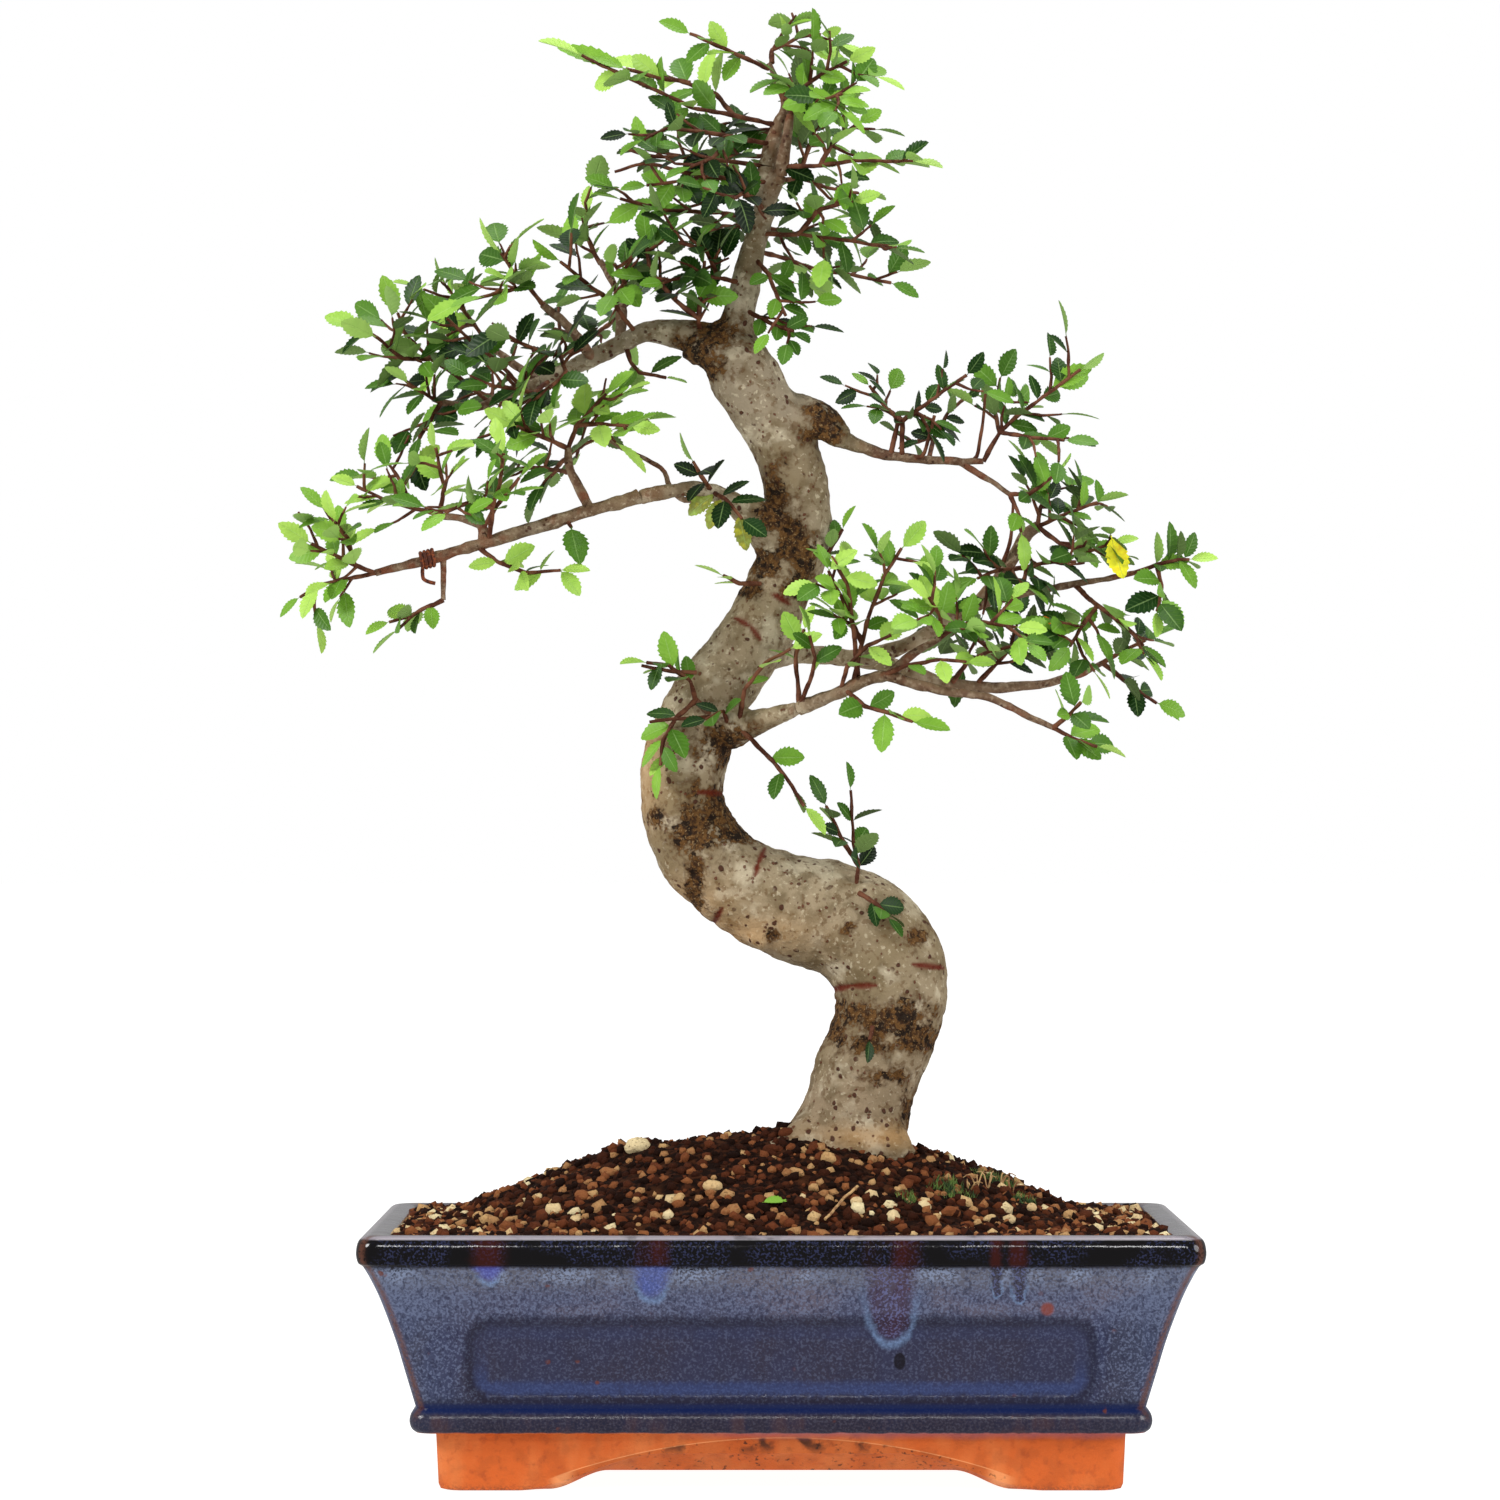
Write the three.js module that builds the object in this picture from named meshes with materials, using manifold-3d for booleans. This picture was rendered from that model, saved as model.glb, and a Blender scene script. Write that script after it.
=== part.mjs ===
// A Chinese elm bonsai in soil, standing in its footed, glazed pot.
// Lengths are millimetres and +Z is up. The ground under the pot's feet is z = 0.
// The front is -Y. X = 0 lies under the middle of the crown, and the pot stands a little to its right.

import * as THREE from 'three';
import { mergeVertices } from 'three/addons/utils/BufferGeometryUtils.js';
import Module from 'manifold-3d';

const wasm = await Module();
wasm.setup();

// Driving dimensions of the pot
const POT_X = 11;
const RIM_LENGTH = 300;
const RIM_DEPTH = 220;
const RIM_TOP = 92;
const CORNER_RADIUS = 7;
const FOOT_HEIGHT = 21;
const FOOT_INSET = 27;
const FOOT_THICKNESS = 14;
const FOOT_CHAMFER = 2.5;
const FLOOR_UNDERSIDE = 17;
const FLOOR_TOP = 28;
const DRAIN_RADIUS = 10;
const DRAIN_OFFSET = 62;
const DRAIN_SIDES = 16;
const DRAIN_CUT_PAST = 5;
const CORNER_STEPS = 2;

// Clearance that touching pieces keep
const GAP = 0.3;

// The routes of the tree were read in the middle plane y = 0 from this eye point.
const EYE = new THREE.Vector3(0, -2440, 232.6);

// Radius of a twig at its root and at its tip, and the shape of a leaf blade
const TWIG_ROOT_RADIUS = 0.95;
const TWIG_TIP_RADIUS = 0.6;
const LEAF_WIDTH_RATIO = 0.54;
const LEAF_THICKNESS = 1.0;
const LEAF_BALL_RATIO = 0.2;

const MATERIALS = {
  glaze: new THREE.MeshStandardMaterial({ color: 0x3a4468, roughness: 0.18, metalness: 0 }),
  mesh: new THREE.MeshStandardMaterial({ color: 0x2c2f2c, roughness: 0.7, metalness: 0 }),
  soil: new THREE.MeshStandardMaterial({ color: 0x3a2318, roughness: 0.95, metalness: 0 }),
  bark: new THREE.MeshStandardMaterial({ color: 0xa89f8c, roughness: 0.8, metalness: 0 }),
  wire: new THREE.MeshStandardMaterial({ color: 0x5a2a14, roughness: 0.75, metalness: 0.3 }),
  leaf: new THREE.MeshStandardMaterial({ color: 0x4f8f35, roughness: 0.5, metalness: 0 }),
};

// Seeded draws, so that the same leaves grow each time

function seededDraw(seed) {
  const modulus = 2147483647;
  let state = (seed * 7919 + 12345) % modulus;
  return () => {
    state = (state * 48271) % modulus;
    return state / modulus;
  };
}

// Solids from rings of points

function solidFrom(points, faces) {
  const geometry = new THREE.BufferGeometry().setFromPoints(points);
  return new wasm.Manifold(
    new wasm.Mesh({
      numProp: 3,
      vertProperties: geometry.getAttribute('position').array,
      triVerts: Uint32Array.from(faces.flat()),
    }),
  );
}

// Joins rings that run anticlockwise round the way of travel, and closes both ends with a fan.
function solidFromRings(rings) {
  const count = rings[0].length;
  const points = rings.flat();
  const faces = [];
  for (let ring = 0; ring + 1 < rings.length; ring += 1) {
    const near = ring * count;
    const far = near + count;
    for (let side = 0; side < count; side += 1) {
      const next = (side + 1) % count;
      faces.push([near + side, near + next, far + next]);
      faces.push([near + side, far + next, far + side]);
    }
  }
  const ends = [rings[0], rings[rings.length - 1]];
  ends.forEach((ring, end) => {
    const middle = new THREE.Vector3();
    ring.forEach((point) => middle.addScaledVector(point, 1 / count));
    const hub = points.push(middle) - 1;
    const first = end * (rings.length - 1) * count;
    for (let side = 0; side < count; side += 1) {
      const next = (side + 1) % count;
      faces.push(end ? [hub, first + side, first + next] : [hub, first + next, first + side]);
    }
  });
  return solidFrom(points, faces);
}

function meshFrom(name, solid, material) {
  const { vertProperties, triVerts } = solid.getMesh();
  const geometry = new THREE.BufferGeometry();
  geometry.setAttribute('position', new THREE.BufferAttribute(vertProperties, 3));
  geometry.setIndex(new THREE.BufferAttribute(triVerts, 1));
  geometry.computeVertexNormals();
  const mesh = new THREE.Mesh(geometry, material);
  mesh.name = name;
  return mesh;
}

function boxSolid(width, depth, height, x, y, z) {
  const halfX = width / 2;
  const halfY = depth / 2;
  const ring = (level) => [
    new THREE.Vector3(x - halfX, y - halfY, level),
    new THREE.Vector3(x + halfX, y - halfY, level),
    new THREE.Vector3(x + halfX, y + halfY, level),
    new THREE.Vector3(x - halfX, y + halfY, level),
  ];
  return solidFromRings([ring(z - height / 2), ring(z + height / 2)]);
}

function largestPiece(solid) {
  return solid.decompose().reduce((best, piece) => (piece.volume() > best.volume() ? piece : best));
}

// The pot

// A level of the pot: a rounded rectangle at one height, set in from the rim's outer edge.
function potRing(height, inset) {
  const halfX = RIM_LENGTH / 2 - inset;
  const halfY = RIM_DEPTH / 2 - inset;
  const radius = CORNER_RADIUS;
  const ring = [];
  for (let quarter = 0; quarter < 4; quarter += 1) {
    const signX = quarter === 1 || quarter === 2 ? -1 : 1;
    const signY = quarter < 2 ? 1 : -1;
    for (let step = 0; step <= CORNER_STEPS; step += 1) {
      const angle = ((quarter + step / CORNER_STEPS) * Math.PI) / 2;
      const x = signX * (halfX - radius) + radius * Math.cos(angle);
      const y = signY * (halfY - radius) + radius * Math.sin(angle);
      ring.push(new THREE.Vector3(POT_X + x, y, height));
    }
  }
  return ring;
}

// The profile from the middle of the underside, over the rim and down to the floor inside: height, inset
const FOOT_INNER_INSET = FOOT_INSET + FOOT_THICKNESS;
const UNDERSIDE_PROFILE = [
  [FLOOR_UNDERSIDE, FOOT_INNER_INSET + 1],
  [0, FOOT_INNER_INSET],
  [0, FOOT_INSET + FOOT_CHAMFER + 1],
  [FOOT_CHAMFER, FOOT_INSET + 1],
  [FOOT_HEIGHT, FOOT_INSET],
];
const OUTER_PROFILE = [
  [FOOT_HEIGHT, 20.5],
  [22.5, 18.6],
  [28, 18.4],
  [30, 20],
  [43, 16.5],
  [55, 13.1],
  [69, 8.2],
  [77, 4.6],
  [81, 2.4],
  [82.5, 0.6],
  [86, 0],
  [90.7, 1],
  [RIM_TOP, 4],
];
const INNER_PROFILE = [
  [RIM_TOP, 9],
  [90.5, 11.5],
  [84, 13],
  [69, 18],
  [43, 25.5],
  [32, 28],
  [FLOOR_TOP, 33],
];

// Cuts the space between two feet: an S-curved arch, higher at the outer face than behind it.
// Each level is a height and a share of the half span.
const ARCH_OUTER = [[0.2, 1.16], [5.6, 0.82], [10.5, 0.62], [12.8, 0.48]];
const ARCH_INNER = [[0, 1], [0.9, 0.94], [5.4, 0.83], [6.7, 0.77]];
const ARCH_SLANT_DEPTH = 9;
const ARCH_FLARE = 1.2;
const ARCH_BOTTOM = -2;
const ARCH_PAST_BACK = 4;
const ARCH_PAST_FACE = 1;
const LONG_ARCH_HALF_SPAN = 81;
const SHORT_ARCH_HALF_SPAN = 44;

function archRing(levels, halfSpan, distance, turn) {
  const right = levels.map(([height, reach]) => [reach * halfSpan, height]);
  const left = right.map(([x, height]) => [-x, height]).reverse();
  const flare = halfSpan * ARCH_FLARE;
  const outline = [[flare, ARCH_BOTTOM], ...right, ...left, [-flare, ARCH_BOTTOM]];
  const spin = new THREE.Matrix4().makeRotationZ(turn);
  return outline.map(([x, z]) => {
    const point = new THREE.Vector3(x, -distance, z).applyMatrix4(spin);
    return point.setX(point.x + POT_X);
  });
}

function archCutter(halfSpan, outerFace, turn) {
  const rings = [
    archRing(ARCH_INNER, halfSpan, outerFace - FOOT_THICKNESS - ARCH_PAST_BACK, turn),
    archRing(ARCH_INNER, halfSpan, outerFace - ARCH_SLANT_DEPTH, turn),
    archRing(ARCH_OUTER, halfSpan, outerFace + ARCH_PAST_FACE, turn),
  ];
  return solidFromRings(rings);
}

function drainCutter(side) {
  const ring = (height) => {
    const points = [];
    for (let step = 0; step < DRAIN_SIDES; step += 1) {
      const angle = (step / DRAIN_SIDES) * 2 * Math.PI;
      const x = POT_X + side * DRAIN_OFFSET + DRAIN_RADIUS * Math.cos(angle);
      points.push(new THREE.Vector3(x, DRAIN_RADIUS * Math.sin(angle), height));
    }
    return points;
  };
  return solidFromRings([ring(FLOOR_UNDERSIDE - DRAIN_CUT_PAST), ring(FLOOR_TOP + DRAIN_CUT_PAST)]);
}

function buildPot() {
  const profile = [...UNDERSIDE_PROFILE, ...OUTER_PROFILE, ...INNER_PROFILE];
  let pot = solidFromRings(profile.map(([height, inset]) => potRing(height, inset)));
  const frontFace = RIM_DEPTH / 2 - FOOT_INSET;
  const endFace = RIM_LENGTH / 2 - FOOT_INSET;
  for (let quarter = 0; quarter < 4; quarter += 1) {
    const turn = (quarter * Math.PI) / 2;
    const long = quarter % 2 === 0;
    const halfSpan = long ? LONG_ARCH_HALF_SPAN : SHORT_ARCH_HALF_SPAN;
    pot = pot.subtract(archCutter(halfSpan, long ? frontFace : endFace, turn));
  }
  return pot.subtract(drainCutter(-1)).subtract(drainCutter(1));
}

// The mesh squares over the drainage holes

const SCREEN_SIZE = 34;
const SCREEN_THICKNESS = 1.2;
const SCREEN_HOLES = 2;
const SCREEN_HOLE_SIZE = 11;

function buildScreen(side) {
  const x = POT_X + side * DRAIN_OFFSET;
  const z = FLOOR_TOP + GAP + SCREEN_THICKNESS / 2;
  let screen = boxSolid(SCREEN_SIZE, SCREEN_SIZE, SCREEN_THICKNESS, x, 0, z);
  const pitch = SCREEN_SIZE / (SCREEN_HOLES + 0.5);
  for (let column = 0; column < SCREEN_HOLES; column += 1) {
    for (let row = 0; row < SCREEN_HOLES; row += 1) {
      const holeX = x + (column - (SCREEN_HOLES - 1) / 2) * pitch;
      const holeY = (row - (SCREEN_HOLES - 1) / 2) * pitch;
      const size = SCREEN_HOLE_SIZE;
      screen = screen.subtract(boxSolid(size, size, 3 * SCREEN_THICKNESS, holeX, holeY, z));
    }
  }
  return screen;
}

// Places on the tree

// A place read in the middle plane, moved along its line of sight to its own depth.
function seenAt(x, z, depth) {
  const reach = (depth - EYE.y) / -EYE.y;
  return new THREE.Vector3(x, 0, z).sub(EYE).multiplyScalar(reach).add(EYE);
}

// The wood: x, z, depth and radius of each station
const TRUNK = [
  [36, 90, 0, 18],
  [35, 108, 0, 23],
  [36, 120, 0, 22.5],
  [39, 131, 0, 20],
  [43, 146, 0, 19.3],
  [49, 160, 0, 19.6],
  [52, 173, 1, 20.6],
  [50, 186, 2, 21.8],
  [42, 197, 3, 21.6],
  [30, 203, 4, 20.8],
  [17, 206, 4, 19.6],
  [4, 211, 3, 18.4],
  [-8, 218, 2, 17.2],
  [-18, 228, 0, 16.6],
  [-24, 241, -2, 15.6],
  [-25, 254, -3, 15.6],
  [-22, 267, -3, 15.6],
  [-16, 282, -2, 14.4],
  [-5, 297, -1, 13.4],
  [5, 312, 0, 13.1],
  [11, 326, 1, 12.2],
  [17, 339, 2, 12.6],
  [18, 352, 2, 12.1],
  [16, 366, 1, 12],
  [12, 379, 0, 12.2],
  [5, 391, -1, 12.4],
  [-3, 404, -1, 12.8],
  [-7, 415, 0, 10.5],
  [-6, 421, 0, 7],
];
const BRANCHES = {
  leader: [
    [-6, 410, 0, 9], [-4, 424, 0, 6.2], [-2, 434, 0, 5.6], [0, 445, 0, 4.9], [4, 459, -1, 4.1],
    [6, 467, -2, 4.4], [6, 480, -2, 3.4], [10, 494, -1, 2.5], [13, 502, 0, 1.8], [10, 511, 1, 1.3],
    [7, 518, 1, 0.9],
  ],
  leader_prong: [[6, 466, -2, 3.2], [11, 477, -7, 2.7], [13, 487, -9, 2.3], [15, 499, -9, 1.3]],
  low_left: [
    [8, 344, -2, 9], [0, 351, -8, 5.6], [-10, 358, -13, 3.7], [-22, 361, -17, 3], [-41, 358, -22, 2.6],
    [-59, 353, -26, 2.4], [-78, 347, -30, 2.4], [-98, 341, -33, 2.2], [-119, 335, -35, 1.9],
    [-138, 330, -36, 1.3],
  ],
  low_left_bare: [
    [-17, 359, -15, 1.6], [-24, 357, -11, 1.2], [-29, 361, -8, 1], [-33, 369, -5, 0.9],
    [-47, 376, -2, 0.8], [-54, 380, 0, 0.7],
  ],
  low_left_rise: [[-59, 353, -26, 1.9], [-63, 361, -22, 1.8], [-67, 370, -19, 1.6], [-67, 376, -17, 1.3]],
  low_left_arm: [[-98, 341, -33, 2.3], [-100, 348, -29, 1.7], [-114, 351, -25, 1.3]],
  low_left_drop: [[-113, 337, -34, 1.2], [-113, 320, -36, 0.9]],
  high_left: [
    [-8, 412, 0, 9], [-22, 417, 2, 6.4], [-37, 419, 5, 4.2], [-48, 414, 8, 3.7], [-63, 407, 11, 3.4],
    [-77, 400, 13, 2.8], [-90, 396, 14, 2.3], [-96, 393, 14, 1.8],
  ],
  high_left_front: [[-58, 409, 10, 2.2], [-66, 420, -2, 1.8], [-76, 429, -10, 1.4]],
  high_left_back: [[-77, 400, 13, 2], [-87, 407, 22, 1.6], [-96, 414, 30, 1.2]],
  high_left_rise: [[-48, 414, 8, 2.2], [-48, 431, 16, 1.7], [-55, 445, 22, 1.2]],
  high_left_tip: [[-92, 395, 14, 1.9], [-101, 391, 11, 1.5], [-114, 393, 6, 1.2]],
  high_right: [
    [12, 390, 2, 8], [27, 386, -2, 6.6], [35, 379, -5, 3.4], [48, 374, -8, 1.9], [63, 372, -9, 1.6],
    [77, 371, -10, 1.4], [86, 371, -10, 1.1],
  ],
  high_right_droop: [[77, 371, -10, 1.3], [87, 365, -13, 1.1], [96, 359, -15, 0.9]],
  front_right: [
    [-7, 272, -8, 7], [3, 275, -20, 4.6], [18, 280, -28, 2.7], [33, 286, -34, 2.4], [48, 292, -38, 2.2],
    [61, 289, -42, 1.9], [74, 286, -45, 1.6], [88, 284, -47, 1.4], [103, 277, -49, 1.2],
    [112, 273, -50, 0.9],
  ],
  front_right_rise: [[51, 292, -39, 1.9], [60, 300, -40, 1.6], [70, 306, -40, 1.2]],
  back_right: [
    [0, 300, 4, 8], [18, 300, 24, 3.8], [41, 298, 36, 3.5], [55, 295, 44, 2.9], [74, 289, 52, 2.3],
    [100, 288, 58, 1.8], [120, 292, 61, 1.4], [130, 297, 62, 1],
  ],
  mid_right: [
    [38, 298, 35, 3.2], [57, 303, 28, 2.9], [72, 312, 24, 2.8], [85, 320, 20, 2.7], [94, 331, 17, 2.5],
    [101, 343, 14, 2.5], [106, 347, 12, 2.1],
  ],
  long_right: [
    [74, 314, 23, 2], [88, 319, 16, 1.6], [103, 323, 10, 1.4], [122, 326, 4, 1.2], [142, 330, -2, 0.9],
  ],
  front_left_arch: [[-14, 277, -14, 1.4], [-20, 283, -20, 1.2]],
};
const TWIG_SIDES = 3;
const WOOD_SIDES = 5;
const TRUNK_SIDES = 12;
const WOOD_GAP = 0.35;

// The leafy sprays. Each shoot runs through x, z, depth; the first is rooted on the wood.
const SPRAYS = {
  crown_tip_left: { leaves: [4], size: 12, shoots: [
    [[7, 516, 1], [-2, 520, -3], [-10, 524, -6], [-22, 529, -10]],
  ] },
  crown_long_left: { leaves: [5, 3], size: 15, shoots: [
    [[11, 495, -1], [-6, 499, -6], [-22, 502, -10], [-39, 510, -15], [-62, 521, -19]],
    [[-6, 499, -6], [-13, 507, 2], [-24, 511, 8], [-38, 516, 14]],
  ] },
  crown_top: { leaves: [5], size: 11, shoots: [
    [[8, 518, 1], [8, 523, 3], [13, 525, 5], [18, 528, 8], [26, 529, 10]],
  ] },
  crown_top_right: { leaves: [4, 3], size: 12, shoots: [
    [[15, 499, -9], [18, 508, -12], [26, 514, -15], [36, 519, -18]],
    [[18, 508, -12], [24, 503, -20], [34, 507, -26]],
  ] },
  crown_left_front: { leaves: [5, 2], size: 12, shoots: [
    [[8, 488, -2], [-6, 491, -15], [-18, 493, -23], [-31, 494, -30], [-39, 490, -34]],
    [[-6, 491, -15], [-14, 483, -28], [-22, 480, -36]],
  ] },
  crown_left_back: { leaves: [5, 2], size: 12, shoots: [
    [[7, 484, -2], [-5, 484, 14], [-20, 483, 24], [-38, 486, 32]],
    [[-5, 484, 14], [-10, 492, 28], [-15, 498, 38]],
  ] },
  crown_left_low: { leaves: [5], size: 12, shoots: [
    [[6, 471, -2], [-6, 475, -10], [-18, 476, -16], [-38, 473, -22]],
  ] },
  leader_left: { leaves: [5, 2], size: 12, shoots: [
    [[4, 460, -1], [-11, 463, -6], [-33, 464, -12], [-48, 468, -17]],
    [[-11, 463, -6], [-20, 470, 4], [-30, 473, 10]],
  ] },
  crown_right: { leaves: [5, 3], size: 12, shoots: [
    [[12, 480, -8], [26, 480, -13], [38, 482, -18], [60, 482, -24]],
    [[26, 480, -13], [30, 488, -8], [40, 496, -4]],
  ] },
  crown_right_back: { leaves: [4, 3], size: 12, shoots: [
    [[8, 474, -4], [18, 476, 16], [29, 472, 28], [40, 470, 38]],
    [[18, 476, 16], [22, 488, 22], [26, 499, 28]],
  ] },
  leader_right: { leaves: [5, 3], size: 13, shoots: [
    [[3, 455, -1], [18, 455, -10], [33, 453, -17], [54, 450, -24]],
    [[18, 455, -10], [25, 464, -16], [38, 467, -22]],
  ] },
  leader_right_low: { leaves: [5], size: 13, shoots: [
    [[1, 449, 0], [13, 446, 12], [24, 442, 20], [38, 440, 26], [52, 437, 30]],
  ] },
  leader_front_low: { leaves: [5], size: 11, shoots: [
    [[1, 447, 0], [7, 440, -12], [10, 432, -17], [13, 425, -20]],
  ] },
  leader_front: { leaves: [5], size: 12, shoots: [
    [[5, 464, -2], [2, 468, -20], [-3, 470, -34], [-6, 468, -46]],
  ] },
  leader_left_low: { leaves: [4, 3], size: 12, shoots: [
    [[-2, 437, 0], [-12, 439, -12], [-22, 440, -20], [-32, 437, -28]],
    [[-12, 439, -12], [-16, 449, -22], [-26, 452, -32]],
  ] },
  crown_back: { leaves: [4, 3], size: 12, shoots: [
    [[9, 491, -1], [8, 494, 18], [2, 492, 36], [0, 487, 52]],
    [[8, 494, 18], [16, 502, 30], [20, 505, 42]],
  ] },
  leader_back: { leaves: [4, 3], size: 12, shoots: [
    [[3, 456, -1], [-2, 458, 20], [-10, 458, 38], [-14, 454, 54]],
    [[-2, 458, 20], [10, 457, 34], [18, 455, 48]],
  ] },
  leader_foot: { leaves: [5], size: 11, shoots: [
    [[-3, 428, 0], [4, 424, -12], [10, 421, -18], [16, 419, -23]],
  ] },
  shoulder_left: { leaves: [4, 3], size: 12, shoots: [
    [[-18, 416, 2], [-19, 424, -8], [-18, 434, -12], [-17, 445, -14]],
    [[-19, 424, -8], [-29, 432, -14], [-37, 442, -18], [-38, 451, -20]],
  ] },
  high_left_crest: { leaves: [5], size: 12, shoots: [
    [[-55, 444, 22], [-58, 449, 24], [-61, 456, 26], [-60, 463, 27]],
  ] },
  high_left_ridge: { leaves: [4, 2], size: 13, shoots: [
    [[-42, 418, 6], [-50, 429, -8], [-60, 437, -16], [-70, 445, -22]],
    [[-50, 429, -8], [-46, 437, -18], [-50, 444, -28]],
  ] },
  high_left_peak: { leaves: [5, 2], size: 14, shoots: [
    [[-76, 429, -10], [-82, 436, -12], [-88, 442, -14], [-92, 448, -15]],
    [[-82, 436, -12], [-90, 434, -22], [-98, 432, -30]],
  ] },
  high_left_front_low: { leaves: [4, 3], size: 13, shoots: [
    [[-62, 414, 4], [-70, 410, -12], [-78, 412, -24], [-88, 416, -34]],
    [[-70, 410, -12], [-68, 404, -26], [-74, 398, -38]],
  ] },
  high_left_outer: { leaves: [4, 2], size: 13, shoots: [
    [[-96, 414, 30], [-102, 422, 30], [-108, 430, 28], [-112, 436, 26]],
    [[-102, 422, 30], [-108, 420, 42], [-114, 418, 50]],
  ] },
  high_left_mid: { leaves: [5], size: 13, shoots: [
    [[-84, 398, 14], [-92, 407, 2], [-102, 415, -4], [-112, 424, -8]],
  ] },
  high_left_round: { leaves: [4, 3], size: 14, shoots: [
    [[-96, 393, 14], [-107, 402, 14], [-118, 409, 12], [-128, 419, 8], [-130, 426, 6]],
    [[-118, 409, 12], [-128, 409, 4], [-138, 417, -2]],
  ] },
  high_left_end: { leaves: [4, 3], size: 13, shoots: [
    [[-114, 393, 6], [-118, 395, 2], [-126, 400, -2]],
    [[-114, 393, 6], [-118, 386, 0], [-122, 380, -6]],
  ] },
  high_left_under: { leaves: [4, 3], size: 12, shoots: [
    [[-74, 401, 12], [-80, 396, -4], [-88, 389, -12], [-95, 380, -18]],
    [[-80, 396, -4], [-86, 398, -18], [-96, 399, -26]],
  ] },
  high_left_rear: { leaves: [4, 3], size: 13, shoots: [
    [[-60, 408, 10], [-62, 414, 28], [-66, 418, 44], [-72, 420, 58]],
    [[-62, 414, 28], [-52, 422, 40], [-46, 428, 50]],
  ] },
  high_left_rear_low: { leaves: [4, 2], size: 13, shoots: [
    [[-86, 397, 14], [-92, 394, 30], [-98, 396, 44], [-106, 400, 54]],
    [[-92, 394, 30], [-84, 390, 42], [-78, 392, 52]],
  ] },
  low_left_end: { leaves: [4, 3, 2], size: 12, shoots: [
    [[-138, 330, -36], [-146, 333, -38], [-154, 337, -40], [-162, 341, -42]],
    [[-138, 330, -36], [-148, 328, -32], [-158, 326, -28], [-166, 321, -26]],
    [[-146, 333, -38], [-148, 342, -44], [-153, 349, -50]],
  ] },
  low_left_arm_end: { leaves: [3, 2, 2], size: 12, shoots: [
    [[-114, 351, -25], [-125, 354, -22], [-135, 357, -20], [-145, 362, -18]],
    [[-125, 354, -22], [-128, 362, -12], [-133, 370, -6]],
    [[-114, 351, -25], [-113, 362, -33], [-116, 376, -40]],
  ] },
  low_left_bend: { leaves: [4, 2], size: 12, shoots: [
    [[-96, 342, -33], [-95, 354, -42], [-92, 363, -50], [-91, 374, -56]],
    [[-95, 354, -42], [-104, 356, -52], [-112, 352, -60]],
  ] },
  low_left_bright: { leaves: [5, 3, 2], size: 13, shoots: [
    [[-67, 376, -17], [-64, 384, -18], [-58, 391, -20], [-53, 396, -22]],
    [[-64, 384, -18], [-55, 385, -26], [-44, 384, -32]],
    [[-67, 376, -17], [-76, 380, -22], [-86, 384, -26]],
  ] },
  low_left_rear: { leaves: [4, 3], size: 12, shoots: [
    [[-66, 367, -20], [-72, 368, -4], [-80, 369, 8], [-88, 368, 18]],
    [[-72, 368, -4], [-66, 374, 10], [-60, 378, 22]],
  ] },
  low_left_drop_end: { leaves: [5], size: 12, shoots: [
    [[-113, 320, -36], [-118, 318, -37], [-125, 314, -38], [-133, 312, -39]],
  ] },
  low_left_pale: { leaves: [4], size: 12, shoots: [
    [[-101, 340, -33], [-93, 334, -38], [-82, 330, -40], [-70, 331, -42]],
  ] },
  low_left_front: { leaves: [3, 2], size: 12, shoots: [
    [[-14, 360, -15], [-17, 364, -24], [-21, 371, -28]],
    [[-14, 360, -15], [-9, 357, -26], [-3, 350, -30]],
  ] },
  high_right_front: { leaves: [4, 2], size: 12, shoots: [
    [[56, 373, -9], [56, 386, -14], [66, 393, -18], [80, 403, -24]],
    [[56, 386, -14], [50, 391, -8], [44, 399, -4]],
  ] },
  high_right_rear: { leaves: [4, 2], size: 12, shoots: [
    [[66, 372, -9], [68, 380, 4], [73, 389, 12], [80, 395, 18]],
    [[68, 380, 4], [60, 378, 16], [54, 382, 26]],
  ] },
  high_right_end: { leaves: [5, 3, 2], size: 13, shoots: [
    [[86, 371, -10], [92, 382, -10], [100, 389, -10], [111, 397, -10], [122, 405, -10]],
    [[92, 382, -10], [103, 380, -18], [116, 379, -24]],
    [[92, 382, -10], [90, 390, 0], [94, 396, 8]],
  ] },
  high_right_droop_end: { leaves: [4, 2], size: 12, shoots: [
    [[96, 359, -15], [103, 359, -20], [112, 366, -25]],
    [[96, 359, -15], [99, 352, -18], [100, 345, -20]],
  ] },
  mid_right_end: { leaves: [4, 3, 2], size: 12, shoots: [
    [[106, 347, 12], [114, 351, 12], [128, 356, 12]],
    [[106, 347, 12], [115, 340, 4], [125, 338, 0], [134, 341, -4]],
    [[106, 347, 12], [107, 354, 20], [111, 362, 26]],
  ] },
  long_right_end: { leaves: [5, 3], size: 13, shoots: [
    [[142, 330, -2], [150, 333, -4], [158, 335, -6], [162, 335, -7]],
    [[150, 333, -4], [152, 324, -12], [150, 316, -18]],
  ] },
  long_right_under: { leaves: [4, 3], size: 14, shoots: [
    [[120, 325, 5], [128, 318, -4], [138, 311, -10], [145, 303, -14]],
    [[128, 318, -4], [122, 310, -14], [118, 303, -20]],
  ] },
  long_right_top: { leaves: [4, 3], size: 12, shoots: [
    [[100, 322, 11], [102, 332, 0], [110, 334, -10], [120, 334, -16]],
    [[102, 332, 0], [92, 331, -12], [84, 328, -22]],
  ] },
  back_right_end: { leaves: [4, 3], size: 13, shoots: [
    [[130, 297, 62], [137, 301, 60], [146, 305, 58]],
    [[130, 297, 62], [138, 290, 66], [150, 282, 68]],
  ] },
  back_right_top: { leaves: [5, 3], size: 13, shoots: [
    [[84, 289, 54], [92, 298, 50], [100, 306, 44], [110, 311, 38]],
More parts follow.
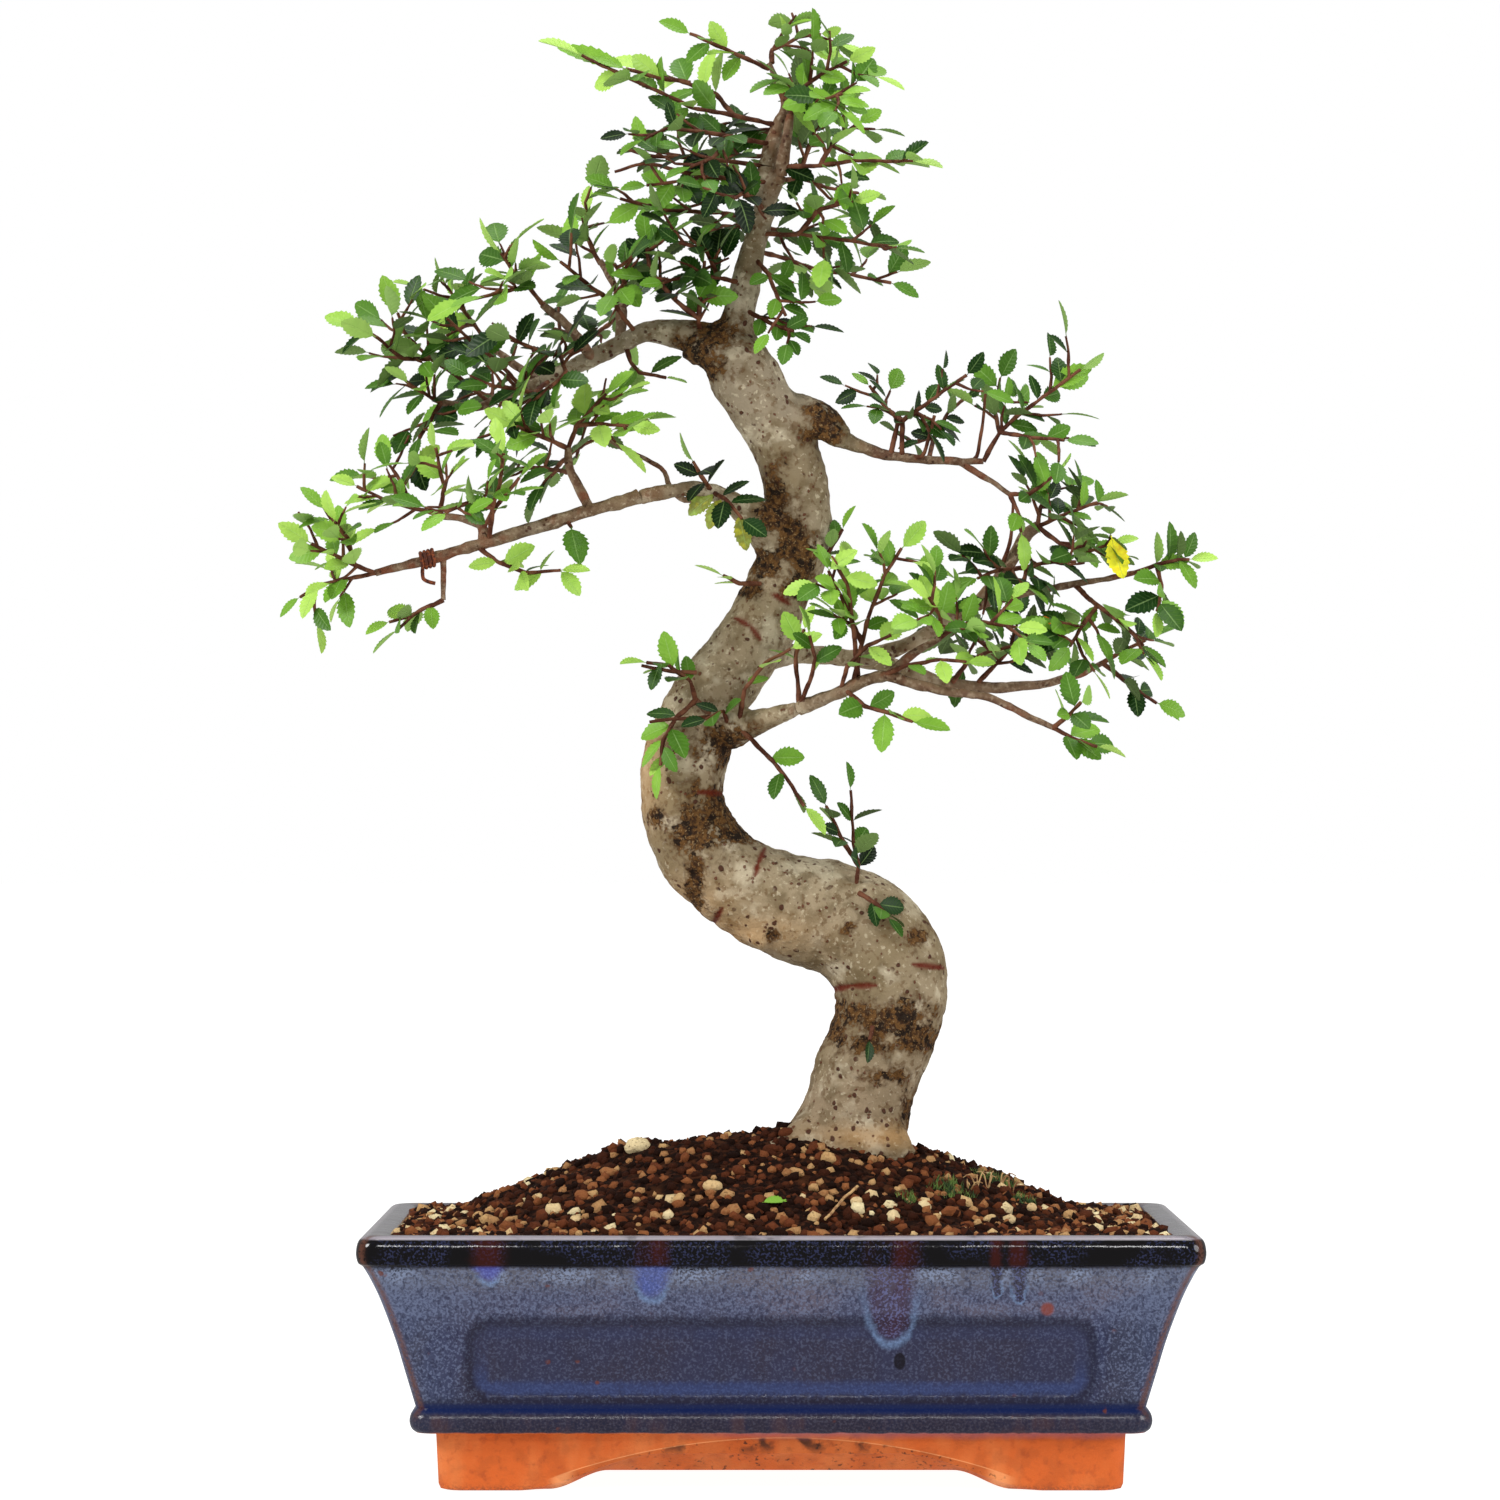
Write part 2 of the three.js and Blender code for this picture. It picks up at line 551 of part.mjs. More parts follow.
    [[92, 298, 50], [84, 306, 58], [76, 311, 66]],
  ] },
  front_right_end: { leaves: [4, 2], size: 13, shoots: [
    [[112, 273, -50], [119, 269, -52], [128, 266, -54]],
    [[112, 273, -50], [117, 277, -58], [122, 282, -64]],
  ] },
  front_right_rise_end: { leaves: [4, 3], size: 13, shoots: [
    [[70, 306, -40], [77, 311, -42], [86, 312, -46], [98, 310, -48]],
    [[70, 306, -40], [70, 314, -48], [66, 321, -56]],
  ] },
  front_right_hang: { leaves: [4], size: 13, shoots: [
    [[35, 287, -35], [42, 281, -44], [52, 278, -48], [60, 275, -52]],
  ] },
  front_right_upright: { leaves: [5, 3], size: 13, shoots: [
    [[38, 288, -36], [41, 304, -36], [45, 318, -34], [50, 330, -32], [56, 339, -30]],
    [[41, 304, -36], [36, 316, -42], [29, 331, -46]],
  ] },
  trunk_sprout: { leaves: [4, 2], size: 12, shoots: [
    [[38, 208, -8], [40, 222, -12], [38, 231, -14], [37, 250, -16]],
    [[40, 222, -12], [34, 232, -18], [28, 244, -22]],
  ] },
  front_left: { leaves: [4, 3], size: 12, shoots: [
    [[-20, 283, -20], [-22, 290, -26], [-30, 296, -30], [-38, 297, -33]],
    [[-20, 283, -20], [-27, 277, -25], [-32, 268, -28], [-33, 259, -29]],
  ] },
};

// Tubes of wood

function stationsOf(route) {
  return route.map(([x, z, depth, radius]) => ({ place: seenAt(x, z, depth), radius }));
}

function directionAt(stations, index) {
  const before = stations[Math.max(index - 1, 0)].place;
  const after = stations[Math.min(index + 1, stations.length - 1)].place;
  return after.clone().sub(before).normalize();
}

// A tapering tube through its stations, turned as little as it can be from ring to ring.
// The extra makes it thicker and longer, for the clearance round it.
function tubeSolid(stations, sides, extra = 0) {
  let previous = directionAt(stations, 0);
  const across = new THREE.Vector3(0, 1, 0).cross(previous);
  if (across.lengthSq() < 0.01) across.set(1, 0, 0);
  across.normalize();
  const rings = stations.map((station, index) => {
    const direction = directionAt(stations, index);
    across.applyQuaternion(new THREE.Quaternion().setFromUnitVectors(previous, direction));
    previous = direction;
    const up = direction.clone().cross(across);
    const ring = [];
    for (let side = 0; side < sides; side += 1) {
      const angle = (side / sides) * 2 * Math.PI;
      const radius = station.radius + extra;
      const point = station.place.clone();
      if (index === 0) point.addScaledVector(direction, -extra);
      if (index + 1 === stations.length) point.addScaledVector(direction, extra);
      point.addScaledVector(across, radius * Math.cos(angle));
      point.addScaledVector(up, radius * Math.sin(angle));
      ring.push(point);
    }
    return ring;
  });
  return solidFromRings(rings);
}

function woodSolid(extra) {
  const parts = [tubeSolid(stationsOf(TRUNK), TRUNK_SIDES, extra)];
  for (const route of Object.values(BRANCHES)) {
    parts.push(tubeSolid(stationsOf(route), WOOD_SIDES, extra));
  }
  return wasm.Manifold.union(parts);
}

// The soil: it fills the pot, rises in a mound to the trunk and carries coarse grains

const MOUND_X = 8;
const MOUND_HALF_LENGTH = 130;
const MOUND_HALF_DEPTH = 92;
const MOUND_HEIGHT = 31;
const SOIL_EDGE = 91;
const SOIL_LEVELS = [[FLOOR_TOP, 33], [32, 28], [43, 25.5], [69, 18], [84, 13], [89.5, 12]];
const SOIL_RINGS = 5;
const SOIL_EDGE_STEPS = 4;
const SOIL_ROUGHNESS = 1.2;
const SOIL_SEED = 901;
const MOUND_POWER = 1.3;
const GRAINS = 20;
const GRAIN_SMALLEST_RADIUS = 2;
const GRAIN_RADIUS_RANGE = 1.6;
const GRAIN_PROUD_SHARE = 0.2;
const GRAIN_REACH = 0.86;
const GRAIN_RIM_INSET = 18;
const POCKET_DEPTH = 10;

function moundHeight(x, y) {
  const spread = ((x - MOUND_X) / MOUND_HALF_LENGTH) ** 2 + (y / MOUND_HALF_DEPTH) ** 2;
  return SOIL_EDGE + MOUND_HEIGHT * Math.max(0, 1 - spread) ** MOUND_POWER;
}

// A level of the soil: the pot's own level, set in by the gap, with its long sides divided.
function soilRing(height, inset) {
  const corners = potRing(height, inset + GAP);
  const perCorner = CORNER_STEPS + 1;
  return corners.flatMap((point, index) => {
    if ((index + 1) % perCorner !== 0) return [point];
    const next = corners[(index + 1) % corners.length];
    const steps = Array.from({ length: SOIL_EDGE_STEPS }, (_, step) => step / SOIL_EDGE_STEPS);
    return steps.map((share) => point.clone().lerp(next, share));
  });
}

function grainSolid(place, radius, draw) {
  const geometry = new THREE.OctahedronGeometry(radius);
  geometry.deleteAttribute('normal');
  geometry.deleteAttribute('uv');
  const grain = mergeVertices(geometry);
  grain.rotateX(draw() * Math.PI).rotateY(draw() * Math.PI).translate(place.x, place.y, place.z);
  const { array } = grain.getAttribute('position');
  const mesh = { numProp: 3, vertProperties: array, triVerts: Uint32Array.from(grain.index.array) };
  return new wasm.Manifold(new wasm.Mesh(mesh));
}

function buildSoil(trunkHole) {
  const draw = seededDraw(SOIL_SEED);
  const rings = SOIL_LEVELS.map(([height, inset]) => soilRing(height, inset));
  rings[0].forEach((point) => point.setZ(FLOOR_TOP + GAP));
  const outer = rings[rings.length - 1];
  for (let ring = 1; ring <= SOIL_RINGS; ring += 1) {
    const share = 1 - ring / (SOIL_RINGS + 0.5);
    rings.push(outer.map((point) => {
      const x = POT_X + (point.x - POT_X) * share;
      const y = point.y * share;
      return new THREE.Vector3(x, y, moundHeight(x, y) + (draw() - 0.5) * SOIL_ROUGHNESS);
    }));
  }
  const parts = [solidFromRings(rings)];
  for (let count = 0; count < GRAINS; count += 1) {
    const angle = draw() * 2 * Math.PI;
    const reach = Math.sqrt(draw()) * GRAIN_REACH;
    const x = POT_X + reach * Math.cos(angle) * (RIM_LENGTH / 2 - GRAIN_RIM_INSET);
    const y = reach * Math.sin(angle) * (RIM_DEPTH / 2 - GRAIN_RIM_INSET);
    const radius = GRAIN_SMALLEST_RADIUS + GRAIN_RADIUS_RANGE * draw();
    const place = new THREE.Vector3(x, y, moundHeight(x, y) + GRAIN_PROUD_SHARE * radius);
    parts.push(grainSolid(place, radius, draw));
  }
  let soil = wasm.Manifold.union(parts).subtract(trunkHole);
  const pocket = SCREEN_SIZE + 2 * GAP;
  const pocketTop = FLOOR_TOP + 2 * GAP + SCREEN_THICKNESS;
  for (const side of [-1, 1]) {
    const x = POT_X + side * DRAIN_OFFSET;
    soil = soil.subtract(boxSolid(pocket, pocket, POCKET_DEPTH, x, 0, pocketTop - POCKET_DEPTH / 2));
  }
  return largestPiece(soil);
}

// The old training wire: a short coil round the long lower left branch, with a hooked tail

const TIE_MIDDLE = [-119, 335, -35];
const TIE_AXIS = [-21, -6, -2];
const TIE_WIRE_RADIUS = 0.55;
const TIE_COIL_RADIUS = 3.1;
const TIE_TURNS = 2.5;
const TIE_PITCH = 1.9;
const TIE_STEPS_A_TURN = 8;
const TIE_SIDES = 5;
const TIE_TAIL = [[0, -5.2], [0.4, -7.2], [2.2, -8.2], [4.6, -8.8]];
const TIE_TAIL_FORWARD = 0.6;
const TIE_TAIL_RADIUS = 0.495;

function buildTie() {
  const middle = seenAt(...TIE_MIDDLE);
  const along = new THREE.Vector3(TIE_AXIS[0], TIE_AXIS[2], TIE_AXIS[1]).normalize();
  const front = new THREE.Vector3(0, -1, 0).addScaledVector(along, along.y).normalize();
  const down = front.clone().cross(along);
  const steps = TIE_TURNS * TIE_STEPS_A_TURN;
  const stations = [];
  for (let step = 0; step <= steps; step += 1) {
    const turn = (step / TIE_STEPS_A_TURN) * 2 * Math.PI;
    const slide = (step / steps - 0.5) * TIE_TURNS * TIE_PITCH;
    const place = middle.clone().addScaledVector(along, slide);
    place.addScaledVector(down, -TIE_COIL_RADIUS * Math.cos(turn));
    place.addScaledVector(front, TIE_COIL_RADIUS * Math.sin(turn));
    stations.push({ place, radius: TIE_WIRE_RADIUS });
  }
  const last = stations[stations.length - 1].place;
  TIE_TAIL.forEach(([right, drop]) => {
    const place = new THREE.Vector3(last.x + right, last.y - TIE_TAIL_FORWARD, middle.z + drop);
    stations.push({ place, radius: TIE_TAIL_RADIUS });
  });
  return tubeSolid(stations, TIE_SIDES);
}

// Clear places for leaves: balls that stand for the wood, the twigs and the leaves so far

const WOOD_BALL_SPACING = 1.5;
const WOOD_BALL_SPACING_RATIO = 0.5;
const TWIG_BALL_SPACING = 2;
const LEAF_BALL_SHARES = [0.3, 0.58, 0.86];
const takenBalls = [];

function takeAlong(stations, owner, spacing) {
  for (let index = 0; index + 1 < stations.length; index += 1) {
    const from = stations[index];
    const to = stations[index + 1];
    const length = from.place.distanceTo(to.place);
    const count = Math.max(1, Math.round(length / spacing(from.radius)));
    for (let step = 0; step < count; step += 1) {
      const share = step / count;
      const place = from.place.clone().lerp(to.place, share);
      const radius = from.radius + (to.radius - from.radius) * share;
      takenBalls.push({ place, radius, owner });
    }
  }
}

function leafBalls(base, along, length) {
  const radius = LEAF_BALL_RATIO * length;
  return LEAF_BALL_SHARES.map((share) => ({
    place: base.clone().addScaledVector(along, share * length),
    radius,
  }));
}

function isClear(balls, owner) {
  return balls.every((ball) =>
    takenBalls.every((taken) => {
      if (taken.owner === owner) return true;
      return ball.place.distanceTo(taken.place) > ball.radius + taken.radius + GAP;
    }),
  );
}

// Leaves

// The serrated outline of one side of the blade: share of the length, share of the half width
const BLADE_SIDE = [[0.15, 0.5], [0.43, 1], [0.52, 0.78], [0.76, 0.78]];
const BLADE_FOLD = 0.2;
const BLADE_DROOP = 0.1;

// A thin faceted blade with a saw-toothed edge, lightly folded along its rib and drooping at its tip.
function leafSolid({ base, along, normal, length }) {
  const across = normal.clone().cross(along);
  const halfWidth = (LEAF_WIDTH_RATIO * length) / 2;
  const place = (share, width, lift) => {
    const rise = BLADE_FOLD * Math.abs(width) * halfWidth - BLADE_DROOP * length * share * share + lift;
    const point = base.clone().addScaledVector(along, share * length);
    return point.addScaledVector(across, width * halfWidth).addScaledVector(normal, rise);
  };
  const right = BLADE_SIDE.map(([share, width]) => place(share, -width, 0));
  const left = BLADE_SIDE.map(([share, width]) => place(share, width, 0)).reverse();
  const outline = [place(0, 0, 0), ...right, place(1, 0, 0), ...left];
  const count = outline.length;
  const points = [...outline, place(0.5, 0, LEAF_THICKNESS / 2), place(0.5, 0, -LEAF_THICKNESS / 2)];
  const faces = [];
  for (let side = 0; side < count; side += 1) {
    const next = (side + 1) % count;
    faces.push([side, next, count], [next, side, count + 1]);
  }
  return solidFrom(points, faces);
}

function pointAlong(places, share) {
  const reach = share * (places.length - 1);
  const index = Math.min(Math.floor(reach), places.length - 2);
  const place = places[index].clone().lerp(places[index + 1], reach - index);
  const direction = places[index + 1].clone().sub(places[index]).normalize();
  return { place, direction };
}

const FACING_SPREAD = 0.9;
const FACING_OUTWARD = 0.6;
const FACING_LIGHT = new THREE.Vector3(0, -0.3, 0.5);

// Where a leaf's upper face looks: to the light, out from the tree, and a little at random.
function facing(place, draw) {
  const outward = new THREE.Vector3(place.x, place.y, 0).normalize();
  return new THREE.Vector3(draw() - 0.5, draw() - 0.5, draw() - 0.5)
    .multiplyScalar(FACING_SPREAD)
    .addScaledVector(outward, FACING_OUTWARD)
    .add(FACING_LIGHT)
    .normalize();
}

// How a shoot's leaves sit: angles in radians, and lengths as shares of the spray's leaf size
const TRIES = 14;
const LEAFY_SHARE = 0.82;
const TIP_SPREAD = 0.6;
const LATERAL_ANGLE = 0.95;
const LATERAL_SPREAD = 0.7;
const SHORTEST_SHARE = 0.82;
const LENGTH_RANGE = 0.4;

function leafTurn(rank, draw) {
  if (rank === 0) return (draw() - 0.5) * TIP_SPREAD;
  const side = rank % 2 === 0 ? 1 : -1;
  return side * (LATERAL_ANGLE + (draw() - 0.5) * LATERAL_SPREAD);
}

// The leaves of one shoot: one at its tip and the rest alternately down both sides.
function growLeaves(places, count, size, owner, draw) {
  const leaves = [];
  for (let rank = 0; rank < count; rank += 1) {
    const { place, direction } = pointAlong(places, 1 - (LEAFY_SHARE * rank) / count);
    for (let attempt = 0; attempt < TRIES; attempt += 1) {
      const normalHint = facing(place, draw);
      const turn = leafTurn(rank, draw);
      const length = size * (SHORTEST_SHARE + LENGTH_RANGE * draw());
      const sideways = direction.clone().cross(normalHint).normalize();
      const along = direction.clone().multiplyScalar(Math.cos(turn));
      along.addScaledVector(sideways, Math.sin(turn)).normalize();
      const normal = normalHint.clone().addScaledVector(along, -normalHint.dot(along)).normalize();
      const balls = leafBalls(place, along, length);
      if (isClear(balls, owner) && isClear(balls.slice(1), null)) {
        leaves.push({ base: place, along, normal, length });
        balls.forEach((ball) => takenBalls.push({ ...ball, owner: 'leaf' }));
        break;
      }
    }
  }
  return leaves;
}

function twigStations(route) {
  return route.map(([x, z, depth], index) => {
    const share = index / (route.length - 1);
    const radius = TWIG_ROOT_RADIUS + (TWIG_TIP_RADIUS - TWIG_ROOT_RADIUS) * share;
    return { place: seenAt(x, z, depth), radius };
  });
}

function claimWood() {
  const woodSpacing = (radius) => Math.max(WOOD_BALL_SPACING, radius * WOOD_BALL_SPACING_RATIO);
  for (const route of [TRUNK, ...Object.values(BRANCHES)]) {
    takeAlong(stationsOf(route), 'wood', woodSpacing);
  }
  for (const [name, { shoots }] of Object.entries(SPRAYS)) {
    for (const route of shoots) takeAlong(twigStations(route), name, () => TWIG_BALL_SPACING);
  }
}

function buildSprays(fatWood) {
  claimWood();
  return Object.entries(SPRAYS).map(([name, { shoots, leaves, size }], index) => {
    const draw = seededDraw(index + 1);
    const solids = [];
    shoots.forEach((route, shoot) => {
      const stations = twigStations(route);
      solids.push(tubeSolid(stations, TWIG_SIDES));
      const places = stations.map((station) => station.place);
      const grown = growLeaves(places, leaves[shoot], size, name, draw);
      grown.forEach((leaf) => solids.push(leafSolid(leaf)));
    });
    const spray = wasm.Manifold.union(solids).subtract(fatWood);
    return { name: `spray_${name}`, solid: largestPiece(spray) };
  });
}

const object = new THREE.Group();
object.name = 'chinese_elm_bonsai';
const trunkHole = tubeSolid(stationsOf(TRUNK), TRUNK_SIDES, WOOD_GAP);
object.add(meshFrom('pot', buildPot(), MATERIALS.glaze));
object.add(meshFrom('drain_screen_left', buildScreen(-1), MATERIALS.mesh));
object.add(meshFrom('drain_screen_right', buildScreen(1), MATERIALS.mesh));
object.add(meshFrom('soil', buildSoil(trunkHole), MATERIALS.soil));
object.add(meshFrom('trunk_and_branches', woodSolid(0), MATERIALS.bark));
object.add(meshFrom('wire_tie', buildTie(), MATERIALS.wire));
for (const { name, solid } of buildSprays(woodSolid(WOOD_GAP))) {
  object.add(meshFrom(name, solid, MATERIALS.leaf));
}

export default object;
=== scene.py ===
import math
from collections import namedtuple

import bmesh
import bpy
import numpy as np
from mathutils import Matrix, Vector
from mathutils.bvhtree import BVHTree


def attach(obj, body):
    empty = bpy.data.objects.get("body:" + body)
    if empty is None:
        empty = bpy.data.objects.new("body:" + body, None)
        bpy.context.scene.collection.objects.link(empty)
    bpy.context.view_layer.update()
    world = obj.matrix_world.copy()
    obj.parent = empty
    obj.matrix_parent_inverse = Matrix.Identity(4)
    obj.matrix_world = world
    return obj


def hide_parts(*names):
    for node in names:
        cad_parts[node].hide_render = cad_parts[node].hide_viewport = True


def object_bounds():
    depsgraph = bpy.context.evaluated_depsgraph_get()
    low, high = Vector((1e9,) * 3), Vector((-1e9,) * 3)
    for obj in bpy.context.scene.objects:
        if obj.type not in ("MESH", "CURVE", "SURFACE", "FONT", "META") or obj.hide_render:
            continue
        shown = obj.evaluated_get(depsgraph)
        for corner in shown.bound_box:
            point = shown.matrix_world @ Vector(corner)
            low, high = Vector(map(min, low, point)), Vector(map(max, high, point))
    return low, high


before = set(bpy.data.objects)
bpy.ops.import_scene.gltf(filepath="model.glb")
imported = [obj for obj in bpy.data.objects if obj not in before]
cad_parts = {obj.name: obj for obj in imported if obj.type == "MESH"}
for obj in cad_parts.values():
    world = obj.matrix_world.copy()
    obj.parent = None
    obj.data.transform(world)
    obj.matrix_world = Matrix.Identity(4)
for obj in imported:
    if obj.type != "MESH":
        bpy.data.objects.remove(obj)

# Looks of a Chinese elm bonsai in its glazed pot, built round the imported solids.
# Routes and sizes are in millimetres, as in the part's source, and become metres in the meshes.

CAD_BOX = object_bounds()
MM = 0.001
EYE = np.array([0.0, -2440.0, 232.6])

# Sizes of the pot, as in the part's source
POT_X = 11
RIM_LENGTH = 300
RIM_DEPTH = 220
RIM_TOP = 92
CORNER_RADIUS = 7
FOOT_HEIGHT = 21
FOOT_INSET = 27
FOOT_THICKNESS = 14
FLOOR_UNDERSIDE = 17
FLOOR_TOP = 28
DRAIN_RADIUS = 10
DRAIN_OFFSET = 62
GAP = 0.3

# Sizes of the twigs and leaves, as in the part's source
TWIG_ROOT_RADIUS = 0.95
TWIG_TIP_RADIUS = 0.6
LEAF_WIDTH_RATIO = 0.54
LEAF_BALL_RATIO = 0.2

# The wood: x, z, depth and radius of each station, read in the middle plane from the eye

TRUNK = [
  [36, 90, 0, 18], [35, 108, 0, 23], [36, 120, 0, 22.5], [39, 131, 0, 20], [43, 146, 0, 19.3],
  [49, 160, 0, 19.6], [52, 173, 1, 20.6], [50, 186, 2, 21.8], [42, 197, 3, 21.6], [30, 203, 4, 20.8],
  [17, 206, 4, 19.6], [4, 211, 3, 18.4], [-8, 218, 2, 17.2], [-18, 228, 0, 16.6], [-24, 241, -2, 15.6],
  [-25, 254, -3, 15.6], [-22, 267, -3, 15.6], [-16, 282, -2, 14.4], [-5, 297, -1, 13.4],
  [5, 312, 0, 13.1], [11, 326, 1, 12.2], [17, 339, 2, 12.6], [18, 352, 2, 12.1], [16, 366, 1, 12],
  [12, 379, 0, 12.2], [5, 391, -1, 12.4], [-3, 404, -1, 12.8], [-7, 415, 0, 10.5], [-6, 421, 0, 7],
]

BRANCHES = {
  "leader": [
    [-6, 410, 0, 9], [-4, 424, 0, 6.2], [-2, 434, 0, 5.6], [0, 445, 0, 4.9], [4, 459, -1, 4.1],
    [6, 467, -2, 4.4], [6, 480, -2, 3.4], [10, 494, -1, 2.5], [13, 502, 0, 1.8], [10, 511, 1, 1.3],
    [7, 518, 1, 0.9],
  ],
  "leader_prong": [[6, 466, -2, 3.2], [11, 477, -7, 2.7], [13, 487, -9, 2.3], [15, 499, -9, 1.3]],
  "low_left": [
    [8, 344, -2, 9], [0, 351, -8, 5.6], [-10, 358, -13, 3.7], [-22, 361, -17, 3], [-41, 358, -22, 2.6],
    [-59, 353, -26, 2.4], [-78, 347, -30, 2.4], [-98, 341, -33, 2.2], [-119, 335, -35, 1.9],
    [-138, 330, -36, 1.3],
  ],
  "low_left_bare": [
    [-17, 359, -15, 1.6], [-24, 357, -11, 1.2], [-29, 361, -8, 1], [-33, 369, -5, 0.9],
    [-47, 376, -2, 0.8], [-54, 380, 0, 0.7],
  ],
  "low_left_rise": [[-59, 353, -26, 1.9], [-63, 361, -22, 1.8], [-67, 370, -19, 1.6], [-67, 376, -17, 1.3]],
  "low_left_arm": [[-98, 341, -33, 2.3], [-100, 348, -29, 1.7], [-114, 351, -25, 1.3]],
  "low_left_drop": [[-113, 337, -34, 1.2], [-113, 320, -36, 0.9]],
  "high_left": [
    [-8, 412, 0, 9], [-22, 417, 2, 6.4], [-37, 419, 5, 4.2], [-48, 414, 8, 3.7], [-63, 407, 11, 3.4],
    [-77, 400, 13, 2.8], [-90, 396, 14, 2.3], [-96, 393, 14, 1.8],
  ],
  "high_left_front": [[-58, 409, 10, 2.2], [-66, 420, -2, 1.8], [-76, 429, -10, 1.4]],
  "high_left_back": [[-77, 400, 13, 2], [-87, 407, 22, 1.6], [-96, 414, 30, 1.2]],
  "high_left_rise": [[-48, 414, 8, 2.2], [-48, 431, 16, 1.7], [-55, 445, 22, 1.2]],
  "high_left_tip": [[-92, 395, 14, 1.9], [-101, 391, 11, 1.5], [-114, 393, 6, 1.2]],
  "high_right": [
    [12, 390, 2, 8], [27, 386, -2, 6.6], [35, 379, -5, 3.4], [48, 374, -8, 1.9], [63, 372, -9, 1.6],
    [77, 371, -10, 1.4], [86, 371, -10, 1.1],
  ],
  "high_right_droop": [[77, 371, -10, 1.3], [87, 365, -13, 1.1], [96, 359, -15, 0.9]],
  "front_right": [
    [-7, 272, -8, 7], [3, 275, -20, 4.6], [18, 280, -28, 2.7], [33, 286, -34, 2.4], [48, 292, -38, 2.2],
    [61, 289, -42, 1.9], [74, 286, -45, 1.6], [88, 284, -47, 1.4], [103, 277, -49, 1.2],
    [112, 273, -50, 0.9],
  ],
  "front_right_rise": [[51, 292, -39, 1.9], [60, 300, -40, 1.6], [70, 306, -40, 1.2]],
  "back_right": [
    [0, 300, 4, 8], [18, 300, 24, 3.8], [41, 298, 36, 3.5], [55, 295, 44, 2.9], [74, 289, 52, 2.3],
    [100, 288, 58, 1.8], [120, 292, 61, 1.4], [130, 297, 62, 1],
  ],
  "mid_right": [
    [38, 298, 35, 3.2], [57, 303, 28, 2.9], [72, 312, 24, 2.8], [85, 320, 20, 2.7], [94, 331, 17, 2.5],
    [101, 343, 14, 2.5], [106, 347, 12, 2.1],
  ],
  "long_right": [
    [74, 314, 23, 2], [88, 319, 16, 1.6], [103, 323, 10, 1.4], [122, 326, 4, 1.2], [142, 330, -2, 0.9],
  ],
  "front_left_arch": [[-14, 277, -14, 1.4], [-20, 283, -20, 1.2]],
}

# The tone and size of a spray's leaves, how many each of its shoots bears, and the shoots themselves as
# x, z and depth of each place
Spray = namedtuple("Spray", "tone size leaves shoots")

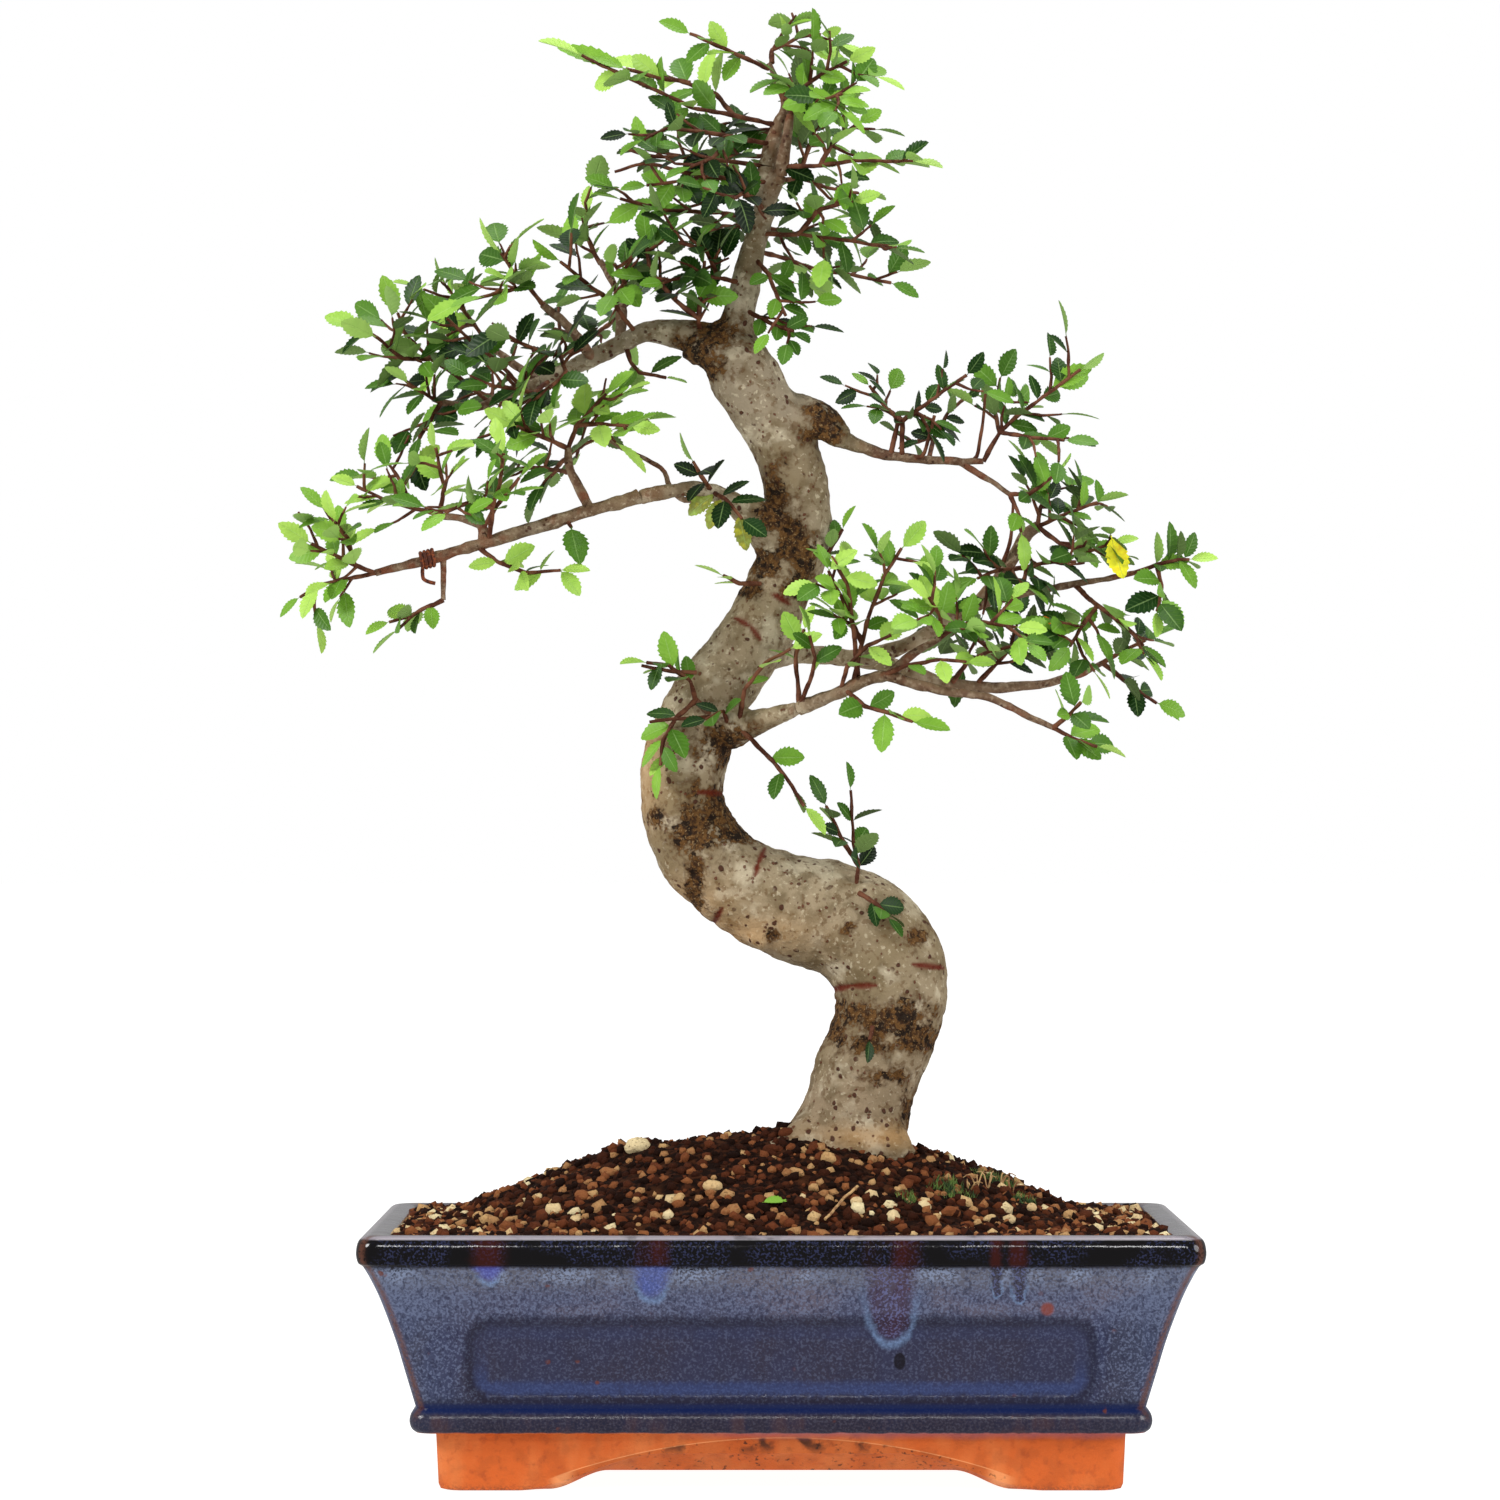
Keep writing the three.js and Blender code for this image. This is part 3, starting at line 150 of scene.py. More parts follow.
SPRAYS = {
  "crown_tip_left": Spray(0.6, 12, [4], [
    [[7, 516, 1], [-2, 520, -3], [-10, 524, -6], [-22, 529, -10]],
  ]),
  "crown_long_left": Spray(0.75, 15, [5, 3], [
    [[11, 495, -1], [-6, 499, -6], [-22, 502, -10], [-39, 510, -15], [-62, 521, -19]],
    [[-6, 499, -6], [-13, 507, 2], [-24, 511, 8], [-38, 516, 14]],
  ]),
  "crown_top": Spray(0.6, 11, [5], [
    [[8, 518, 1], [8, 523, 3], [13, 525, 5], [18, 528, 8], [26, 529, 10]],
  ]),
  "crown_top_right": Spray(0.6, 12, [4, 3], [
    [[15, 499, -9], [18, 508, -12], [26, 514, -15], [36, 519, -18]],
    [[18, 508, -12], [24, 503, -20], [34, 507, -26]],
  ]),
  "crown_left_front": Spray(0.25, 12, [5, 2], [
    [[8, 488, -2], [-6, 491, -15], [-18, 493, -23], [-31, 494, -30], [-39, 490, -34]],
    [[-6, 491, -15], [-14, 483, -28], [-22, 480, -36]],
  ]),
  "crown_left_back": Spray(0.2, 12, [5, 2], [
    [[7, 484, -2], [-5, 484, 14], [-20, 483, 24], [-38, 486, 32]],
    [[-5, 484, 14], [-10, 492, 28], [-15, 498, 38]],
  ]),
  "crown_left_low": Spray(0.55, 12, [5], [
    [[6, 471, -2], [-6, 475, -10], [-18, 476, -16], [-38, 473, -22]],
  ]),
  "leader_left": Spray(0.5, 12, [5, 2], [
    [[4, 460, -1], [-11, 463, -6], [-33, 464, -12], [-48, 468, -17]],
    [[-11, 463, -6], [-20, 470, 4], [-30, 473, 10]],
  ]),
  "crown_right": Spray(0.6, 12, [5, 3], [
    [[12, 480, -8], [26, 480, -13], [38, 482, -18], [60, 482, -24]],
    [[26, 480, -13], [30, 488, -8], [40, 496, -4]],
  ]),
  "crown_right_back": Spray(0.3, 12, [4, 3], [
    [[8, 474, -4], [18, 476, 16], [29, 472, 28], [40, 470, 38]],
    [[18, 476, 16], [22, 488, 22], [26, 499, 28]],
  ]),
  "leader_right": Spray(0.55, 13, [5, 3], [
    [[3, 455, -1], [18, 455, -10], [33, 453, -17], [54, 450, -24]],
    [[18, 455, -10], [25, 464, -16], [38, 467, -22]],
  ]),
  "leader_right_low": Spray(0.5, 13, [5], [
    [[1, 449, 0], [13, 446, 12], [24, 442, 20], [38, 440, 26], [52, 437, 30]],
  ]),
  "leader_front_low": Spray(0.45, 11, [5], [
    [[1, 447, 0], [7, 440, -12], [10, 432, -17], [13, 425, -20]],
  ]),
  "leader_front": Spray(0.15, 12, [5], [
    [[5, 464, -2], [2, 468, -20], [-3, 470, -34], [-6, 468, -46]],
  ]),
  "leader_left_low": Spray(0.3, 12, [4, 3], [
    [[-2, 437, 0], [-12, 439, -12], [-22, 440, -20], [-32, 437, -28]],
    [[-12, 439, -12], [-16, 449, -22], [-26, 452, -32]],
  ]),
  "crown_back": Spray(0.2, 12, [4, 3], [
    [[9, 491, -1], [8, 494, 18], [2, 492, 36], [0, 487, 52]],
    [[8, 494, 18], [16, 502, 30], [20, 505, 42]],
  ]),
  "leader_back": Spray(0.2, 12, [4, 3], [
    [[3, 456, -1], [-2, 458, 20], [-10, 458, 38], [-14, 454, 54]],
    [[-2, 458, 20], [10, 457, 34], [18, 455, 48]],
  ]),
  "leader_foot": Spray(0.3, 11, [5], [
    [[-3, 428, 0], [4, 424, -12], [10, 421, -18], [16, 419, -23]],
  ]),
  "shoulder_left": Spray(0.35, 12, [4, 3], [
    [[-18, 416, 2], [-19, 424, -8], [-18, 434, -12], [-17, 445, -14]],
    [[-19, 424, -8], [-29, 432, -14], [-37, 442, -18], [-38, 451, -20]],
  ]),
  "high_left_crest": Spray(0.6, 12, [5], [
    [[-55, 444, 22], [-58, 449, 24], [-61, 456, 26], [-60, 463, 27]],
  ]),
  "high_left_ridge": Spray(0.45, 13, [4, 2], [
    [[-42, 418, 6], [-50, 429, -8], [-60, 437, -16], [-70, 445, -22]],
    [[-50, 429, -8], [-46, 437, -18], [-50, 444, -28]],
  ]),
  "high_left_peak": Spray(0.55, 14, [5, 2], [
    [[-76, 429, -10], [-82, 436, -12], [-88, 442, -14], [-92, 448, -15]],
    [[-82, 436, -12], [-90, 434, -22], [-98, 432, -30]],
  ]),
  "high_left_front_low": Spray(0.3, 13, [4, 3], [
    [[-62, 414, 4], [-70, 410, -12], [-78, 412, -24], [-88, 416, -34]],
    [[-70, 410, -12], [-68, 404, -26], [-74, 398, -38]],
  ]),
  "high_left_outer": Spray(0.55, 13, [4, 2], [
    [[-96, 414, 30], [-102, 422, 30], [-108, 430, 28], [-112, 436, 26]],
    [[-102, 422, 30], [-108, 420, 42], [-114, 418, 50]],
  ]),
  "high_left_mid": Spray(0.4, 13, [5], [
    [[-84, 398, 14], [-92, 407, 2], [-102, 415, -4], [-112, 424, -8]],
  ]),
  "high_left_round": Spray(0.5, 14, [4, 3], [
    [[-96, 393, 14], [-107, 402, 14], [-118, 409, 12], [-128, 419, 8], [-130, 426, 6]],
    [[-118, 409, 12], [-128, 409, 4], [-138, 417, -2]],
  ]),
  "high_left_end": Spray(0.45, 13, [4, 3], [
    [[-114, 393, 6], [-118, 395, 2], [-126, 400, -2]],
    [[-114, 393, 6], [-118, 386, 0], [-122, 380, -6]],
  ]),
  "high_left_under": Spray(0.35, 12, [4, 3], [
    [[-74, 401, 12], [-80, 396, -4], [-88, 389, -12], [-95, 380, -18]],
    [[-80, 396, -4], [-86, 398, -18], [-96, 399, -26]],
  ]),
  "high_left_rear": Spray(0.3, 13, [4, 3], [
    [[-60, 408, 10], [-62, 414, 28], [-66, 418, 44], [-72, 420, 58]],
    [[-62, 414, 28], [-52, 422, 40], [-46, 428, 50]],
  ]),
  "high_left_rear_low": Spray(0.3, 13, [4, 2], [
    [[-86, 397, 14], [-92, 394, 30], [-98, 396, 44], [-106, 400, 54]],
    [[-92, 394, 30], [-84, 390, 42], [-78, 392, 52]],
  ]),
  "low_left_end": Spray(0.72, 12, [4, 3, 2], [
    [[-138, 330, -36], [-146, 333, -38], [-154, 337, -40], [-162, 341, -42]],
    [[-138, 330, -36], [-148, 328, -32], [-158, 326, -28], [-166, 321, -26]],
    [[-146, 333, -38], [-148, 342, -44], [-153, 349, -50]],
  ]),
  "low_left_arm_end": Spray(0.66, 12, [3, 2, 2], [
    [[-114, 351, -25], [-125, 354, -22], [-135, 357, -20], [-145, 362, -18]],
    [[-125, 354, -22], [-128, 362, -12], [-133, 370, -6]],
    [[-114, 351, -25], [-113, 362, -33], [-116, 376, -40]],
  ]),
  "low_left_bend": Spray(0.58, 12, [4, 2], [
    [[-96, 342, -33], [-95, 354, -42], [-92, 363, -50], [-91, 374, -56]],
    [[-95, 354, -42], [-104, 356, -52], [-112, 352, -60]],
  ]),
  "low_left_bright": Spray(0.75, 13, [5, 3, 2], [
    [[-67, 376, -17], [-64, 384, -18], [-58, 391, -20], [-53, 396, -22]],
    [[-64, 384, -18], [-55, 385, -26], [-44, 384, -32]],
    [[-67, 376, -17], [-76, 380, -22], [-86, 384, -26]],
  ]),
  "low_left_rear": Spray(0.45, 12, [4, 3], [
    [[-66, 367, -20], [-72, 368, -4], [-80, 369, 8], [-88, 368, 18]],
    [[-72, 368, -4], [-66, 374, 10], [-60, 378, 22]],
  ]),
  "low_left_drop_end": Spray(0.6, 12, [5], [
    [[-113, 320, -36], [-118, 318, -37], [-125, 314, -38], [-133, 312, -39]],
  ]),
  "low_left_pale": Spray(0.7, 12, [4], [
    [[-101, 340, -33], [-93, 334, -38], [-82, 330, -40], [-70, 331, -42]],
  ]),
  "low_left_front": Spray(0.15, 12, [3, 2], [
    [[-14, 360, -15], [-17, 364, -24], [-21, 371, -28]],
    [[-14, 360, -15], [-9, 357, -26], [-3, 350, -30]],
  ]),
  "high_right_front": Spray(0.34, 12, [4, 2], [
    [[56, 373, -9], [56, 386, -14], [66, 393, -18], [80, 403, -24]],
    [[56, 386, -14], [50, 391, -8], [44, 399, -4]],
  ]),
  "high_right_rear": Spray(0.3, 12, [4, 2], [
    [[66, 372, -9], [68, 380, 4], [73, 389, 12], [80, 395, 18]],
    [[68, 380, 4], [60, 378, 16], [54, 382, 26]],
  ]),
  "high_right_end": Spray(0.45, 13, [5, 3, 2], [
    [[86, 371, -10], [92, 382, -10], [100, 389, -10], [111, 397, -10], [122, 405, -10]],
    [[92, 382, -10], [103, 380, -18], [116, 379, -24]],
    [[92, 382, -10], [90, 390, 0], [94, 396, 8]],
  ]),
  "high_right_droop_end": Spray(0.55, 12, [4, 2], [
    [[96, 359, -15], [103, 359, -20], [112, 366, -25]],
    [[96, 359, -15], [99, 352, -18], [100, 345, -20]],
  ]),
  "mid_right_end": Spray(0.48, 12, [4, 3, 2], [
    [[106, 347, 12], [114, 351, 12], [128, 356, 12]],
    [[106, 347, 12], [115, 340, 4], [125, 338, 0], [134, 341, -4]],
    [[106, 347, 12], [107, 354, 20], [111, 362, 26]],
  ]),
  "long_right_end": Spray(0.5, 13, [5, 3], [
    [[142, 330, -2], [150, 333, -4], [158, 335, -6], [162, 335, -7]],
    [[150, 333, -4], [152, 324, -12], [150, 316, -18]],
  ]),
  "long_right_under": Spray(0.55, 14, [4, 3], [
    [[120, 325, 5], [128, 318, -4], [138, 311, -10], [145, 303, -14]],
    [[128, 318, -4], [122, 310, -14], [118, 303, -20]],
  ]),
  "long_right_top": Spray(0.4, 12, [4, 3], [
    [[100, 322, 11], [102, 332, 0], [110, 334, -10], [120, 334, -16]],
    [[102, 332, 0], [92, 331, -12], [84, 328, -22]],
  ]),
  "back_right_end": Spray(0.4, 13, [4, 3], [
    [[130, 297, 62], [137, 301, 60], [146, 305, 58]],
    [[130, 297, 62], [138, 290, 66], [150, 282, 68]],
  ]),
  "back_right_top": Spray(0.2, 13, [5, 3], [
    [[84, 289, 54], [92, 298, 50], [100, 306, 44], [110, 311, 38]],
    [[92, 298, 50], [84, 306, 58], [76, 311, 66]],
  ]),
  "front_right_end": Spray(0.6, 13, [4, 2], [
    [[112, 273, -50], [119, 269, -52], [128, 266, -54]],
    [[112, 273, -50], [117, 277, -58], [122, 282, -64]],
  ]),
  "front_right_rise_end": Spray(0.65, 13, [4, 3], [
    [[70, 306, -40], [77, 311, -42], [86, 312, -46], [98, 310, -48]],
    [[70, 306, -40], [70, 314, -48], [66, 321, -56]],
  ]),
  "front_right_hang": Spray(0.7, 13, [4], [
    [[35, 287, -35], [42, 281, -44], [52, 278, -48], [60, 275, -52]],
  ]),
  "front_right_upright": Spray(0.7, 13, [5, 3], [
    [[38, 288, -36], [41, 304, -36], [45, 318, -34], [50, 330, -32], [56, 339, -30]],
    [[41, 304, -36], [36, 316, -42], [29, 331, -46]],
  ]),
  "trunk_sprout": Spray(0.3, 12, [4, 2], [
    [[38, 208, -8], [40, 222, -12], [38, 231, -14], [37, 250, -16]],
    [[40, 222, -12], [34, 232, -18], [28, 244, -22]],
  ]),
  "front_left": Spray(0.55, 12, [4, 3], [
    [[-20, 283, -20], [-22, 290, -26], [-30, 296, -30], [-38, 297, -33]],
    [[-20, 283, -20], [-27, 277, -25], [-32, 268, -28], [-33, 259, -29]],
  ]),
}

# Sprouts that the solids leave out, in the same form
SPROUTS = {
  "hang_under_shoulder": Spray(0.5, 12, [4], [
    [[-46, 414, 8], [-44, 408, 2], [-41, 404, -4], [-31, 402, -8]],
  ]),
  "inner_twig": Spray(0.55, 11, [3], [
    [[18, 281, -28], [17, 300, -31], [20, 309, -33]],
  ]),
  "trunk_right_sprout": Spray(0.35, 10, [4], [
    [[24, 335, 0], [29, 337, -4], [34, 346, -6]],
  ]),
  "small_pale_left": Spray(0.85, 10, [3], [
    [[4, 326, -10], [-4, 326, -14], [-10, 329, -16]],
  ]),
  "lower_trunk_tuft": Spray(0.3, 12, [5], [
    [[40, 212, -17], [47, 208, -22], [51, 203, -25]],
  ]),
  "single_on_trunk": Spray(0.1, 10, [1], [
    [[45, 163, -19], [44, 158, -21.5]],
  ]),
  "dark_leaf_on_arm": Spray(0.3, 19, [1], [
    [[-68, 350, -28], [-66, 347, -31]],
  ]),
  "arch_twig": Spray(0.7, 12, [4], [
    [[-4, 276, -20], [-2, 287, -26], [6, 297, -30], [15, 302, -33]],
  ]),
  "hanging_twig": Spray(0.5, 11, [4], [
    [[-3, 272, -20], [6, 263, -26], [13, 255, -29], [20, 244, -31]],
  ]),
  "collar_tuft": Spray(0.3, 12, [4], [
    [[-8, 274, -17], [-10, 279, -24], [-16, 276, -29]],
  ]),
  "yellow_green_left": Spray(0.95, 12, [1], [
    [[-24, 268, -18], [-29, 263, -21]],
  ]),
  "drop_tip": Spray(0.6, 12, [3], [
    [[-113, 320, -36], [-122, 316, -38], [-130, 309, -40]],
  ]),
  "arm_rise": Spray(0.6, 12, [3], [
    [[-99, 345, -31], [-94, 354, -34], [-85, 365, -36]],
  ]),
  "high_right_arch": Spray(0.25, 12, [4], [
    [[52, 374, -9], [55, 389, -12], [63, 388, -14], [66, 382, -16]],
  ]),
  "bright_trio": Spray(0.85, 13, [5], [
    [[40, 292, -35], [38, 310, -44], [36, 326, -46], [30, 336, -47]],
  ]),
  "long_apex": Spray(0.62, 13, [3], [
    [[-22, 511, -10], [-34, 513, -13], [-46, 516, -16]],
  ]),
  "over_arms_left": Spray(0.7, 12, [5], [
    [[33, 286, -34], [36, 295, -40], [43, 303, -44], [52, 307, -47]],
  ]),
  "over_arms_front": Spray(0.75, 12, [5], [
    [[48, 292, -38], [58, 296, -46], [70, 298, -50], [80, 297, -52]],
  ]),
  "over_arms_right": Spray(0.5, 12, [5], [
    [[74, 289, 52], [80, 297, 40], [88, 301, 28], [97, 303, 20]],
  ]),
  "before_arms": Spray(0.6, 11, [4], [
    [[18, 280, -28], [22, 290, -36], [24, 299, -40], [22, 307, -42]],
  ]),
}

# Bare stubs and cut twigs
BARE_TWIGS = [
  [[6, 480, -2], [-18, 483, -8], [-37, 484, -12], [-47, 487, -14]],
  [[10, 474, -3], [-20, 477, -20], [-37, 481, -26], [-50, 478, -28]],
  [[-20, 293, -25], [-31, 294, -30], [-40, 296, -32]],
  [[-14, 277, -20], [-28, 276, -26], [-37, 275, -28]],
  [[60, 373, -9], [64, 374, -12], [68, 388, -16]],
  [[80, 371, -10], [84, 374, -10], [87, 396, -12]],
  [[92, 331, 17], [96, 342, 10], [97, 356, 4]],
]


# Graphs of nodes

class Value:
    """A socket of a graph. Arithmetic on it adds Math nodes, and a plain number may stand on either side."""

    def __init__(self, graph, socket):
        self.graph = graph
        self.socket = socket

    def math(self, operation, *others):
        return self.graph.math(operation, self, *others)

    def other(self, output):
        """Another output of the same node."""
        return Value(self.graph, self.socket.node.outputs[output])

    def __add__(self, other):
        return self.math("ADD", other)

    def __sub__(self, other):
        return self.math("SUBTRACT", other)

    def __rsub__(self, other):
        return self.graph.math("SUBTRACT", other, self)

    def __mul__(self, other):
        return self.math("MULTIPLY", other)

    def __truediv__(self, other):
        return self.math("DIVIDE", other)

    __radd__ = __add__
    __rmul__ = __mul__

    def most(self, other):
        return self.math("MAXIMUM", other)

    def absolute(self):
        return self.math("ABSOLUTE")

    def length_with(self, other):
        """The length of a line that goes this far one way and that far square to it."""
        return (self * self + other * other).math("SQRT")

    def step(self, low, high):
        """0 at low and beyond, 1 at high and beyond, with a soft change between them."""
        settings = {"interpolation_type": "SMOOTHSTEP"}
        return self.graph.node("ShaderNodeMapRange", settings, {0: self, 1: low, 2: high})


def set_stops(ramp, stops):
    for position, colour in stops[1:-1]:
        ramp.elements.new(position).color = colour
    for index in (0, -1):
        ramp.elements[index].position, ramp.elements[index].color = stops[index]


class Graph:
    """Adds nodes to one node tree and gives back their outputs."""

    def __init__(self, tree):
        self.tree = tree
        tree.nodes.clear()

    def node(self, kind, settings=None, sockets=None, output=0):
        made = self.tree.nodes.new(kind)
        for name, setting in (settings or {}).items():
            if name == "stops":
                set_stops(made.color_ramp, setting)
            else:
                setattr(made, name, setting)
        for key, given in (sockets or {}).items():
            for value in given if isinstance(given, list) else [given]:
                if isinstance(value, Value):
                    self.tree.links.new(value.socket, made.inputs[key])
                else:
                    made.inputs[key].default_value = value
        return Value(self, made.outputs[output]) if len(made.outputs) else None

    def math(self, operation, *values):
        return self.node("ShaderNodeMath", {"operation": operation}, dict(enumerate(values)))

    def vector(self, operation, *values):
        return self.node("ShaderNodeVectorMath", {"operation": operation}, dict(enumerate(values)))

    def scaled(self, vector, factor):
        return self.node("ShaderNodeVectorMath", {"operation": "SCALE"}, {0: vector, 3: factor})

    def parts(self, vector):
        """The x, y and z of a vector."""
        return [self.node("ShaderNodeSeparateXYZ", None, {0: vector}, axis) for axis in range(3)]

    def drift(self, size):
        """A small direction at random, which changes over that size."""
        return self.vector("SUBTRACT", self.noise(size, 2).other(1), (0.5, 0.5, 0.5))

    def bent(self, size, reach):
        """The place, pushed about by noise of that size by up to that reach, both in millimetres."""
        return self.vector("MULTIPLY_ADD", self.drift(size), (2 * reach * MM,) * 3, self.place)

    def noise(self, size, detail=3.0, stretch=None):
        """Noise about 0.5, with features of that size in millimetres."""
        where = self.vector("MULTIPLY", self.place, stretch) if stretch else self.place
        sockets = {"Vector": where, "Scale": 1000 / size, "Detail": detail}
        return self.node("ShaderNodeTexNoise", None, sockets)


class Paint(Graph):
    """A procedural material on Object coordinates."""

    def __init__(self, name):
        self.material = bpy.data.materials.new(name)
        self.material.use_nodes = True
        super().__init__(self.material.node_tree)
        self.place = self.node("ShaderNodeTexCoord", output=3)

    def axes(self):
        """The three Object coordinates in millimetres."""
        return self.parts(self.scaled(self.place, 1000))

    def attribute(self, name, output=2):
        return self.node("ShaderNodeAttribute", {"attribute_name": name}, None, output)

    def cells(self, size, place=None):
        """How far each place lies from the middle of its cell, with cells of that size in millimetres."""
        sockets = {"Vector": place or self.place, "Scale": 1000 / size}
        return self.node("ShaderNodeTexVoronoi", None, sockets)

    def ramp(self, share, stops):
        return self.node("ShaderNodeValToRGB", {"stops": stops}, {0: share})

    def mix(self, share, under, over):
        """The colour under, covered by the colour over as the share goes from 0 to 1."""
        return self.node("ShaderNodeMix", {"data_type": "RGBA"}, {0: share, 6: under, 7: over}, 2)

    def layers(self, base, *covers):
        for share, colour in covers:
            base = self.mix(share, base, colour)
        return base

    def finish(self, colour, roughness, height=None, **constants):
        """Ends the material. The height is in millimetres; the constants are the shader's own sockets."""
        sockets = {"Base Color": colour, "Roughness": roughness}
        if height is not None:
            sockets["Normal"] = self.node("ShaderNodeBump", None, {"Distance": MM, "Height": height})
        sockets.update({name.replace("_", " "): value for name, value in constants.items()})
        surface = self.node("ShaderNodeBsdfPrincipled", None, sockets)
        self.node("ShaderNodeOutputMaterial", None, {0: surface})
        return self.material


def rgb(red, green, blue):
    """A colour as it looks on a screen, from 0 to 255, made linear."""
    return tuple((value / 255) ** 2.2 for value in (red, green, blue)) + (1.0,)


class Growth(Graph):
    """A geometry tree with named inputs, which is run once on a base and leaves a plain mesh."""

    def __init__(self, name, inputs):
        tree = bpy.data.node_groups.new(name, "GeometryNodeTree")
        super().__init__(tree)
        tree.interface.new_socket("Geometry", in_out="INPUT", socket_type="NodeSocketGeometry")
        self.identifiers = {}
        for title, kind in inputs.items():
            socket = tree.interface.new_socket(title, in_out="INPUT", socket_type="NodeSocket" + kind)
            self.identifiers[title] = socket.identifier
        tree.interface.new_socket("Geometry", in_out="OUTPUT", socket_type="NodeSocketGeometry")
        self.entry = tree.nodes.new("NodeGroupInput")
        self.place = self.geo("InputPosition")

    def __getitem__(self, title):
        """The input of that name."""
        return Value(self, self.entry.outputs[title])

    def geo(self, kind, *values, output=0, **settings):
        """A geometry node. The values go to its first sockets, and None leaves one as it is."""
        sockets = {index: value for index, value in enumerate(values) if value is not None}
        return self.node("GeometryNode" + kind, settings, sockets, output)

    def named(self, name, kind="FLOAT"):
        return self.geo("InputNamedAttribute", name, data_type=kind)

    def forms(self, *titles):
        """The objects of those inputs, joined as instances to pick from."""
        geometries = [self.geo("ObjectInfo", self[title], output=4) for title in titles]
        return self.geo("JoinGeometry", [self.geo("GeometryToInstance", each) for each in geometries])

    def random(self, low, high, seed):
        sockets = {2: low, 3: high, 8: seed}
        return self.node("FunctionNodeRandomValue", {"data_type": "FLOAT"}, sockets, 1)

    def moved(self, geometry, offset):
        return self.geo("SetPosition", geometry, None, None, offset)

    def raised(self, height):
        """The base, with each point pushed along its own normal."""
        return self.moved(self["Geometry"], self.scaled(self.geo("InputNormal"), height))

    def on_points(self, points, forms, pick, turn, size):
        """Forms that stand on points, as real geometry. The pick says which form stands on each."""
        picks = pick is not None
        return self.geo("RealizeInstances", self.geo(
            "InstanceOnPoints", points, None, forms, picks, pick, turn, size
        ))

    def dressed(self, geometry, finish="Finish"):
        return self.geo("SetMaterial", geometry, None, self[finish])

    def end(self, geometry):
        self.node("NodeGroupOutput", None, {0: geometry})

    def run(self, base, name, **values):
        """Puts the tree on the base, keeps the plain mesh that comes out, and removes the base."""
        modifier = base.modifiers.new(name, "NODES")
        modifier.node_group = self.tree
        for title, value in values.items():
            modifier[self.identifiers[title.replace("_", " ")]] = value
        return settled(base, name)


def settled(base, name):
    """A new object with the base's evaluated mesh. The base goes."""
    bpy.context.view_layer.update()
    graph = bpy.context.evaluated_depsgraph_get()
    mesh = bpy.data.meshes.new_from_object(
        base.evaluated_get(graph), preserve_all_data_layers=True, depsgraph=graph
    )
    bpy.data.objects.remove(base)
    mesh.name = name
    return placed(mesh, name)


def placed(mesh, name):
    made = bpy.data.objects.new(name, mesh)
    bpy.context.scene.collection.objects.link(made)
    return made


# The field and the kind of number of each kind of attribute
ATTRIBUTE_KINDS = {
    "FLOAT": ("value", np.float32), "INT": ("value", np.int32), "BOOLEAN": ("value", bool),
    "FLOAT_VECTOR": ("vector", np.float32),
}


def give(mesh, name, values, kind="FLOAT", domain="POINT"):
    """Stores one value for each point or face of the mesh."""
    field, number = ATTRIBUTE_KINDS[kind]
    mesh.attributes.new(name, kind, domain).data.foreach_set(field, np.array(values, number).ravel())


def mesh_of(name, points, faces=(), edges=()):
    """A mesh from points in millimetres."""
    mesh = bpy.data.meshes.new(name)
    mesh.from_pydata((np.array(points, float) * MM).tolist(), list(edges), list(faces))
    if len(faces):
        mesh.shade_smooth()
    return mesh


def points_of(mesh):
    """The mesh's points in millimetres."""
    places = np.zeros(len(mesh.vertices) * 3, np.float32)
    mesh.vertices.foreach_get("co", places)
    return places.reshape(-1, 3) / MM


def normals_of(mesh):
    normals = np.zeros(len(mesh.vertices) * 3, np.float32)
    mesh.vertex_normals.foreach_get("vector", normals)
    return normals.reshape(-1, 3)


def dress(piece, finish):
    """Gives the piece one material and smooth faces."""
    piece.data.materials.clear()
    piece.data.materials.append(finish)
    piece.data.shade_smooth()


def ride(piece, slot, *nodes):
    """Joins the piece to the part: it stands for the nodes, which it hides. The slot is not used."""
    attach(piece, "root")
    if nodes:
        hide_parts(*nodes)


# Places on the tree and seeded draws, by the same rules as the part's source

def smoothstep(value):
    value = np.clip(value, 0, 1)
    return value * value * (3 - 2 * value)


def unit(vector):
    length = math.sqrt(float(vector @ vector))
    return vector / (length or 1.0)


def square_to(line, hint):
    """The direction nearest to the hint that is square to the line."""
    return unit(hint - line * float(hint @ line))


def seen_at(x, z, depth):
    """A place read in the middle plane, moved along its line of sight to its own depth."""
    reach = (depth - EYE[1]) / -EYE[1]
    return EYE + (np.array([x, 0.0, z]) - EYE) * reach


def seeded_draw(seed):
    modulus = 2147483647
    state = (seed * 7919 + 12345) % modulus

    def draw():
        nonlocal state
        state = state * 48271 % modulus
        return state / modulus

    return draw


def stations_of(route):
    return [(seen_at(x, z, depth), radius) for x, z, depth, radius in route]


def twig_stations(route):
    last = len(route) - 1
    change = TWIG_TIP_RADIUS - TWIG_ROOT_RADIUS
    radii = [TWIG_ROOT_RADIUS + change * index / last for index in range(last + 1)]
    return [(seen_at(*place), radius) for place, radius in zip(route, radii)]


def places_of(stations):
    return [place for place, _ in stations]


# Clear places for leaves: balls that stand for the wood, the twigs and the leaves so far

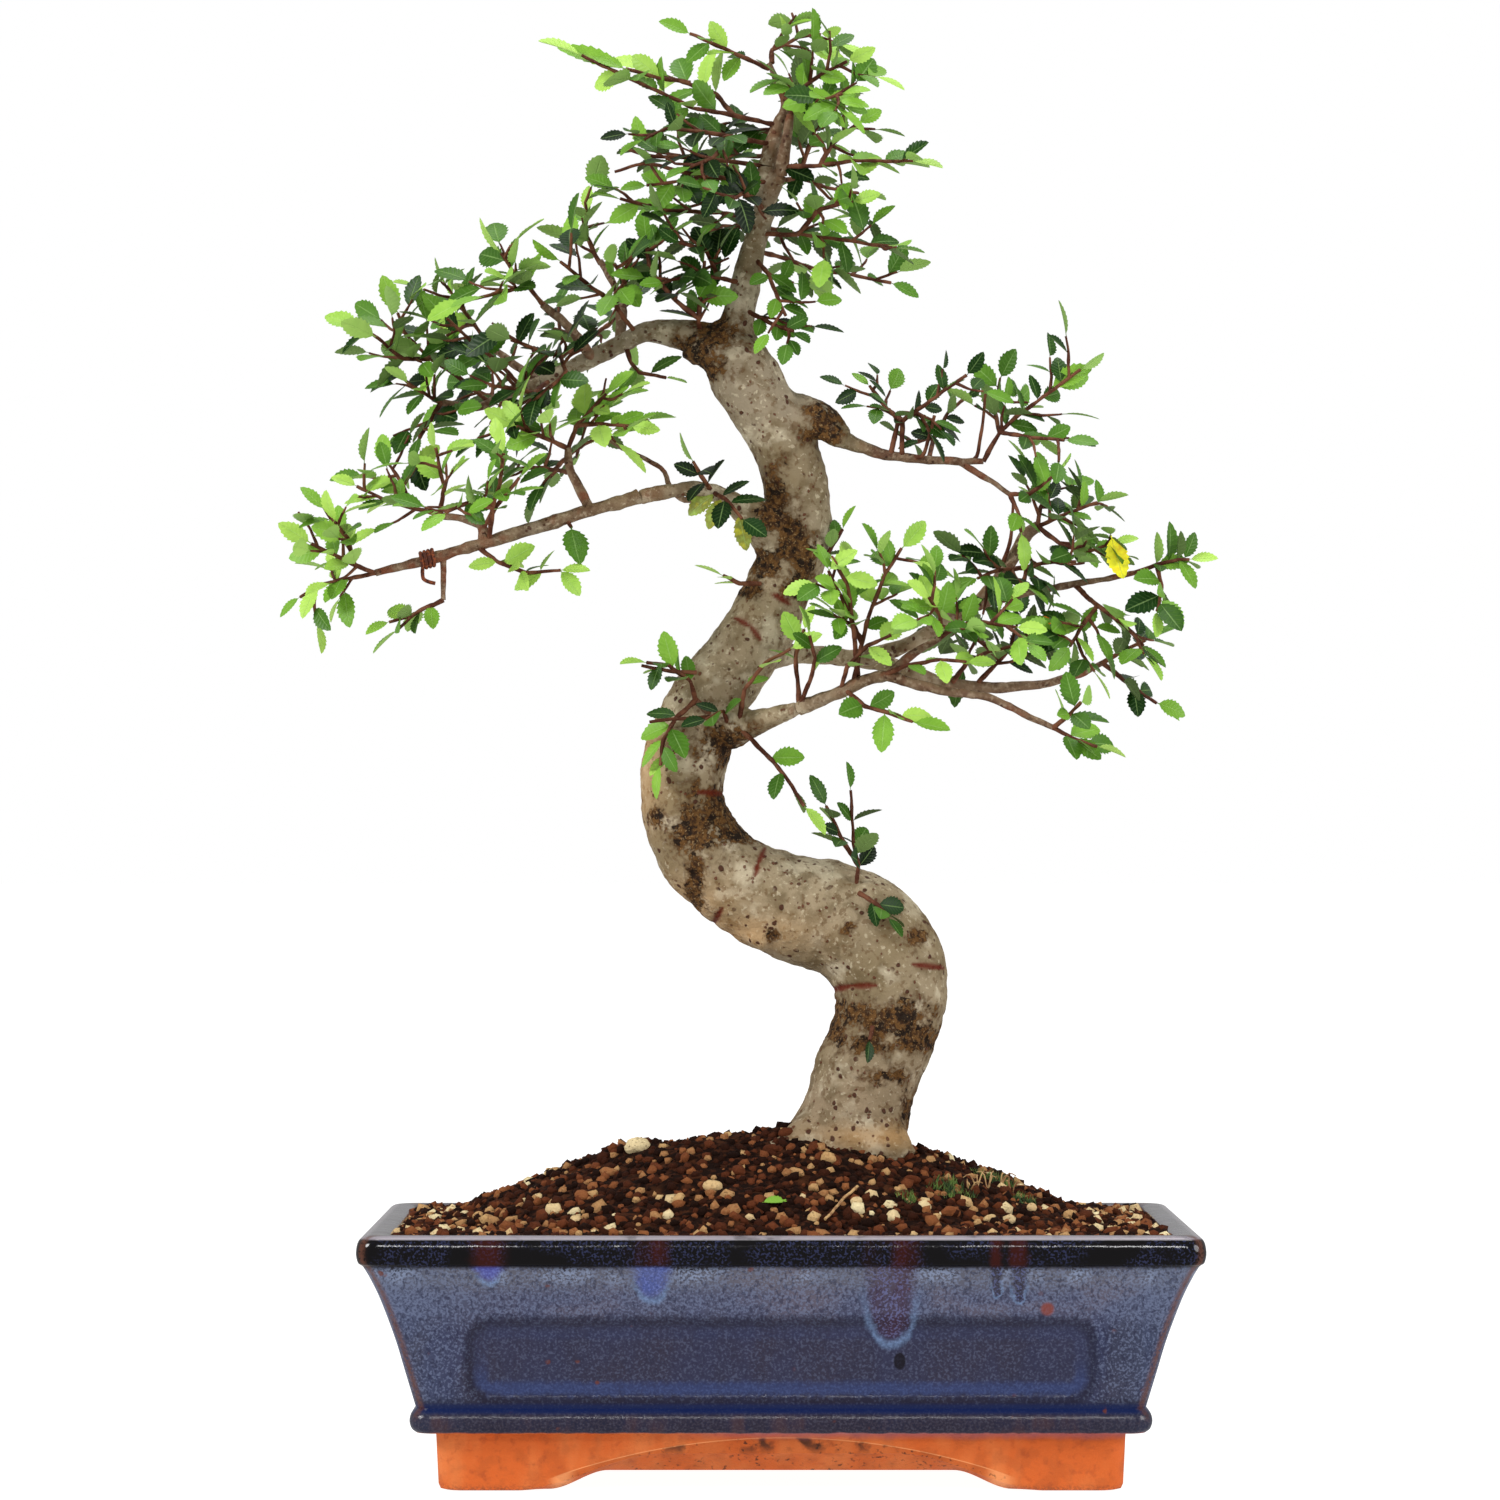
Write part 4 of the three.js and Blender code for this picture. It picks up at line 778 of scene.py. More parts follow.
class Crowd:
    MOST = 40000

    def __init__(self):
        self.places = np.zeros((self.MOST, 3))
        self.radii = np.zeros(self.MOST)
        self.owners = np.zeros(self.MOST, int)
        self.count = 0

    def take(self, place, radius, owner):
        self.places[self.count] = place
        self.radii[self.count] = radius
        self.owners[self.count] = owner
        self.count += 1

    def take_along(self, stations, owner, spacing):
        for (start, first), (end, second) in zip(stations, stations[1:]):
            count = max(1, math.floor(float(np.linalg.norm(end - start)) / spacing(first) + 0.5))
            for step in range(count):
                share = step / count
                self.take(start + (end - start) * share, first + (second - first) * share, owner)

    def is_clear(self, places, radius, owner):
        kept = slice(0, self.count)
        for place in places:
            apart = self.places[kept] - place
            distances = np.sqrt(np.einsum("ij,ij->i", apart, apart))
            near = (distances <= radius + self.radii[kept] + GAP) & (self.owners[kept] != owner)
            if near.any():
                return False
        return True


WOOD_OWNER = -1
LEAF_OWNER = -2
NOBODY = -3
WOOD_BALL_SPACING = 1.5
WOOD_BALL_SPACING_RATIO = 0.5
TWIG_BALL_SPACING = 2
LEAF_BALL_SHARES = (0.3, 0.58, 0.86)
# Where along an added leaf its place is tested against the windows and the box
HELD_SHARES = (0.5, 1)

TRIES = 14
FACING_SPREAD = 0.9
FACING_OUTWARD = 0.6
FACING_LIGHT = np.array([0, -0.3, 0.5])
LEAFY_SHARE = 0.82
TIP_SPREAD = 0.6
LATERAL_ANGLE = 0.95
LATERAL_SPREAD = 0.7
SHORTEST_SHARE = 0.82
LENGTH_RANGE = 0.4
OVERHANG = 1
LOOSE_SPREAD = 1.7
# How much more than the others the added leaves look up
LOOSE_LIFT = 0.7
# Where the photo shows bare wood: x, z and radius in the middle plane.
# No leaf is added there before this depth
WINDOW_DEPTH = 8
WINDOWS = [
    (6, 469, 6), (4, 459, 8), (2, 447, 10), (0, 435, 11), (-2, 424, 10), (-20, 420, 7),
    (-31, 419, 8), (-43, 415, 8), (-54, 410, 8), (-66, 404, 7), (-76, 399, 6), (66, 371, 6), (50, 373, 6),
    (24, 281, 6), (110, 345, 5), (98, 334, 6), (-45, 359, 7), (-66, 352, 7), (-88, 345, 6),
]


def point_along(places, share):
    reach = share * (len(places) - 1)
    index = min(math.floor(reach), len(places) - 2)
    place = places[index] + (places[index + 1] - places[index]) * (reach - index)
    return place, unit(places[index + 1] - places[index])


def facing(place, draw, spread=FACING_SPREAD, lift=0.0):
    """Where a leaf's upper face looks: to the light, out from the tree, and a little at random."""
    outward = unit(np.array([place[0], place[1], 0.0]))
    loose = np.array([draw() - 0.5, draw() - 0.5, draw() - 0.5])
    return unit(loose * spread + outward * FACING_OUTWARD + FACING_LIGHT + np.array([0.0, 0.0, lift]))


def leaf_turn(rank, draw):
    if rank == 0:
        return (draw() - 0.5) * TIP_SPREAD
    side = 1 if rank % 2 == 0 else -1
    return side * (LATERAL_ANGLE + (draw() - 0.5) * LATERAL_SPREAD)


def may_hold(place):
    """Whether an added leaf may lie there: in the box of the solids, and not before an open window."""
    for low, value, high in zip(CAD_BOX[0], place, CAD_BOX[1]):
        if not low / MM - OVERHANG < value < high / MM + OVERHANG:
            return False
    seen = EYE + (place - EYE) * EYE[1] / (EYE[1] - place[1])
    before = place[1] < WINDOW_DEPTH
    return not before or all(math.hypot(seen[0] - x, seen[2] - z) > reach for x, z, reach in WINDOWS)


def grow_leaf(crowd, place, direction, rank, size, owner, draw, ball_ratio=LEAF_BALL_RATIO, spaced=True):
    """One leaf at that place on a shoot, as base, along, normal and length, or None where it has no room."""
    for _ in range(TRIES):
        hint = facing(place, draw) if spaced else facing(place, draw, LOOSE_SPREAD, LOOSE_LIFT)
        turn = leaf_turn(rank, draw)
        length = size * (SHORTEST_SHARE + LENGTH_RANGE * draw())
        sideways = unit(np.cross(direction, hint))
        along = unit(direction * math.cos(turn) + sideways * math.sin(turn))
        normal = square_to(along, hint)
        radius = ball_ratio * length
        balls = [place + along * share * length for share in LEAF_BALL_SHARES]
        if not spaced and not all(may_hold(place + along * length * share) for share in HELD_SHARES):
            continue
        if crowd.is_clear(balls, radius, owner) and (not spaced or crowd.is_clear(balls[1:], radius, NOBODY)):
            for ball in balls:
                crowd.take(ball, radius, LEAF_OWNER)
            return place, along, normal, length
    return None


# Leaf forms: serrated blades, one unit long, along +Y with the upper face up

TEETH = 7
PETIOLE_SHARE = 0.08
PETIOLE_HALF_WIDTH = 0.016
RIB_HALF_THICKNESS = 0.011
FIRST_TOOTH = 0.11
LAST_TOOTH = 0.96
TOOTH_PEAK = 0.78
TOOTH_DEPTH = 0.095
BLADE_SKEW = 0.95
BLADE_FULLNESS = 0.7
# How far each form droops, folds up at its edges and bends sideways
LEAF_FORMS = {
    "Flat_Leaf": (0.1, 0.2, 0.0), "Drooping_Leaf": (0.2, 0.12, 0.05), "Folded_Leaf": (0.06, 0.34, -0.04),
}


def blade_half_width(share):
    reach = (share - PETIOLE_SHARE) / (1 - PETIOLE_SHARE)
    return LEAF_WIDTH_RATIO / 2 * math.sin(math.pi * reach ** BLADE_SKEW) ** BLADE_FULLNESS


def leaf_form(name, droop, fold, bend):
    """A closed blade with a saw-toothed edge and a short stalk, folded along its rib."""
    rows = [(0.0, PETIOLE_HALF_WIDTH), (PETIOLE_SHARE, PETIOLE_HALF_WIDTH)]
    span = (LAST_TOOTH - FIRST_TOOTH) / TEETH
    for tooth in range(TEETH):
        notch = FIRST_TOOTH + tooth * span
        peak = notch + TOOTH_PEAK * span
        rows.append((notch, blade_half_width(notch) * (1 - TOOTH_DEPTH)))
        rows.append((peak, blade_half_width(peak) * (1 + TOOTH_DEPTH)))
    points, blade = [], []
    for share, width in rows:
        sideways = bend * share * share
        sag = -droop * share * share
        edge = sag + fold * width
        points += [
            (sideways - width, share, edge), (sideways, share, sag + RIB_HALF_THICKNESS),
            (sideways + width, share, edge), (sideways, share, sag - RIB_HALF_THICKNESS),
        ]
        blade += [(-1, share, 0), (0, share, 0), (1, share, 0), (0, share, 0)]
    tip = len(points)
    points.append((bend, 1.0, -droop))
    blade.append((0, 1, 0))
    faces, under = [(0, 3, 2, 1)], [0]
    for row in range(len(rows) - 1):
        left, top, right, bottom = (4 * row + corner for corner in range(4))
        faces += [
            (left, top, top + 4, left + 4), (top, right, right + 4, top + 4),
            (left, left + 4, bottom + 4, bottom), (bottom, bottom + 4, right + 4, right),
        ]
        under += [0, 0, 1, 1]
    left, top, right, bottom = (tip - 4 + corner for corner in range(4))
    faces += [(left, top, tip), (top, right, tip), (left, tip, bottom), (bottom, tip, right)]
    under += [0, 0, 1, 1]
    mesh = bpy.data.meshes.new(name)
    mesh.from_pydata(points, [], faces)
    mesh.shade_smooth()
    give(mesh, "blade", blade, "FLOAT_VECTOR")
    give(mesh, "under", under, domain="FACE")
    outline = {index for index in range(tip) if index % 2 == 0} | {tip}
    for edge in mesh.edges:
        edge.use_edge_sharp = set(edge.vertices) <= outline
    return placed(mesh, name)


def leafy_growth():
    """Twigs along the base's edges and a leaf on each of its leaf points."""
    growth = Growth("leaves_on_twigs", {
        "Twig Sides": "Int", "Twig Step": "Float", "Twig Knots": "Float", "Twig Wander": "Float",
        "Flat Leaf": "Object", "Drooping Leaf": "Object", "Folded Leaf": "Object",
        "Leaf Finish": "Material", "Twig Finish": "Material",
    })
    split = growth.geo("SeparateGeometry", growth["Geometry"], growth.named("is_leaf", "BOOLEAN"))
    forms = growth.forms("Flat Leaf", "Drooping Leaf", "Folded Leaf")
    turned = growth.node(
        "FunctionNodeAxesToRotation", {"primary_axis": "Z", "secondary_axis": "Y"},
        {0: growth.named("leaf_normal", "FLOAT_VECTOR"), 1: growth.named("leaf_along", "FLOAT_VECTOR")},
    )
    leaves = growth.on_points(
        growth.geo("MeshToPoints", split), forms, growth.named("form", "INT"), turned,
        growth.named("leaf_scale", "FLOAT_VECTOR"),
    )
    leaves = growth.dressed(leaves, "Leaf Finish")
    route = growth.geo("MeshToCurve", split.other(1))
    route = wandering(growth, route, growth["Twig Step"], growth["Twig Wander"])
    twigs = tubes(growth, route, growth["Twig Sides"], growth["Twig Knots"])
    twigs = growth.dressed(twigs, "Twig Finish")
    growth.end(growth.geo("JoinGeometry", [leaves, twigs]))
    return growth


KNOT_SIZE = 4
DRIFT_SIZE = 9


def wandering(growth, route, step, wander):
    """The route in even steps, each moved a little off its line."""
    route = growth.geo("ResampleCurve", route, None, None, step, mode="LENGTH")
    return growth.moved(route, growth.scaled(growth.drift(DRIFT_SIZE), wander))


def tubes(growth, route, sides, knots):
    """Round wood along the route, as thick as the attribute says, with swellings."""
    swelling = (growth.noise(KNOT_SIZE, 2) - 0.5) * knots + 1
    ring = growth.geo("CurvePrimitiveCircle", sides, None, None, None, 1.0)
    made = growth.geo("CurveToMesh", route, ring, growth.named("thickness") * swelling, True)
    return growth.geo("SetShadeSmooth", made, None, True)


def wood_growth():
    """Round wood through the base's polylines, on smooth curves that wander a little."""
    growth = Growth("wood_along_routes", {
        "Sides": "Int", "Step": "Float", "Wander": "Float", "Knots": "Float", "Finish": "Material",
    })
    route = growth.geo("MeshToCurve", growth["Geometry"])
    route = growth.geo("CurveSplineType", route, spline_type="CATMULL_ROM")
    route = wandering(growth, route, growth["Step"], growth["Wander"])
    wood = tubes(growth, route, growth["Sides"], growth["Knots"])
    growth.end(growth.dressed(wood))
    return growth


def polylines(routes):
    """The points of all routes, the wood's thickness at each, and the edges between them."""
    points, thickness, edges = [], [], []
    for stations in routes:
        first = len(points)
        points += [place for place, _ in stations]
        thickness += [radius * MM for _, radius in stations]
        edges += [(index, index + 1) for index in range(first, len(points) - 1)]
    return points, thickness, edges


def wood_base(name, routes):
    points, thickness, edges = polylines(routes)
    mesh = mesh_of(name, points, edges=edges)
    give(mesh, "thickness", thickness)
    return placed(mesh, name)


def grow_wood(growth, name, routes, **settings):
    """A piece of round wood along those routes."""
    return growth.run(wood_base(name + "_routes", routes), name, **settings)


# Materials of the plant

VEIN_SLANT = 0.16
VEIN_RATE = 52


def leaf_paint():
    """Serrated leaves: the tone runs from old dark green to young green, then olive, yellow and dead."""
    paint = Paint("elm_leaf")
    tone = paint.attribute("tone")
    under = paint.attribute("under")
    sideways, along, _ = paint.parts(paint.attribute("blade", 1))
    across = sideways.absolute()
    course = (along - across * VEIN_SLANT) * VEIN_RATE
    vein = course.math("SINE").step(0.6, 1.0) * across.step(1.0, 0.7)
    rib = across.step(0.09, 0.03)
    mottle = paint.noise(3.2, 2)
    green = paint.ramp(tone + (mottle - 0.5) * 0.1, [
        (0.0, rgb(9, 22, 9)), (0.24, rgb(28, 57, 18)), (0.46, rgb(76, 118, 36)),
        (0.68, rgb(118, 164, 56)), (0.82, rgb(166, 204, 90)), (0.87, rgb(122, 124, 54)),
        (0.93, rgb(250, 244, 52)), (1.0, rgb(200, 72, 28)),
    ])
    pale = paint.mix(0.45, green, rgb(176, 206, 124))
    colour = paint.layers(
        green, (vein * 0.05 + rib * 0.25, rgb(168, 206, 122)),
        (under * (tone.step(0.05, 0.45) * 0.5 + 0.3), pale),
    )
    height = (course + 1.5).math("SINE") * 0.02 - rib * 0.1
    roughness = under * 0.25 + 0.34 + mottle * 0.12
    return paint.finish(colour, roughness, height, Specular_IOR_Level=0.16)


def twig_paint():
    """Young wood: dark reddish brown with pale breathing pores."""
    paint = Paint("twig_bark")
    patchy = paint.noise(6, 3)
    pores = paint.cells(1.3).step(0.24, 0.12)
    colour = paint.layers(
        rgb(74, 40, 26), (patchy.step(0.42, 0.62), rgb(108, 68, 48)), (pores * 0.35, rgb(140, 108, 84)),
    )
    return paint.finish(colour, 0.7, pores * 0.12 + paint.noise(1.2) * 0.15, Specular_IOR_Level=0.2)


def bark_paint():
    """Grey-beige bark with dark pores, flaking brown patches and rusty scars, browner on young wood."""
    paint = Paint("elm_bark")
    bent = paint.bent(5, 1.6)
    flake = paint.attribute("flake")
    young = paint.attribute("young")
    cloud = paint.noise(30, 4)
    rough = paint.noise(7, 5)
    fine = paint.noise(1.8, 5)
    grain = paint.noise(0.8, 3)
    pore = paint.cells(5.4, place=bent).step(0.2, 0.13) * paint.noise(16, 1).step(0.38, 0.46)
    small_pore = paint.cells(3.1, place=bent).step(0.23, 0.15) * rough.step(0.42, 0.54)
    edge = flake + (rough - 0.5) * 1.9 + (fine - 0.5) * 1.6
    worn = edge.step(0.46, 0.66) * flake.step(0.06, 0.22)
    around = edge.step(0.1, 0.6) * flake.step(0.02, 0.16)
    crumbly = paint.layers(
        rgb(56, 36, 20), (fine.step(0.42, 0.58), rgb(98, 68, 36)),
        (paint.noise(3.4, 3).step(0.5, 0.6), rgb(32, 21, 14)),
        (grain.step(0.58, 0.7) * 0.7, rgb(150, 122, 84)),
    )
    _, _, height_up = paint.axes()
    old = paint.layers(
        rgb(149, 133, 107),
        (height_up.step(300, 400) * 0.7, rgb(131, 119, 101)),
        (height_up.step(168, 132) * 0.6, rgb(132, 112, 88)),
        (height_up.step(118, 104) * 0.5, rgb(150, 138, 120)),
        (height_up.step(458, 486) * 0.8, rgb(112, 74, 54)),
        (cloud.step(0.36, 0.64) * 0.8, rgb(114, 98, 70)),
        (rough.step(0.46, 0.66) * 0.6, rgb(92, 76, 50)),
        (paint.noise(12, 4).step(0.52, 0.66) * 0.5, rgb(198, 186, 160)),
        (paint.noise(2.6, 4).step(0.56, 0.64) * 0.6, rgb(92, 68, 42)),
        (fine.step(0.58, 0.68) * 0.4, rgb(206, 194, 166)),
        (paint.attribute("tan") * 0.45, rgb(188, 142, 88)),
        (around * 0.7, rgb(80, 56, 32)),
        (small_pore * 0.85, rgb(88, 46, 28)),
        (pore * 0.95, rgb(70, 38, 24)),
        (worn * 0.95, crumbly),
        (paint.attribute("scar") * rough.step(0.25, 0.45) * 0.95, rgb(92, 30, 2)),
    )
    fresh = paint.layers(
        rgb(116, 92, 72),
        (rough.step(0.4, 0.6) * 0.8, rgb(80, 52, 38)),
        (fine.step(0.45, 0.7) * 0.6, rgb(154, 134, 112)),
        (paint.noise(10, 3).step(0.54, 0.66) * 0.7, rgb(112, 60, 38)),
        (small_pore * 0.8, rgb(56, 32, 22)),
    )
    smooth = 1 - young
    height = pore * 0.5 * smooth + fine * 0.55 + rough * 0.3 + young * fine * 0.4
    height = height + small_pore * 0.3 + grain * 0.15
    height = height + worn * (paint.noise(2, 4) - 0.6) * 1.6
    roughness = 0.66 + worn * 0.2 + young * 0.06
    return paint.finish(paint.mix(young, old, fresh), roughness, height, Specular_IOR_Level=0.2)


def rust_paint():
    """Old training wire, rusted through."""
    paint = Paint("rusty_wire")
    scale = paint.noise(1.4, 5)
    colour = paint.layers(
        rgb(74, 34, 20), (scale.step(0.45, 0.6), rgb(128, 62, 26)), (scale.step(0.62, 0.7), rgb(46, 28, 22)),
    )
    return paint.finish(colour, 0.85, scale * 0.3)


# Leafy sprays

EXTRA_SHARES = (0.94, 0.8, 0.64, 0.48, 0.32)
EXTRA_BALL_RATIO = 0.1
EXTRA_SIZE = 1.05
SOLID_SEED = 1
TINT_SEED = 101
EXTRA_SEED = 500
SHOWN_LENGTH = 0.98
# Leaves are a little broader or narrower by turns, and those longer than this are lance-shaped
WIDTHS = (0.9, 1.04, 0.96, 1.1, 0.86)
LANCE_FROM = 20
LANCE_WIDTH = 0.52
SIDE_SHARES = (0.28, 0.5, 0.74, 0.9)
SIDE_LENGTH = 12
SIDE_LEAVES = 4
# The parts of the tree that are more open, with fewer leaves on each side twig
THIN_PARTS = ("high_left", "low_left", "high_right", "crown_left", "crown_right", "leader_")
THIN_SIDE_LEAVES = 2
SIDE_SEED = 900
SIDE_RADII = (0.65, 0.55, 0.4)
# A side twig's least turn from its shoot, the share of its length up to its bend, and the bend
SIDE_TURN = 0.7
SIDE_TURN_RANGE = 0.5
SIDE_HALF = 0.35
SIDE_HALF_RANGE = 0.3
SIDE_BEND = 0.7
TWIG_SIDES = 6
TWIG_STEP = 0.0012
TWIG_KNOTS = 0.9
TWIG_WANDER = 0.0013
TWIG_SWELL = 1.05
OLDEST_TONE = 0.03
YOUNGEST_TONE = 0.8
TONE_DROP = 0.03
TONE_SPREAD = 0.46
TIP_YOUTH = 0.14
# How much older than the spray's own tone the added leaves are, on its shoots and on its side twigs
SHOOT_AGE = 0.06
SIDE_AGE = 0.08
# Sprays that stay open, without side twigs
OPEN_SPRAYS = {
    "trunk_sprout", "front_left", "front_right_hang", "low_left_drop_end", "crown_long_left",
    "low_left_front", "low_left_pale", "high_right_droop_end", "back_right_end", "long_right_end",
    "front_right_end", "high_right_rear", "crown_tip_left",
}
# Sprays whose leaves are shown smaller or larger than the rest, as the photo has them
LEAF_SHARES = {
    "high_right_front": 0.8, "high_right_rear": 0.8, "high_right_end": 0.88, "mid_right_end": 0.9,
    "front_right_upright": 0.9, "front_right_rise_end": 0.9, "long_right_under": 0.9, "leader_foot": 0.9,
}
# Single leaves: x, z of the tip of the stalk, direction in x and z, length and tone
SINGLE_LEAVES = [
    (131, 347, 0.25, -1, 17, 0.93), (110.6, 320, -0.2, -1, 8, 1.0), (-8, 362, -0.5, -1, 13, 0.87),
    (-13, 358, -1, -0.7, 13, 0.86), (-3, 354, 0.3, -1, 14, 0.87), (-75, 333, -0.9, -0.5, 13, 0.78),
    (-65, 333, 0.6, -0.8, 12, 0.76), (-95, 326, -1, -0.1, 11, 0.78), (150, 333, 1, 0.15, 12, 0.6),
    (28, 333, 0.9, 0.6, 13, 0.8), (25, 329, -0.8, -0.2, 13, 0.8), (40, 331, 1, -0.2, 13, 0.78),
    (118, 266, 0.9, -0.7, 13, 0.5), (146, 277, 1, -0.3, 12, 0.62), (-46, 516, -1, 0.38, 27, 0.66),
    (112, 398, 1, 0.5, 18, 0.66), (31, 507, -1, -0.15, 20, 0.66), (12, 488, -1, -0.2, 14, 0.4),
    (11, 481, 0.9, -0.4, 13, 0.12), (14, 496, 0.8, 0.2, 14, 0.5), (7, 476, -0.9, -0.5, 13, 0.1),
    (4, 494, -0.8, -0.6, 14, 0.3), (20, 478, -0.4, -1, 12, 0.25),
]
SINGLE_SEED = 1300
SINGLE_FORWARD = 0.7
SINGLE_SWAY = 0.3
# Where a single leaf's upper face looks, with the range of its sideways turn first
SINGLE_FACING = (0.6, -1.2, 0.7)
# Where the fallen leaf lies, in x and z of the middle plane
FALLEN_LEAF = (9.6, 96)
FALLEN_LENGTH = 10
FALLEN_LIFT = 2.0
FALLEN_FACING = (0.1, -0.55, 1.0)
FALLEN_DIRECTION = (1.0, 0.3, 0.1)
FALLEN_TONE = 0.66


def leaf_tone(base, rank, draw):
    """Tip leaves are younger and brighter than those behind them."""
    young = TIP_YOUTH if rank == 0 else 0.0
    tone = base + young - TONE_DROP + (draw() - 0.5) * TONE_SPREAD
    return min(max(tone, OLDEST_TONE), YOUNGEST_TONE)


def leaf_scale(index, length, share):
    """How wide, long and thick a leaf is shown, in metres."""
    shown = length * SHOWN_LENGTH * share * MM
    width = LANCE_WIDTH if length > LANCE_FROM else WIDTHS[index % len(WIDTHS)]
    return shown * width, shown, shown


def spray_base(name, routes, leaves, share=1.0):
    """The base of one spray: edges for its shoots and a point with axes for each leaf."""
    points, thickness, edges = polylines(routes)
    twigs = len(points)
    points += [leaf[0] for leaf, _ in leaves]
    mesh = mesh_of(name, points, edges=edges)
    none = [(0.0, 0.0, 1.0)] * twigs
    give(mesh, "thickness", [TWIG_SWELL * each for each in thickness] + [0.0] * len(leaves))
    give(mesh, "is_leaf", [False] * twigs + [True] * len(leaves), "BOOLEAN")
    give(mesh, "leaf_along", none + [tuple(leaf[1]) for leaf, _ in leaves], "FLOAT_VECTOR")
    give(mesh, "leaf_normal", none + [tuple(leaf[2]) for leaf, _ in leaves], "FLOAT_VECTOR")
    scales = [leaf_scale(index, leaf[3], share) for index, (leaf, _) in enumerate(leaves)]
    give(mesh, "leaf_scale", [(0.0, 0.0, 0.0)] * twigs + scales, "FLOAT_VECTOR")
    give(mesh, "tone", [0.0] * twigs + [tone for _, tone in leaves])
    give(mesh, "form", [0] * twigs + [index % len(LEAF_FORMS) for index in range(len(leaves))], "INT")
    return placed(mesh, name)


def wood_spacing(radius):
    return max(WOOD_BALL_SPACING, radius * WOOD_BALL_SPACING_RATIO)


def twig_spacing(radius):
    return TWIG_BALL_SPACING


def spaced_shares(count):
    """Where the leaves of a shoot sit, from its tip inwards."""
    return [1 - LEAFY_SHARE * rank / count for rank in range(count)]


def claim_wood(crowd):
    """Takes the room of the wood and of the twigs of all sprays."""
    for route in [TRUNK, *BRANCHES.values()]:
        crowd.take_along(stations_of(route), WOOD_OWNER, wood_spacing)
    for owner, spray in enumerate(SPRAYS.values()):
        for route in spray.shoots:
            crowd.take_along(twig_stations(route), owner, twig_spacing)


def leaves_of_solids(crowd):
    """The leaves that the part's solids have, found by the same rule and the same draws."""
    grown = {}
    for owner, (name, spray) in enumerate(SPRAYS.items()):
        draw = seeded_draw(SOLID_SEED + owner)
        tint = seeded_draw(TINT_SEED + owner)
        leaves = []
        for route, count in zip(spray.shoots, spray.leaves):
            places = places_of(twig_stations(route))
            for rank, share in enumerate(spaced_shares(count)):
                place, direction = point_along(places, share)
                leaf = grow_leaf(crowd, place, direction, rank, spray.size, owner, draw)
                if leaf:
                    leaves.append((leaf, leaf_tone(spray.tone, rank, tint)))
        grown[name] = leaves
    return grown


def leaves_at(crowd, places, shares, size, owner, tone, draw):
    """Leaves at those shares of a shoot, packed closer than the solids allow."""
    leaves = []
    for rank, share in enumerate(shares):
        place, direction = point_along(places, share)
        leaf = grow_leaf(crowd, place, direction, rank, size, owner, draw, EXTRA_BALL_RATIO, False)
        if leaf:
            leaves.append((leaf, leaf_tone(tone, rank, draw)))
    return leaves


def side_twigs(places, draw):
    """Short twigs that leave a shoot to the left and to the right by turns."""
    twigs = []
    for rank, share in enumerate(SIDE_SHARES):
        place, direction = point_along(places, share)
        sideways = unit(np.cross(direction, facing(place, draw)))
        turn = (1 if rank % 2 else -1) * (SIDE_TURN + SIDE_TURN_RANGE * draw())
        heading = unit(direction * math.cos(turn) + sideways * math.sin(turn))
        half = SIDE_LENGTH * (SIDE_HALF + SIDE_HALF_RANGE * draw())
        bend = np.array([draw() - 0.5, draw() - 0.5, draw() - 0.4]) * SIDE_BEND
        middle = place + heading * half
        twigs.append(list(zip((place, middle, middle + unit(heading + bend) * half), SIDE_RADII)))
    return twigs


def fill_spray(crowd, name, spray, owner):
    """The side twigs of a spray and the leaves that the solids leave out, on them and on its shoots."""
    draw = seeded_draw(EXTRA_SEED + owner)
    side_draw = seeded_draw(SIDE_SEED + owner)
    tone, size = spray.tone, spray.size * EXTRA_SIZE
    thin = name.startswith(THIN_PARTS)
    shares = spaced_shares(THIN_SIDE_LEAVES if thin else SIDE_LEAVES)
    routes, leaves = [], []
    for route in spray.shoots:
        places = places_of(twig_stations(route))
        leaves += leaves_at(crowd, places, EXTRA_SHARES[thin:], size, owner, tone - SHOOT_AGE, draw)
        for twig in [] if name in OPEN_SPRAYS else side_twigs(places, side_draw):
            grown = leaves_at(crowd, places_of(twig), shares, size, owner, tone - SIDE_AGE, side_draw)
            if grown:
                routes.append(twig)
                leaves += grown
    return routes, leaves


def sprout_leaves(crowd, sprout, owner, routes):
    """The leaves of a sprout. Each of its shoots takes its room before it bears leaves."""
    draw = seeded_draw(EXTRA_SEED + owner)
    leaves = []
    for stations, count in zip(routes, sprout.leaves):
        crowd.take_along(stations, owner, twig_spacing)
        places, shares = places_of(stations), spaced_shares(count)
        leaves += leaves_at(crowd, places, shares, sprout.size, owner, sprout.tone, draw)
    return leaves


def nearest_twig(places, x, z):
    """The place on the twigs that is seen nearest to x, z of the middle plane."""
    reach = -EYE[1] / (places[:, 1] - EYE[1])
    seen = EYE + (places - EYE) * reach[:, None]
    return places[np.argmin((seen[:, 0] - x) ** 2 + (seen[:, 2] - z) ** 2)]


